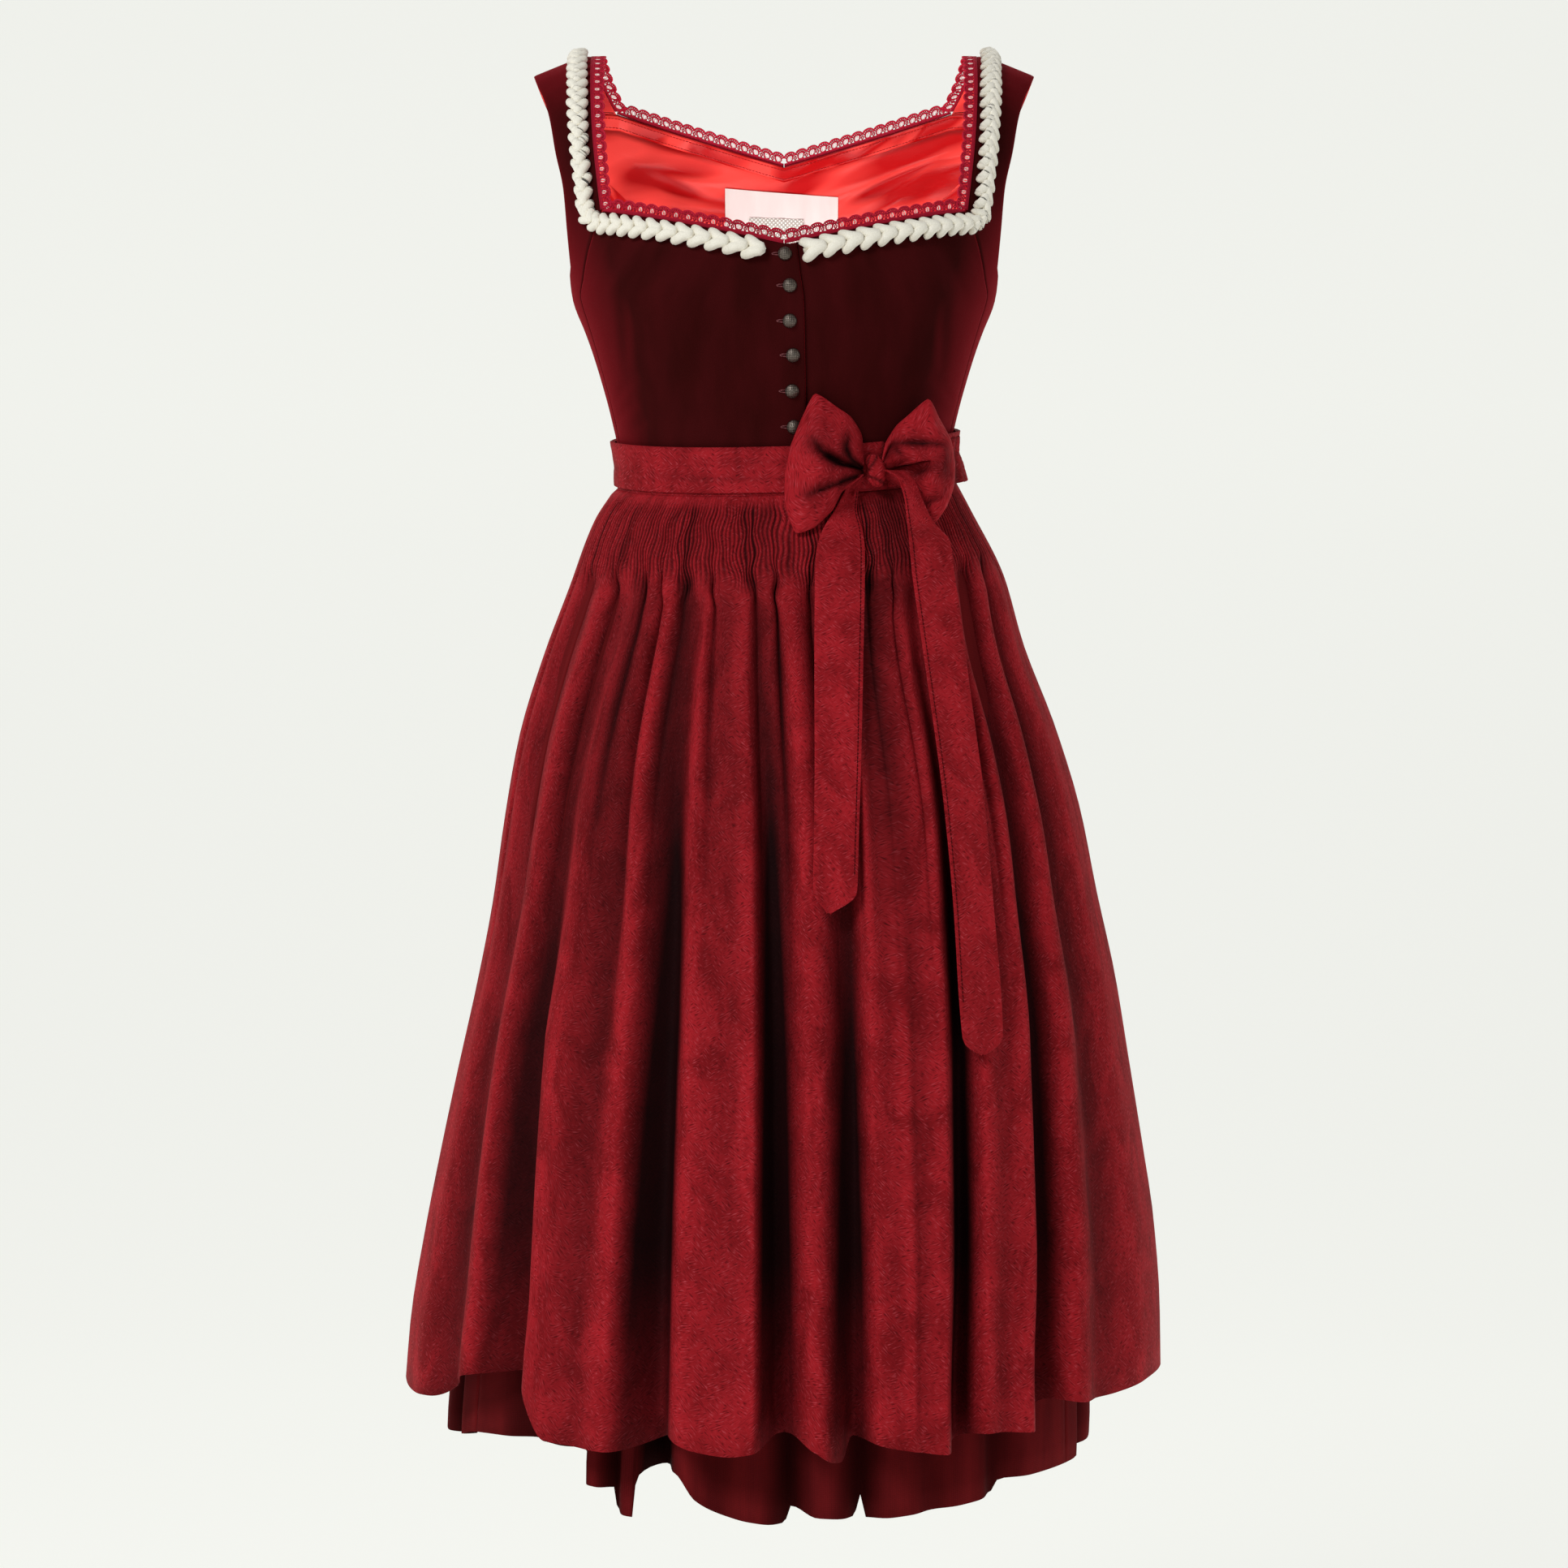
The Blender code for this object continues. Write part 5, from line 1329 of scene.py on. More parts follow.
@dataclass(frozen=True)
class FoldLaw:
    """Folds as a table of valleys: four angles by drop, three depths by drop, and a lean."""

    folds: Array
    dark: Array | float = 1.0
    angle_drops: tuple[float, ...] = (0.085, 0.235, 0.400, 0.615)
    depth_drops: tuple[float, ...] = (0.080, 0.300, 0.665)
    sharp: float = 1.15
    # The shade's powers on the near and far side of a valley, the depth of full shade, and its curve
    near: float = 0.8
    far: float = 2.0
    full: float = 0.0145
    curve: float = 0.75

    def read(self, place: Array, drop: Array) -> tuple[Array, Array, Array, Array]:
        """Angle, depth, side shift and shade at places counted in valleys.

        Between two valleys the depth is the nearer valley's, times a power of cos^2 of the share
        of the way. The shade is wider on the side before the valley, which lies away from the light.

        Args:
            place: columns, as valley numbers with a share, such as 2.5 for a ridge.
            drop: rows, as drops.

        Returns:
            Four arrays of rows by columns. The shade is 0 on ridges and up to dark in deep valleys.
        """
        numbers = np.arange(len(self.folds))
        centres = np.array([np.interp(drop, self.angle_drops, row[:4]) for row in self.folds])
        depths = np.array([np.interp(drop, self.depth_drops, row[4:7]) for row in self.folds]) * MM
        angle = np.array([np.interp(place, numbers, column) for column in centres.T])
        nearest = np.rint(place).astype(int)
        wave = np.cos(math.pi * (place - nearest)) ** 2
        depth = depths[nearest].T * wave**self.sharp
        dark = np.broadcast_to(self.dark, numbers.shape)[nearest]
        lopsided = wave ** np.where(place < nearest, self.near, self.far)
        shade = np.clip(depths[nearest].T * lopsided / self.full, 0, 1) ** self.curve * dark
        return angle, depth, depth * self.folds[nearest, 7], shade


@dataclass
class Skirt:
    """Four gores of plain dark cloth, gathered into the waist."""

    wall: float = 0.0012
    top: float = 0.0110
    hem: float = 0.715
    seams: tuple[float, ...] = (62.0, 118.0, 242.0, 298.0)
    # How far each gore laps over its neighbour at a seam, in degrees
    lap: float = 0.03
    columns_per_fold: int = 16
    sharp: float = 2.2
    # Where the waist lets the folds go and over how much, and the small gathers under it
    grip: Pair = (0.012, 0.07)
    gathers: float = 3.0
    gather_depth: float = 0.0011
    gathered: tuple[float, float, float, float] = (0.016, 0.05, 0.10, 0.30)
    # How dark the painted shade in the valleys is, and a painted shaded side: how dark, its angle and its
    # width
    valley: float = 0.96
    shaded: tuple[float, float, float] = (0.34, -44.0, 10.0)
    # Drop, half width right, half width left, front, back
    rings: Array = measures([
        [0.011, 0.1218, 0.1218, 0.0985, 0.086], [0.02, 0.122, 0.122, 0.0986, 0.087],
        [0.041, 0.134, 0.1325, 0.108, 0.099], [0.09, 0.1555, 0.158, 0.127, 0.126],
        [0.14, 0.1745, 0.1725, 0.141, 0.148], [0.2, 0.192, 0.193, 0.155, 0.17],
        [0.26, 0.2035, 0.205, 0.168, 0.188], [0.32, 0.209, 0.211, 0.179, 0.203],
        [0.44, 0.222, 0.219, 0.196, 0.229], [0.56, 0.237, 0.224, 0.213, 0.252],
        [0.665, 0.245, 0.225, 0.223, 0.268], [0.715, 0.249, 0.225, 0.233, 0.274],
    ])
    # How far the hem is pulled up: angle and rise in millimetres
    rise: Array = measures([
        [-120, 0], [-90, 8], [-74, 16], [-63, 29], [-48, 38], [-42, 40], [-35.2, 38], [-34.2, 18],
        [-29, 16], [-28.5, 3], [-24.3, 1], [-23.7, 26], [-22, 32], [-17.5, 31], [-14, 15], [-9, 5],
        [0.2, 0], [1.2, 10], [5.5, 4], [12.8, 2], [14, 15], [14.8, 0], [42, 1], [43, 8], [50, 6], [66, 0],
    ])
    # Front valleys: angle at four drops, depth at three drops in millimetres, lean
    front: Array = measures([
        [-62, -62, -62, -62, 0, 0, 0, 0], [-46, -46, -46, -46, 1, 3, 8, 0],
        [-35, -35, -35, -35, 0.5, 2, 12, 0], [-28.6, -28.6, -28.6, -28.6, 0.5, 3, 12, 0],
        [-24.5, -24, -22.5, -21, 1, 9, 26, 0], [-10, -10, -10, -10, 1, 2, 4, 0],
        [1.2, 1.2, 1.2, 1.2, 1, 4, 12, 0], [14, 14, 14, 14, 1, 4, 12, 0], [27, 27, 27, 27, 1, 2, 5, 0],
        [41.5, 41.5, 41.5, 41.5, 1, 4, 10, 0], [62, 62, 62, 62, 0, 0, 0, 0],
    ])

    def build(self) -> None:
        """Build the four gores."""
        a, b, c, d = self.seams
        self.build_gore("front", self.front)
        self.build_gore("side_left", even_folds(a, b, 3, 3))
        self.build_gore("back", even_folds(b, c, 12, 5))
        self.build_gore("side_right", even_folds(c, d, 3, 8))

    def build_gore(self, name: str, folds: Array) -> None:
        """One gore: the ring at each drop, set in by its folds and by small gathers at the waist."""
        folds = folds.copy()
        folds[0, :4] -= self.lap
        folds[-1, :4] += self.lap
        place = np.linspace(0, len(folds) - 1, (len(folds) - 1) * self.columns_per_fold + 1)
        drop = self.top + (self.hem - self.top) * np.linspace(0, 1, 64) ** 1.25
        angle, depth, shift, shade = FoldLaw(folds, sharp=self.sharp).read(place, drop)
        grip = np.clip((drop - self.grip[0]) / self.grip[1], 0, 1)[:, None]
        base, out = FIGURE.ring(self.rings, angle, raised(self.rise, angle, drop, self.hem))
        ripple = self.gather_depth * ramp(drop, *self.gathered[:2]) * (1 - ramp(drop, *self.gathered[2:]))
        fine = ripple[:, None] * (0.5 + 0.5 * np.sin(math.tau * place * self.gathers))
        grid = base - out * (depth * grip + fine)[..., None] + beside(out) * shift[..., None]
        grid = rolled(grid, *SKIRT_TURN, "lrb")
        # Painted shade in the valleys, and a broad painted shade over the side at the wearer's right
        dark, middle, width = self.shaded
        tone = (1 - self.valley * shade * grip) * (1 - dark * bell(angle - middle, width))
        node = f"skirt_{name}"
        sew_sheet(f"cloth_{node}", grid, SKIRT_CLOTH, self.wall, [node], tone=tone)


@dataclass
class Apron:
    """The apron: a smocked band of fine rounded pleats, let go into large soft folds."""

    wall: float = 0.0011
    edge: float = 81.0
    pleat_edge: float = 76.5
    pleats: int = 126
    per_pleat: int = 5
    pleat_depth: float = 0.0015
    front_share: float = 0.70
    group: float = 7.6
    top: float = 0.0188
    lip: float = 0.0012
    band_end: float = 0.100
    hem: float = 0.665
    # How far the opened groups stand, and the drops over which they rise and fade
    puff: float = 0.0072
    opening: Pair = (0.068, 0.086)
    fading: Pair = (0.15, 0.44)
    # A pleat is let go at this drop, later at a group's edge, and ends over a short length
    release: float = 0.070
    later: float = 0.016
    ending: float = 0.015
    # The band's small waves: size, pitch down, slant for each pleat, phase
    waves: Array = measures([[0.30, 0.024, 0.045, 0], [0.34, 0.043, -0.08, 0.4]])
    # Shade under the bow: how dark, its angle and width
    under_bow: tuple[float, float, float] = (0.50, 28.8, 8.0)
    # Drop, half width right, half width left, front
    rings: Array = measures([
        [0.0188, 0.1258, 0.1262, 0.1028], [0.041, 0.14, 0.138, 0.115], [0.09, 0.159, 0.163, 0.138],
        [0.14, 0.178, 0.1775, 0.156], [0.2, 0.196, 0.2006, 0.1755], [0.26, 0.2066, 0.2188, 0.191],
        [0.32, 0.215, 0.2308, 0.2045], [0.38, 0.2266, 0.244, 0.216], [0.44, 0.24, 0.2538, 0.227],
        [0.5, 0.2527, 0.2634, 0.238], [0.56, 0.2645, 0.2722, 0.248], [0.62, 0.2743, 0.2763, 0.258],
        [0.665, 0.278, 0.2768, 0.265],
    ])
    # How far the hem is pulled up: angle and rise in millimetres
    rise: Array = measures([
        [-81, 1], [-78, 0], [-66, 4], [-53.5, 31], [-42.5, 39], [-35.5, 1], [-25, 0], [-17, 11],
        [-12.5, 5], [-7.5, 2], [-4.5, 4], [1, 13], [4, 5], [8.5, -6], [10.5, 9], [16, 3], [24.5, -4],
        [29, 6], [39, 1], [43.5, 15], [49, 11], [59, 7], [66, 7], [81, 2],
    ])
    # Valleys: angle at four drops, depth at three drops in millimetres, lean
    folds: Array = measures([
        [-81, -81, -81, -81, 0, 0, 0, 0], [-68, -66, -65, -60, 2, 5, 12, 0],
        [-47, -51, -53.5, -46.7, 6, 12, 33, 0.25], [-34, -35, -34, -31.5, 4, 10, 4, 0],
        [-22, -22.9, -22, -20.7, 4, 16, 32, 0.15], [-15, -10.2, -9, -7.5, 5, 3, 1, 0],
        [-4.8, -2.9, -1.7, -1.3, 4, 17, 35, 0], [8, 12, 11.3, 10.6, 3, 10, 28, 0],
        [17.5, 17, 17, 16.5, 2, 2, 1, 0], [24.5, 24, 21.5, 19.5, 6, 4, 3, 0],
        [33, 32.3, 30.2, 26.2, 3, 14, 33, 0.2], [41, 40, 38, 33, 2, 3, 4, 0],
        [52, 49.7, 46.8, 41.1, 6, 13, 30, 0.2], [66, 61, 59.5, 54, 3, 9, 8, 0],
        [81, 81, 81, 81, 0, 0, 0, 0],
    ])
    # How dark each valley's painted shade is, from 0 to 1
    dark: tuple[float, ...] = (0, 1, 0.93, 1, 1, 1, 1, 1, 0.9, 1, 1, 1, 0.97, 0.9, 0)

    def pleat_angles(self) -> Array:
        """The pleats' columns, a mix of even angles and even steps across the front."""
        even = np.linspace(-self.pleat_edge, self.pleat_edge, 2001)
        across = np.sin(np.radians(even)) / math.sin(math.radians(self.pleat_edge))
        travelled = mix(even / self.pleat_edge, across, self.front_share)
        return np.interp(np.linspace(-1, 1, self.pleats * self.per_pleat + 1), travelled, even)

    def build(self) -> None:
        """Build the apron as one sheet.

        A pleat is |sin| of its phase, so rounded cords meet in sharp grooves. Pleats close up
        in groups of seven or eight, let go first at a group's middle, and each group opens into
        a ridge, |sin| of the group's phase, that fades into the large folds.
        """
        inner = self.pleat_angles()
        border = np.linspace(self.pleat_edge, self.edge, 7)[1:]
        column = np.concatenate([-border[::-1], inner, border])
        band = np.linspace(self.top, self.band_end, 29)[:-1]
        free = mix(self.band_end, self.hem, np.linspace(0, 1, 36) ** 1.2)
        drop = np.concatenate([[self.top - self.lip], band, free])
        down = drop[:, None]
        start = self.folds[:, 0]
        place = np.interp(column, start, np.arange(len(start)))
        angle, depth, shift, shade = FoldLaw(self.folds, np.array(self.dark)).read(place, drop)
        let_go = ramp(down, self.opening[0], self.band_end)
        inside = (np.abs(column) < self.pleat_edge).astype(float)
        phase = np.interp(column, inner, np.linspace(0, self.pleats, len(inner)))
        group = phase / self.group + 0.20 * np.sin(0.42 * phase) + 0.14 * np.sin(0.17 * phase + 1)
        ridge = np.abs(np.sin(math.pi * group))
        strong = 0.72 + 0.28 * np.sin(2.4 * np.rint(group) + 1.3)
        drift = (0.3 * np.sin(0.35 * phase), 0.0)
        wave = sum(
            size * np.sin(math.tau * (down / pitch + slant * phase + begin + wander))
            for (size, pitch, slant, begin), wander in zip(self.waves, drift)
        )
        in_band = ramp(down, self.top, 0.034) * (1 - ramp(down, 0.080, 0.12))
        pull = 0.75 * np.sin(math.tau * group) * ramp(down, 0.056, 0.080) * (1 - ramp(down, 0.086, 0.13))
        angle = angle + (wave * in_band - pull) * inside * 0.8
        cord = np.abs(np.sin(math.pi * phase)) - 1
        deeper = 0.75 + 0.5 * (1 - ridge) ** 2
        release = self.release + self.later * (1 - ridge)
        held = (1 - np.clip((down - release) / self.ending, 0, 1)) * ramp(down, self.top, 0.030)
        loose = ramp(down, *self.opening) * (1 - ramp(down, *self.fading))
        spread = ridge**0.75 - 1
        relief = (self.pleat_depth * cord * deeper * held + self.puff * spread * loose) * inside
        # The top edge turns in under the waistband
        relief = relief - 0.0026 * (1 - ramp(down, self.top - self.lip, self.top + 0.001))
        # Painted shade: grooves differ in width, and each shade is darker the further its fold closes
        uneven = 0.5 + 0.5 * np.sin(2.1 * np.rint(phase) + 2 * np.sin(0.9 * np.rint(phase)))
        groove = (-cord) ** (0.22 + uneven)
        tone = np.maximum(1 - 0.97 * groove * np.minimum(deeper, 1.05) * held * inside, 0.02)
        # More painted shade between the opened groups, in the large valleys, lighter near the hem, and
        # under the bow
        tone = tone * (1 - 0.98 * strong * (1 - ridge) ** 1.15 * loose * inside)
        tone = tone * (1 - 0.98 * shade * let_go * (1 - 0.30 * ramp(down, 0.54, self.hem)))
        dark, middle, width = self.under_bow
        tone = tone * (1 - dark * bell(column - middle, width) * (1 - ramp(down, 0.085, 0.125)))
        base, out = FIGURE.ring(self.rings, angle, raised(self.rise, angle, drop, self.hem))
        grid = base + out * (relief - depth * let_go)[..., None]
        grid = grid + beside(out) * (shift * let_go)[..., None]
        cloth = Cloth()
        cloth.add_grid(grid, tone=tone, coords=stack(lengths_along(grid[-1])[None, :], -down))
        piece = cloth.make("smocked_apron", JACQUARD, self.wall, ["apron"])
        flat, area = cut_of(grid)


# Waistband, ties and bow


@dataclass
class WaistTies:
    """The apron's waistband and two ties, which cross behind and come back to the knot."""

    ribbon: float = 0.0012
    top: float = 0.0165
    bottom: float = -0.0160
    band_top: float = 0.0155
    band_bottom: float = -0.0185
    fold_top: float = 0.0130
    fold_bottom: float = -0.0200
    under: float = 0.0008
    over: float = 0.0027
    apron_edge: float = 81.0
    knot: float = 32.0
    step: float = 1.3
    # Where the ties cross behind, where they are pinched to half their height, and the edges there
    crossing: Pair = (162.0, 198.0)
    pinched: tuple[float, float, float, float] = (138.0, 160.0, 200.0, 222.0)
    pinched_bottom: float = 0.0012
    pinched_top: float = -0.0008
    # The torso is read no higher than straight, and its swell from least upwards is added
    straight: float = -0.29
    least: float = -0.31
    # The radius for the creases' arcs, and how deep a crease may cut
    arc: float = 0.11
    cut: float = 0.0008
    # The slack fold: its angles, how far its lower edge leans out, and its ripple
    fold_start: float = 58.0
    fold_ends: Pair = (80.5, 86.5)
    lean: float = 0.0085
    ripple: float = 0.0010
    # Long soft creases: arc and height above the waistline at both ends, width, depth, millimetres
    creases: Array = measures([
        [-150, -8, 60, -11, 4, 0.6], [-150, 6, 40, 7, 5, 0.6], [10, -9, 62, -4, 3, 0.6],
        [80, 3, 190, -2, 2.4, 0.6], [230, 6, 330, 3, 2.2, 0.5], [420, 2, 560, -3, 2.6, 0.6],
        [600, -4, 700, -7, 2.4, 0.6], [640, 6, 770, 4, 2.2, 0.5],
    ])

    def ribbon_grid(self, angles: Array, top: Any, bottom: Any, offset: Any) -> tuple[Array, Array]:
        """A ribbon round the waist: the torso below its narrowest, moved out, crowned across.

        Args:
            angles: the columns, in degrees.
            top: the upper edge above the waistline.
            bottom: the lower edge above the waistline.
            offset: the distance of its inner side from the bodice.

        Returns:
            The grid of its outer side, and its tone, which paints shade.
        """
        v = edged(11)[:, None]
        edge = mix(top, bottom, v) + 0 * angles
        height = FIGURE.waist(angles) + edge
        base = FIGURE.torso(angles + 0 * v, np.minimum(height, self.straight))
        out = -unit(beside(np.gradient(base, axis=1)))
        widths = monotone(FIGURE.sections, height, 1)
        swell = np.maximum(widths - monotone(FIGURE.sections, self.least, 1), 0)
        dip = troughs(np.radians(angles) * self.arc + 0 * v, edge, self.creases)
        lift = offset + swell + self.ribbon - np.minimum(dip, self.cut)
        # Painted shade: a little all over, more in the creases and along the top edge under the bodice
        tone = 0.92 - 0.42 * np.clip(dip / 0.0009, 0, 1) - 0.25 * np.clip(1 - v / 0.10, 0, 1)
        return stack(base[..., 0], base[..., 1], height) + out * lift[..., None], tone

    def build(self) -> None:
        """Build the waistband and the ties."""
        self.build_ribbon("waistband", -self.apron_edge, self.apron_edge, "apron_waistband")
        self.build_ribbon("tie_from_left", self.apron_edge + 0.2, 359 + self.knot, "tie_from_left")
        self.build_ribbon("tie_from_right", self.knot + 1, 359.8 - self.apron_edge, "tie_from_right")
        self.build_fold()

    def build_ribbon(self, name: str, first: float, last: float, node: str) -> None:
        """One ribbon, narrowed to half its height where the ties cross behind."""
        angles = np.linspace(first, last, int((last - first) / self.step))
        crossed = ramp(angles, *self.crossing)
        pinch = ramp(angles, *self.pinched[:2]) * (1 - ramp(angles, *self.pinched[2:]))
        top, bottom, offset = self.band_top, self.band_bottom, self.under
        if node == "tie_from_left":
            top, bottom = self.top, mix(self.bottom, self.pinched_bottom, pinch)
            offset = mix(self.under, self.over, crossed)
        elif node == "tie_from_right":
            top, bottom = mix(self.top, self.pinched_top, pinch), self.bottom
            offset = mix(self.over, self.under, crossed)
        grid, tone = self.ribbon_grid(angles, top, bottom, offset)
        grid = rolled(grid, *RIBBON_TURN)
        sew_sheet(f"jacquard_{name}", grid, JACQUARD, self.ribbon, [node], tone=tone)

    def build_fold(self) -> None:
        """The slack fold of a tie behind the left loop: its lower edge leans out to the side."""
        v = edged(11)[:, None]
        angles = mix(self.fold_start, mix(*self.fold_ends, v), np.linspace(0, 1, 24)[None, :])
        offset = self.over + self.ribbon + self.lean * v**1.3 * ramp(angles, 60, 80)
        grid, tone = self.ribbon_grid(angles, self.fold_top, self.fold_bottom, offset)
        phase = angles * 0.9 + 3 * v
        grid = grid + grid_normals(grid) * (self.ripple * np.sin(phase))[..., None]
        grid = rolled(grid, *RIBBON_TURN)
        # Painted shade that follows the ripple
        tone = tone * (0.72 + 0.28 * np.sin(phase + 0.4))
        sew_sheet("jacquard_tie_fold", grid, JACQUARD, self.ribbon, [], tone=tone)


@dataclass
class Bow:
    """The tied bow: two puffed loops with creases from the knot, the knot, and two tails."""

    ribbon: float = 0.0012
    knot: Pair = (0.0635, -0.3185)
    least: float = 0.088
    # The tied waist under the bow: half width and front depth, and how far the ribbons stand out
    waist: Pair = (0.1218, 0.0985)
    tied: float = 0.0046
    tied_end: Pair = (0.018, 0.024)
    reach: float = 0.126
    # Where each loop's crown crease ends, in millimetres
    right_eye: Pair = (30.0, -309.0)
    left_eye: Pair = (103.0, -312.0)
    # The share of a loop at which its crown lies, how round its outline is, how deep its middle sinks
    crown: float = 0.62
    round: float = 0.45
    sink: float = 0.0030
    loop_wall: float = 0.0006
    # The knot: half width, half height and stand, and its wraps' slants
    knot_size: tuple[float, float, float] = (0.0076, 0.0118, 0.0074)
    wraps: tuple[float, ...] = (-1.10, -0.60, 0.22)
    # Outer edge x and z, inner edge x and z, in front of the body at both, in millimetres
    right: Array = measures([
        [56, -314, 56, -316.6, 6.5, 8], [54.5, -293, 50, -314.5, 4, 18], [47, -281, 44, -311.5, 4, 24],
        [38, -275, 38, -308, 4, 28], [22, -265, 30, -302.5, 4, 30], [13, -282, 24, -300.5, 4, 30],
        [5, -302, 21, -305, 4, 30], [1, -322, 22, -311, 4, 30], [1, -343, 26, -315, 4, 29],
        [8, -364, 33, -317.5, 4, 28], [21, -360, 39, -319, 4, 26], [34, -347, 45, -320.5, 4, 23],
        [40, -334, 50, -321.5, 4, 17], [56, -322, 56, -319.8, 6.5, 8],
    ])
    left: Array = measures([
        [69.7, -311, 69.7, -313.8, 6.5, 8], [72.5, -298, 77, -309, 4, 18], [80, -286, 84, -305, 4, 24],
        [88, -279, 93, -303, 4, 27], [102.5, -267, 104, -302.5, 4, 28], [110, -281, 109, -303, 4, 28],
        [118, -296, 112.5, -306, 5, 28], [121, -314, 113, -312, 5, 28], [120, -329, 111, -319, 5, 27],
        [115, -343, 105, -325, 5, 26], [106, -355, 98, -327, 4, 20], [96, -346, 90, -323.5, 4, 12],
        [84, -330, 80, -320, 4, 9], [69.8, -322, 69.8, -319.2, 4, 5.6],
    ])
    # Creases on the loops: x and z at both ends, width, depth, in millimetres
    right_creases: Array = measures([
        [58, -317, 38, -315.5, 2.4, 9], [41, -316, 27, -308, 4.2, 10], [27, -309, 18, -296, 6.5, 6],
        [57, -316.5, 46, -310.5, 2, 7], [47, -311, 43, -303, 3, 7], [43, -305, 46, -293, 3.6, 5],
        [56, -320, 38, -328.5, 2.2, 9], [40, -328, 16, -338, 3, 7], [20, -280, 34, -290, 6, 1.8],
        [10, -330, 26, -350, 6, 1.4],
    ])
    left_creases: Array = measures([
        [70, -313, 76, -300, 2.4, 6], [76, -299, 112, -301, 3.4, 8], [77, -302, 84, -309, 2.8, 4],
        [72, -317, 88, -312, 2.4, 4.5], [113, -304, 114, -328, 7, 5], [90, -323, 106, -316, 4.5, 5],
        [94, -344, 112, -337, 3.5, 5],
    ])
    # Height, left edge, right edge, in front of the body, in millimetres
    short: Array = measures([
        [-322, 50, 58, 2.6], [-330, 45, 53, 1.9], [-346, 36.5, 51.5, 1.9], [-362, 27, 55.5, 2],
        [-378, 22.5, 56.8, 2], [-400, 21.5, 56.4, 2], [-425, 21.2, 55.8, 2], [-450, 21, 55, 2],
        [-520, 21, 53, 2.2], [-580, 20.2, 50.8, 2.2], [-612, 19.6, 49.6, 2.2], [-617, 21.5, 47.5, 2.2],
        [-627, 29.5, 31, 2.2],
    ])
    long: Array = measures([
        [-318, 71, 80, 18], [-325, 80.5, 92, 28], [-340, 84.8, 98, 27.5], [-356, 86.5, 106, 21],
        [-368, 88, 118, 9], [-395, 90.5, 121.5, 2.4], [-430, 95, 126, 2.2], [-470, 100, 130, 2.2],
        [-545, 109, 138.5, 2.2], [-620, 115.5, 144, 2.2], [-712, 121, 149.5, 2.2],
        [-716.5, 123, 147.5, 2.2], [-723.5, 134, 136, 2.2],
    ])
    tail_creases: Array = measures([
        [44, -336, 38, -398, 5, 1.2], [52, -340, 50, -420, 4, 0.9], [30, -372, 34, -430, 5, 0.7],
        [90, -345, 98, -420, 4, 1.2], [100, -352, 112, -440, 5, 0.9], [112, -372, 118, -430, 4, 0.8],
        [30, -520, 44, -540, 6, 0.6], [112, -560, 130, -585, 7, 0.7], [126, -650, 138, -690, 6, 0.5],
    ])

    def front_of(self, x: Any, z: Any) -> Array:
        """How far the tied waist and the apron stand out towards the front at a place."""
        x, z = np.broadcast_arrays(np.asarray(x, float), np.asarray(z, float))
        share = np.clip(np.abs(x) / self.reach, 0, 0.98)
        drop = FIGURE.waist(np.sign(x) * np.degrees(np.arcsin(share**1.1))) - z
        tied = self.tied * (1 - ramp(drop, *self.tied_end))
        right, left, front = (monotone(APRON.rings, drop, k) for k in (1, 2, 3))
        below = drop > APRON.top
        half = np.where(below, np.where(x < 0, right, left), self.waist[0])
        front = np.where(below, front, self.waist[1])
        power = FIGURE.roundness(drop)
        return tied + front * np.clip(1 - (np.abs(x) / half) ** power, 0.02, 1) ** (1 / power)

    def build(self) -> None:
        """Build the loops, the knot and the tails."""
        self.build_loop(Side.RIGHT, self.right, self.right_creases, self.right_eye)
        self.build_loop(Side.LEFT, self.left, self.left_creases, self.left_eye)
        self.build_knot()
        self.build_tail("short", self.short)
        self.build_tail("long", self.long)

    def build_loop(self, side: Side, table: Array, marks: Array, eye: Pair) -> None:
        """One loop: a puffed sheet from its outline to a crease that runs in from the knot.

        The stand is the outline's at the edge and the inner edge's at the crown, raised quickly
        as the square root of a sine; creases are taken off it. A flat back closes it.

        Args:
            side: the wearer's side.
            table: the outline, the crown and their stands.
            marks: the creases.
            eye: where the crown's crease ends, in millimetres.
        """
        count = 96
        even = np.linspace(0, len(table) - 1, count)
        straight = along_path(even, np.arange(len(table)), table)
        curve = mix(straight, spline(table, count), self.round) * MM
        edge, crown = curve[:, :2], curve[:, 2:4]
        knot = (edge[0] + edge[-1]) / 2
        centre = np.array(eye) * MM
        reach = np.clip(np.sin(math.pi * np.linspace(0, 1, count)) * 1.25, 0, 1)
        spine = mix(knot, centre, reach[:, None])
        v = np.concatenate([[0, 0.01, 0.03, 0.06], np.linspace(0.1, 1.0, 22)])[:, None]
        to_crown = np.clip(v / self.crown, 0, 1)
        past = np.clip((v - self.crown) / (1 - self.crown), 0, 1)
        spot = mix(mix(edge[None], crown[None], to_crown[..., None]), spine[None], past[..., None])
        x, z = spot[..., 0], spot[..., 1]
        foot = np.maximum(self.front_of(edge[:, 0], edge[:, 1]), self.least) + curve[:, 4]
        top = np.maximum(self.front_of(crown[:, 0], crown[:, 1]), self.least) + curve[:, 5]
        rise = mix(to_crown, np.sqrt(np.sin(0.5 * math.pi * to_crown)), 0.45)
        dip = troughs(x, z, marks, 1.3) * ramp(v, 0.02, 0.30)
        grid = stack(x, dip - mix(foot, top, rise) + self.sink * past, z)
        # Painted shade in the creases
        tone = 1 - 0.94 * np.clip(dip / 0.0075, 0, 1) ** 0.85
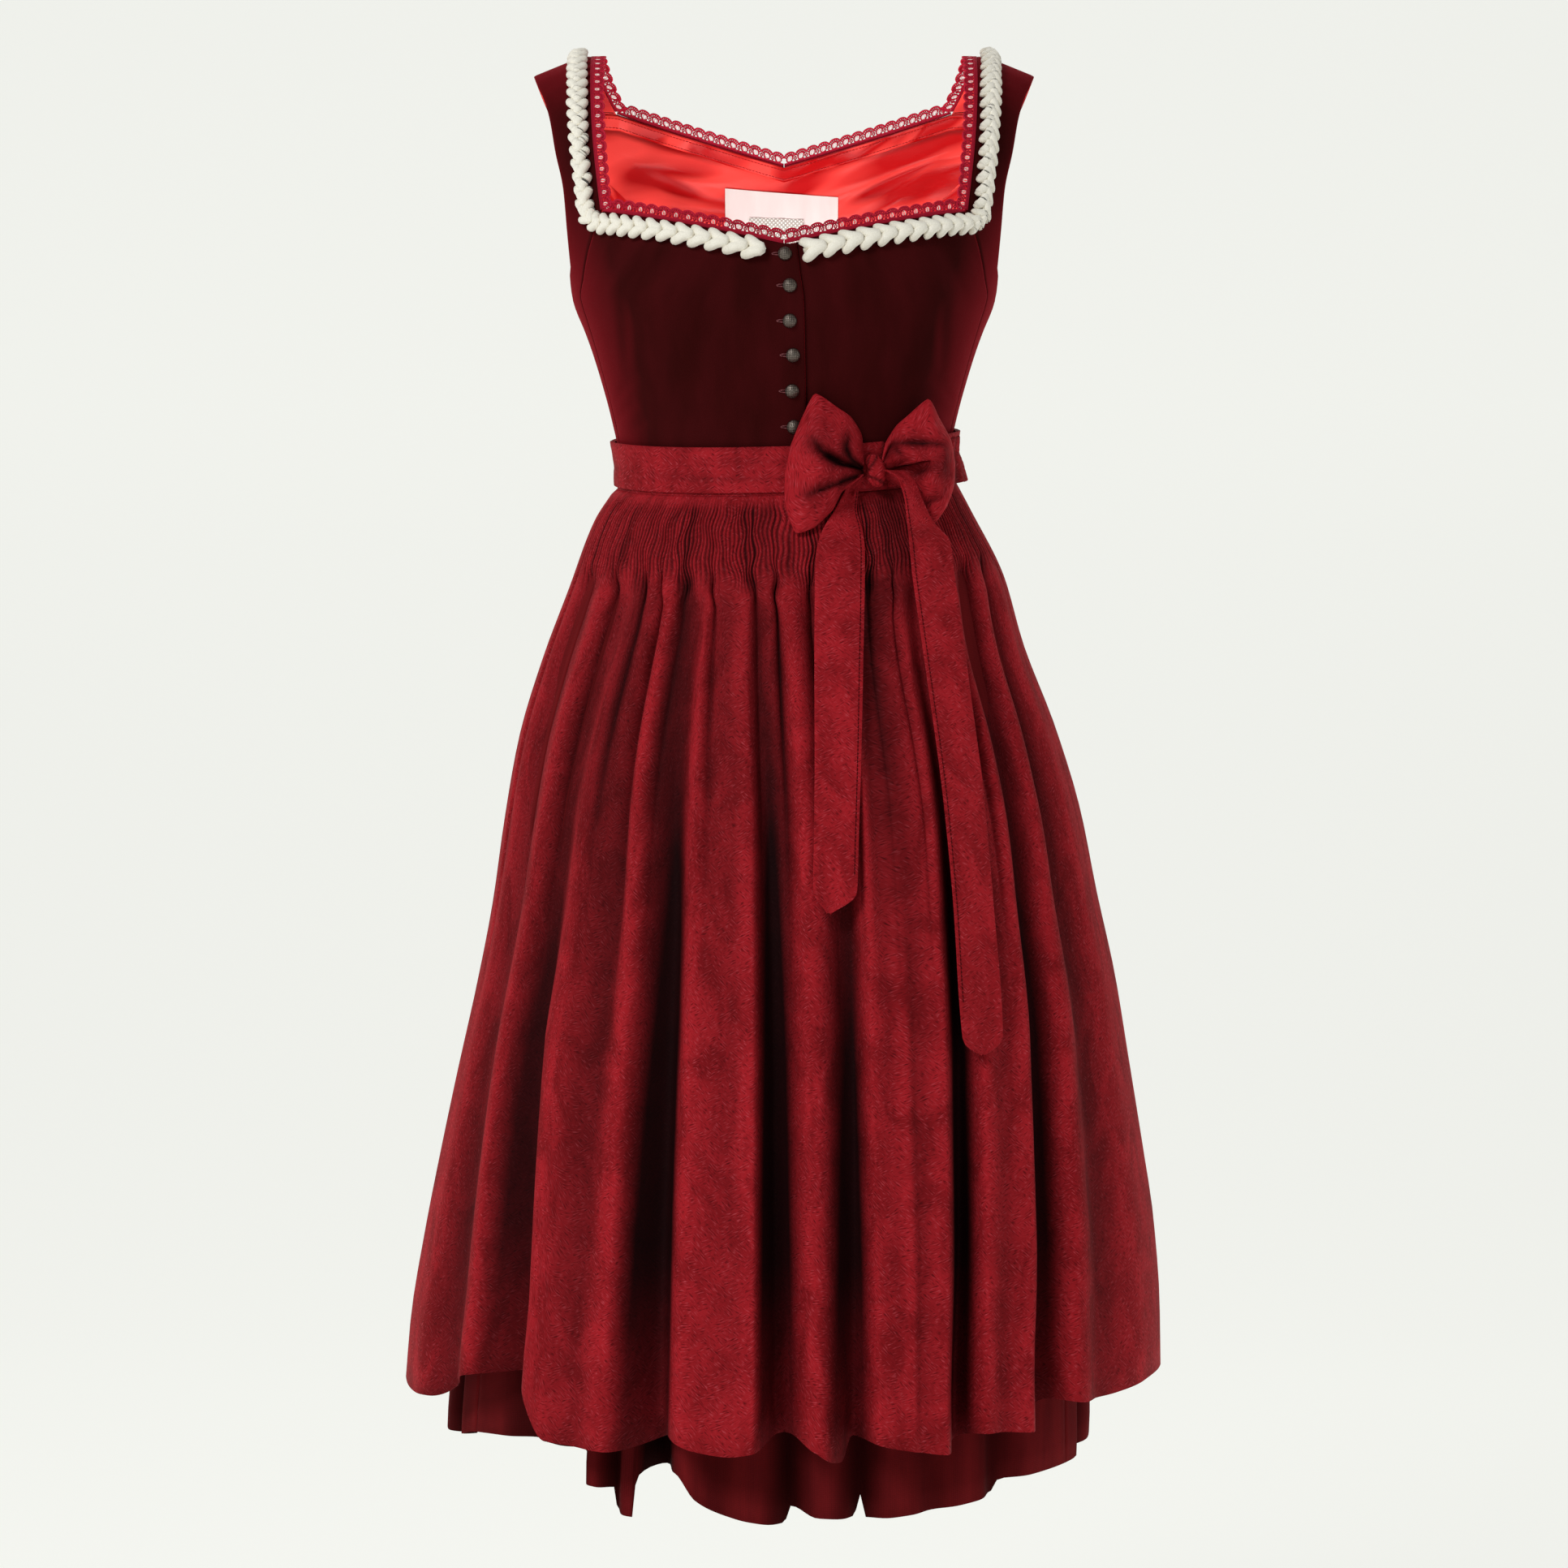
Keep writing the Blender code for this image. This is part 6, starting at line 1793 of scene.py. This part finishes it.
        # The back runs in from the outline, a hair behind it, so that the two share no edge
        w = np.linspace(0, 1, 6)[:, None]
        back_spot = mix(edge[None], centre[None, None], w[..., None] * 0.98)
        back_stand = mix(foot[None, :], foot.min(), ramp(w, 0, 0.5)) - 0.0018 * ramp(w, 0, 0.3)
        back = stack(back_spot[..., 0], 0.0001 - back_stand, back_spot[..., 1])
        if side is Side.LEFT:
            grid, tone, back = grid[:, ::-1], tone[:, ::-1], back[:, ::-1]
        node = f"bow_loop_{side.word}"
        more = [(back, True)]
        sew_sheet(f"jacquard_{node}", grid, JACQUARD, self.loop_wall, [node], more, tone)

    def build_knot(self) -> None:
        """The knot: a rounded roll, pinched at its left, with creases that fan out from there."""
        turn = circle(72)
        v = np.linspace(-0.992, 0.992, 40)[:, None]
        stand = float(self.front_of(self.knot[0], self.knot[1]))
        swell = (1 - np.abs(v) ** 5) ** 0.5 * (0.86 + 0.14 * np.cos(3.0 * v))
        # The wraps fan out from a pinch at the knot's left
        up, over = v - 0.30, np.cos(turn) + 1.15
        slant, away = np.arctan2(up, over), np.hypot(up, over)
        wraps = sum(bell((slant - centre) * away, 0.13) for centre in self.wraps)
        gather = 0.10 * np.sin(turn * 9 + 5 * v) * np.abs(v) ** 2
        size = swell * (1 - 0.17 * wraps + gather)
        wide, high, deep = self.knot_size
        x = self.knot[0] + 0.0010 + wide * size * np.cos(turn) - 0.0016 * v
        y = -stand - 0.0078 - deep * size * np.sin(turn)
        z = self.knot[1] + high * v + 0 * turn
        cloth = Cloth()
        # Painted shade in the wraps' grooves
        tone = 1 - 0.68 * np.clip(wraps, 0, 1)
        cloth.add_grid(stack(x, y, z)[::-1], tone=tone, around=True, turned=True)
        cloth.make("jacquard_bow_knot", JACQUARD, nodes=["bow_knot"])

    def build_tail(self, word: str, table: Array) -> None:
        """One hanging end: the table's edges, a slight roll of its sides, soft creases and a hem."""
        curve = table * MM
        height = mix(curve[0, 0], curve[-1, 0], edged(90))[:, None]
        left, right, stand = (monotone(curve, height, k) for k in (1, 2, 3))
        u = edged(16)[None, :]
        x = mix(left, right, u)
        z = height + 0 * u
        curl = 0.0010 * (2 * u - 1) ** 2 + 0.0009 * np.sin(z * 31 + 2.2 * u)
        curl = np.maximum(curl - troughs(x, z, self.tail_creases), -0.0006)
        grid = rolled(stack(x, -self.front_of(x, z) - stand - curl - 0.0004, z), *TAIL_TURN)
        sew_sheet(f"jacquard_tail_{word}", grid, JACQUARD, self.ribbon, [f"tail_{word}"])
        # Down one side, well inside the turned edges
        line = (slice(6, -10), 5 if word == "long" else -6)
        path, out = grid[line], grid_normals(grid)[line]
        stitches(f"tail_{word}_side_stitches", path, out, WINE_THREAD, 0.0028, 0.0022, 0.00034)


# Buttons and buttonholes


@dataclass
class Buttons:
    """Six domed buttons with a cast basket weave, each with a worked buttonhole."""

    radius: float = 0.0050
    height: float = 0.0034
    strand: float = 0.00125
    relief: float = 0.00034
    stand: float = 0.0004
    # Below the dome: radius and height as shares, from the back round the rim
    rim: Array = measures([[0.70, 0.02], [0.92, 0.02], [1.0, 0.10]])
    # The dome's edge as the same shares, and where its rings stop
    dome: Pair = (0.86, 0.30)
    middle: float = 0.012
    # The buttonhole: half width, half height, thread, and how far it lies to the side
    hole: Pair = (0.0050, 0.0009)
    hole_thread: float = 0.00038
    hole_shift: float = 0.0042
    # Height and distance from the middle
    places: Array = measures([
        [-0.1685, 0.0006], [-0.191, 0.004], [-0.2153, 0.004], [-0.2386, 0.0063], [-0.263, 0.0057],
        [-0.2876, 0.0069],
    ])

    def build(self) -> None:
        """Build the buttons and the holes' threads."""
        holes = Cloth()
        for number, (height, x) in enumerate(self.places, 1):
            angle = FIGURE.angle_at(x, height)
            here = FIGURE.torso(angle, height)
            out = FIGURE.outward(angle, height)
            across = unit(FIGURE.torso(angle + 1, height) - FIGURE.torso(angle - 1, height))
            up = np.cross(out, across)
            self.build_button(number, here, across, up, out)
            t = circle(24)[0]
            middle = here - across * self.hole_shift + out * 0.0003
            oval = np.outer(np.cos(t) * self.hole[0], across) + np.outer(np.sin(t) * self.hole[1], up)
            holes.add_tubes((middle + oval)[None], self.hole_thread, 6, True, 0.5 + 0.5 * np.sin(9 * t))
        holes.make("buttonholes", HOLE_THREAD)

    def build_button(self, number: int, here: Array, across: Array, up: Array, out: Array) -> None:
        """One button: a dome of height 1 - r^2 with strands that pass over and under in turn.

        Args:
            number: the button's number.
            here: the point of the cloth under its middle.
            across: its sideways direction.
            up: its upward direction.
            out: its outward direction.
        """
        edge, foot = self.dome
        dome = np.linspace(edge, self.middle, 26)
        share = np.concatenate([self.rim[:, 0], dome])[:, None]
        rise = np.concatenate([self.rim[:, 1], foot + (1 - foot) * (1 - (dome / edge) ** 2)])[:, None]
        on_dome = np.concatenate([np.zeros(len(self.rim)), np.ones(len(dome))])[:, None]
        turn = circle(72)
        a = share * np.cos(turn) * self.radius
        b = share * np.sin(turn) * self.radius
        over = (np.floor(a / self.strand) + np.floor(b / self.strand)) % 2
        waves = [np.abs(np.sin(math.pi * (c / self.strand))) for c in (a, b)]
        lying, standing = (p**0.5 * (0.5 + 0.5 * q) for p, q in (waves, waves[::-1]))
        relief = np.where(over > 0, lying, standing)
        lift = self.height * rise + self.relief * relief * on_dome + self.stand
        grid = here + a[..., None] * across + b[..., None] * up + lift[..., None] * out
        cloth = Cloth()
        cloth.add_grid(grid, tone=mix(0.3, relief, on_dome), around=True, turned=True)
        cloth.make(f"silver_button_{number}", OLD_SILVER, nodes=[f"button_{number}"])


# Lace and braid


@dataclass
class Trims:
    """The guipure lace round the neck and the velour braid on the velvet."""

    bodice: Bodice
    step: float = 0.003
    pitch: float = 0.0091
    height: float = 0.0096
    gap: float = 0.0005
    # Front and back lace are squeezed to this share at the corner
    squeeze: float = 0.30
    # Foot cords: height, radius, tone, the painted shade, darker on the lower cords
    feet: Array = measures([[-0.0007, 0.00060, 0.45], [0.0003, 0.00062, 0.6], [0.0013, 0.00058, 0.7]])
    # Fans: half width as a share of the pitch, height of their foot, height of their arc
    fan: tuple[float, float, float] = (0.50, 0.0056, 0.0034)
    rays: int = 7
    knob: Array = measures([[0.96, 0.0006], [1.05, 0.00075], [1.14, 0.00025]])
    # Braid: how far in from the edge, links on the strap and in front, the front's growth, the core
    inset: float = 0.0097
    strap_pitch: float = 0.0100
    front_pitch: float = 0.0108
    mean_pitch: float = 0.0098
    growth: Pair = (0.74, 1.26)
    core: Pair = (0.0016, 0.0019)
    margin: float = 0.0012
    end_right: float = 0.0150
    end_left: float = 0.0125
    # One arm of a link: across in millimetres, along in pitches, lift and radius in millimetres
    link: Array = measures([
        [0.4, 0.76, 3.9, 2.5], [0.7, 0.55, 4.4, 3.1], [1.2, 0.32, 4.5, 3.4], [2.4, 0.08, 3.9, 3.4],
        [4.1, -0.12, 3.1, 3.3], [5.3, -0.32, 2.5, 3.1], [4.9, -0.5, 1.5, 2.6],
    ])

    def build(self) -> None:
        """Build six lengths of lace and two of braid."""
        paths = self.neck_paths()
        spans = (("front", 0.0016, -0.0001), ("strap", 0.0010, -0.0004), ("back", 0.0012, -0.0001))
        for key, start, end in spans:
            edge, beyond = paths[key]
            for side in Side:
                turned = np.array([float(side.value), 1.0, 1.0])
                self.build_lace(f"lace_{key}_{side.word}", edge * turned, beyond * turned, start, end)
        for side in Side:
            self.build_braid(side)

    def neck_paths(self) -> dict[str, tuple[Array, Array]]:
        """The neck's edges on the velvet, each with a path just beyond the cloth."""
        b = self.bodice
        t = np.linspace(0, 1, 60)
        front_x = mix(b.neck_half, 0.0, t)
        front = b.neck(front_x)
        back_x = mix(float(monotone(b.back_inner, b.back_corner, 1)), 0.0, t)
        back = mix(b.back_corner, b.back_middle, t)
        up = np.linspace(b.back_corner, -0.0006, 30)
        down = np.linspace(0, b.neck_corner, 70)
        up_x = monotone(b.back_inner, up, 1)
        down_x = monotone(b.strap_inner, down, 1)
        strap, inside = (
            np.concatenate([FIGURE.at(up_x - step, up, True), FIGURE.at(down_x - step, down)])
            for step in (0.0, self.step)
        )
        return {
            "front": (FIGURE.at(front_x, front), FIGURE.at(front_x, front + self.step)),
            "strap": (strap, inside),
            "back": (FIGURE.at(back_x, back, True), FIGURE.at(back_x, back + self.step, True)),
        }

    def build_lace(self, name: str, edge: Array, beyond: Array, start: float, end: float) -> None:
        """One length of lace: foot cords, arched openings, small loops, and fans with picots.

        Each thread is drawn flat, as a distance along the pitch and a height above the edge, and
        then carried to the neck's own directions. Front and back lengths are squeezed low at the
        corner, where they are folded under the strap's.

        Args:
            name: the solid's name.
            edge: the cloth's edge.
            beyond: a path just beyond it.
            start: where the lace starts along the edge.
            end: where it ends, from the edge's end.
        """
        travelled = lengths_along(edge)
        total = travelled[-1] + end - start
        cells = round(total / self.pitch)
        pitch = total / cells
        scale = pitch / self.pitch

        def carry(along: Array, up: Array) -> Array:
            """Points of the neck from distances along the lace and heights above the edge."""
            at = start + along
            rise = unit(along_path(at, travelled, unit(beyond - edge)))
            squeeze = 1.0 if "strap" in name else np.clip(at / (self.height + 0.0012), self.squeeze, 1.0)
            return along_path(at, travelled, edge) + rise * ((self.gap + up) * squeeze)[..., None]

        # Tones below 1 are painted shade on the cords, arcs and rays; a tone of 2 is the pale thread
        cloth = Cloth()
        run = np.linspace(0.0002, total - 0.0002, 6 * cells)
        for up, radius, tone in self.feet:
            cloth.add_tubes(carry(run, np.full_like(run, up))[None], radius, 6, False, tone)
        centre = (np.arange(cells) + 0.5)[:, None] * pitch
        between = np.arange(1, cells)[:, None] * pitch
        # Ovals: middles, half width, its power, height of the middle, half height, thread, corners, tone
        for at, wide, power, middle, high, thread, corners, points, tone in (
            (centre, 0.00245 * scale, 0.8, 0.0043, 0.0025, 0.00066, 5, 16, 0.8),
            (between, 0.00075, 1.0, 0.0036, 0.0014, 0.00055, 5, 10, 0.75),
            (centre, 0.00095, 1.0, 0.0038, 0.0019, 0.00040, 4, 10, 2.0),
        ):
            t = circle(points)
            up = middle + high * np.sin(t) + 0 * at
            cloth.add_tubes(carry(at + wide * powered(np.cos(t), power), up), thread, corners, True, tone)
        wide, foot, high = self.fan[0] * pitch, *self.fan[1:]
        arc = np.linspace(-0.06, math.pi + 0.06, 13)[None, :]
        up = foot + high * np.abs(np.sin(arc)) + 0 * centre
        cloth.add_tubes(carry(centre + wide * np.cos(arc) * 0.98, up), 0.00072, 6, False, 0.9)
        for slant in np.linspace(0.22, math.pi - 0.22, self.rays):
            reach = np.linspace(0, 1, 3)[None, :]
            across = mix(0.0024 * scale, 0.46 * pitch, reach) * math.cos(slant)
            up = mix(0.0046 + 0.0023 * math.sin(slant), foot + high * math.sin(slant), reach)
            cloth.add_tubes(carry(centre + across, up + 0 * centre), 0.00056, 4, False, 0.6)
            knob = self.knob[None, :, 0]
            across = wide * math.cos(slant) * knob * 0.93
            up = foot + 0.0036 * math.sin(slant) * knob
            cloth.add_tubes(carry(centre + across, up + 0 * centre), self.knob[:, 1], 4, False, 1.0)
        cloth.make(f"guipure_{name[5:]}", LACE_THREAD, nodes=[name])

    def braid_path(self, side: Side) -> tuple[Array, Array]:
        """The braid's middle line and its outward direction, down the strap and along the neck."""
        b = self.bodice
        down = np.linspace(-0.0006, b.neck_corner - 0.0015, BRAID_STEPS)
        x = monotone(b.strap_inner, down, 1) + self.inset
        end = self.end_right if side is Side.RIGHT else self.end_left
        corner = monotone(b.strap_inner, b.neck_corner, 1) + 0.002
        low_x = mix(corner, end, np.linspace(0.0, 1, BRAID_STEPS))
        low = b.neck(low_x) - self.inset
        angle = np.concatenate([FIGURE.angle_at(x, down), FIGURE.angle_at(low_x, low)])
        height = np.concatenate([down, low])
        turned = np.array([float(side.value), 1.0, 1.0])
        return FIGURE.torso(angle, height) * turned, FIGURE.outward(angle, height) * turned

    def build_braid(self, side: Side) -> None:
        """The chain braid: links of two plump arms, whose joined stem lies in the next link's notch.

        The stems point one way all round the neck, from the right shoulder to the left one.
        """
        path, out = self.braid_path(side)
        travelled = lengths_along(path)
        total = travelled[-1]
        strap = travelled[BRAID_STEPS - 1]
        front = total - strap
        on_strap = round(strap / self.strap_pitch)
        on_front = round(front / self.front_pitch)
        growing = mix(*self.growth, np.linspace(0, 1, on_front))
        pitch = np.concatenate([np.full(on_strap, strap / on_strap), growing * (front / growing.sum())])
        start = (np.cumsum(pitch) - pitch)[:, None]
        even = np.linspace(0, total, 400)
        middle = along_path(even, travelled, path)
        normal = unit(along_path(even, travelled, out))
        along = np.gradient(middle, axis=0)
        for _ in range(60):
            along[1:-1] = (along[:-2] + 2 * along[1:-1] + along[2:]) / 4
        along = unit(along - normal * np.sum(along * normal, axis=-1, keepdims=True))
        across = np.cross(normal, along)
        link = spline(self.link, 20)
        arms = []
        chance = np.random.default_rng(21 + side.value)
        for sign in (-1.0, 1.0):
            skew = 0.20 * sign * ramp(-start, -strap - 0.004, -strap + 0.004)
            at = start + pitch[:, None] * (0.5 + skew - side.value * link[None, :, 1])
            at = np.clip(at, self.margin, total - self.margin)
            here, aside, up = (along_path(at, even, part) for part in (middle, across, normal))
            plump = chance.uniform(0.93, 1.06, (len(pitch), 1))
            wide = sign * link[:, 0] * MM * plump
            lift = link[:, 2] * MM + 0 * start
            arms.append(here + aside * wide[..., None] + up * lift[..., None])
        share = np.linspace(0, 1, len(link))
        ends = np.sqrt(1 - np.clip(1 - np.minimum(share, 1 - share) / 0.13, 0, 0.97) ** 2)
        radius = link[:, 3] * MM * ends * np.sqrt(pitch[:, None] / self.mean_pitch)
        # Painted shade: darker where an arm lies low
        tone = np.clip(0.42 + 0.24 * (link[:, 2] - 1.0), 0.1, 1.0) + 0 * start
        cloth = Cloth()
        for arm in arms:
            cloth.add_tubes(arm, radius, 10, False, tone)
        lift, thick = self.core
        spine = np.linspace(self.margin, total - self.margin, 120)
        # The core lies under the arms, in painted shade
        cloth.add_tubes(along_path(spine, even, middle + normal * lift)[None], thick, 8, False, 0.40)
        cloth.make(f"velour_braid_{side.word}", VELOUR, nodes=[f"braid_{side.word}"])


# Studio


@dataclass
class Studio:
    """A plain pale sweep, soft lights and the photograph's camera."""

    distance: float = 2.3
    eye: float = -0.54
    lens: float = 71.43
    sensor: float = 36.0
    floor: float = -1.40
    # The sweep: front, foot of the curve, its radius, half width, height
    sweep: tuple[float, ...] = (-6.0, 2.2, 1.6, 8.0, 6.0)
    world: float = 0.15
    target: tuple[float, float, float] = (0.0, 0.0, -0.5)
    # Where each soft light stands, its side and its watts
    lights: tuple[tuple[str, tuple[float, float, float], float, float], ...] = (
        ("key", (-1.7, -2.4, 1.6), 1.2, 66.0),
        ("fill", (1.9, -2.4, 0.5), 1.6, 6.0),
        ("side_right", (-2.4, 0.2, 0.3), 1.4, 5.0),
        ("side_left", (2.4, 0.2, 0.3), 1.4, 9.0),
        ("behind", (0.0, 1.7, 1.6), 1.6, 12.0),
    )

    def build(self) -> None:
        """Build the sweep, the lights and the camera."""
        near, foot, radius, half, high = self.sweep
        turn = np.linspace(0, math.pi / 2, 20)
        y = np.concatenate([[near], foot + radius * np.sin(turn), [foot + radius]])
        z = np.concatenate([[0.0], radius * (1 - np.cos(turn)), [high]]) + self.floor
        cloth = Cloth()
        cloth.add_grid(stack(np.linspace(-half, half, 5)[None, :], y[:, None], z[:, None]), turned=True)
        cloth.plain("sweep", BACKDROP)
        for name, place, size, watts in self.lights:
            self.add_light(name, place, size, watts, self.target)
        # A small strip inside the neck lights the back lining
        inner = self.add_light("inner", (0.0, -0.05, -0.215), 0.22, 0.36, (0.0, 0.085, -0.09))
        inner.shape = "RECTANGLE"
        inner.size_y = 0.05
        world = bpy.data.worlds.new("studio")
        world.use_nodes = True
        background = world.node_tree.nodes["Background"]
        feed(background, {"Color": BACKDROP.colour, "Strength": self.world})
        bpy.context.scene.world = world
        bpy.context.scene.view_settings.view_transform = "Standard"
        data = bpy.data.cameras.new("camera")
        data.lens = self.lens
        data.sensor_width = self.sensor
        camera = bpy.data.objects.new("camera", data)
        camera.location = (0.0, -self.distance, self.eye)
        camera.rotation_euler = (math.pi / 2, 0.0, 0.0)
        bpy.context.collection.objects.link(camera)
        bpy.context.scene.camera = camera

    def add_light(
        self, name: str, place: Sequence[float], size: float, watts: float, target: Sequence[float],
    ) -> bpy.types.AreaLight:
        """A square soft light that faces a target, from its place, side and watts."""
        data = bpy.data.lights.new(name, "AREA")
        data.size = size
        data.energy = watts
        light = bpy.data.objects.new(name, data)
        light.location = place
        aim = np.array(target) - np.array(place)
        yaw = math.atan2(aim[1], aim[0]) - math.pi / 2
        pitch = math.atan2(aim[2], math.hypot(aim[0], aim[1]))
        light.rotation_euler = (math.pi / 2 + pitch, 0.0, yaw)
        bpy.context.collection.objects.link(light)
        return data


APRON = Apron()


def main() -> None:
    """Load the frame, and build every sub-assembly and the studio."""
    logging.basicConfig(level=logging.INFO, format="%(name)s: %(message)s")
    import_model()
    bodice = Bodice()
    for part in (bodice, Skirt(), APRON, WaistTies(), Bow(), Buttons(), Trims(bodice), Studio()):
        part.build()
        LOG.info("built %s", type(part).__name__)


if __name__ == "__main__":
    main()
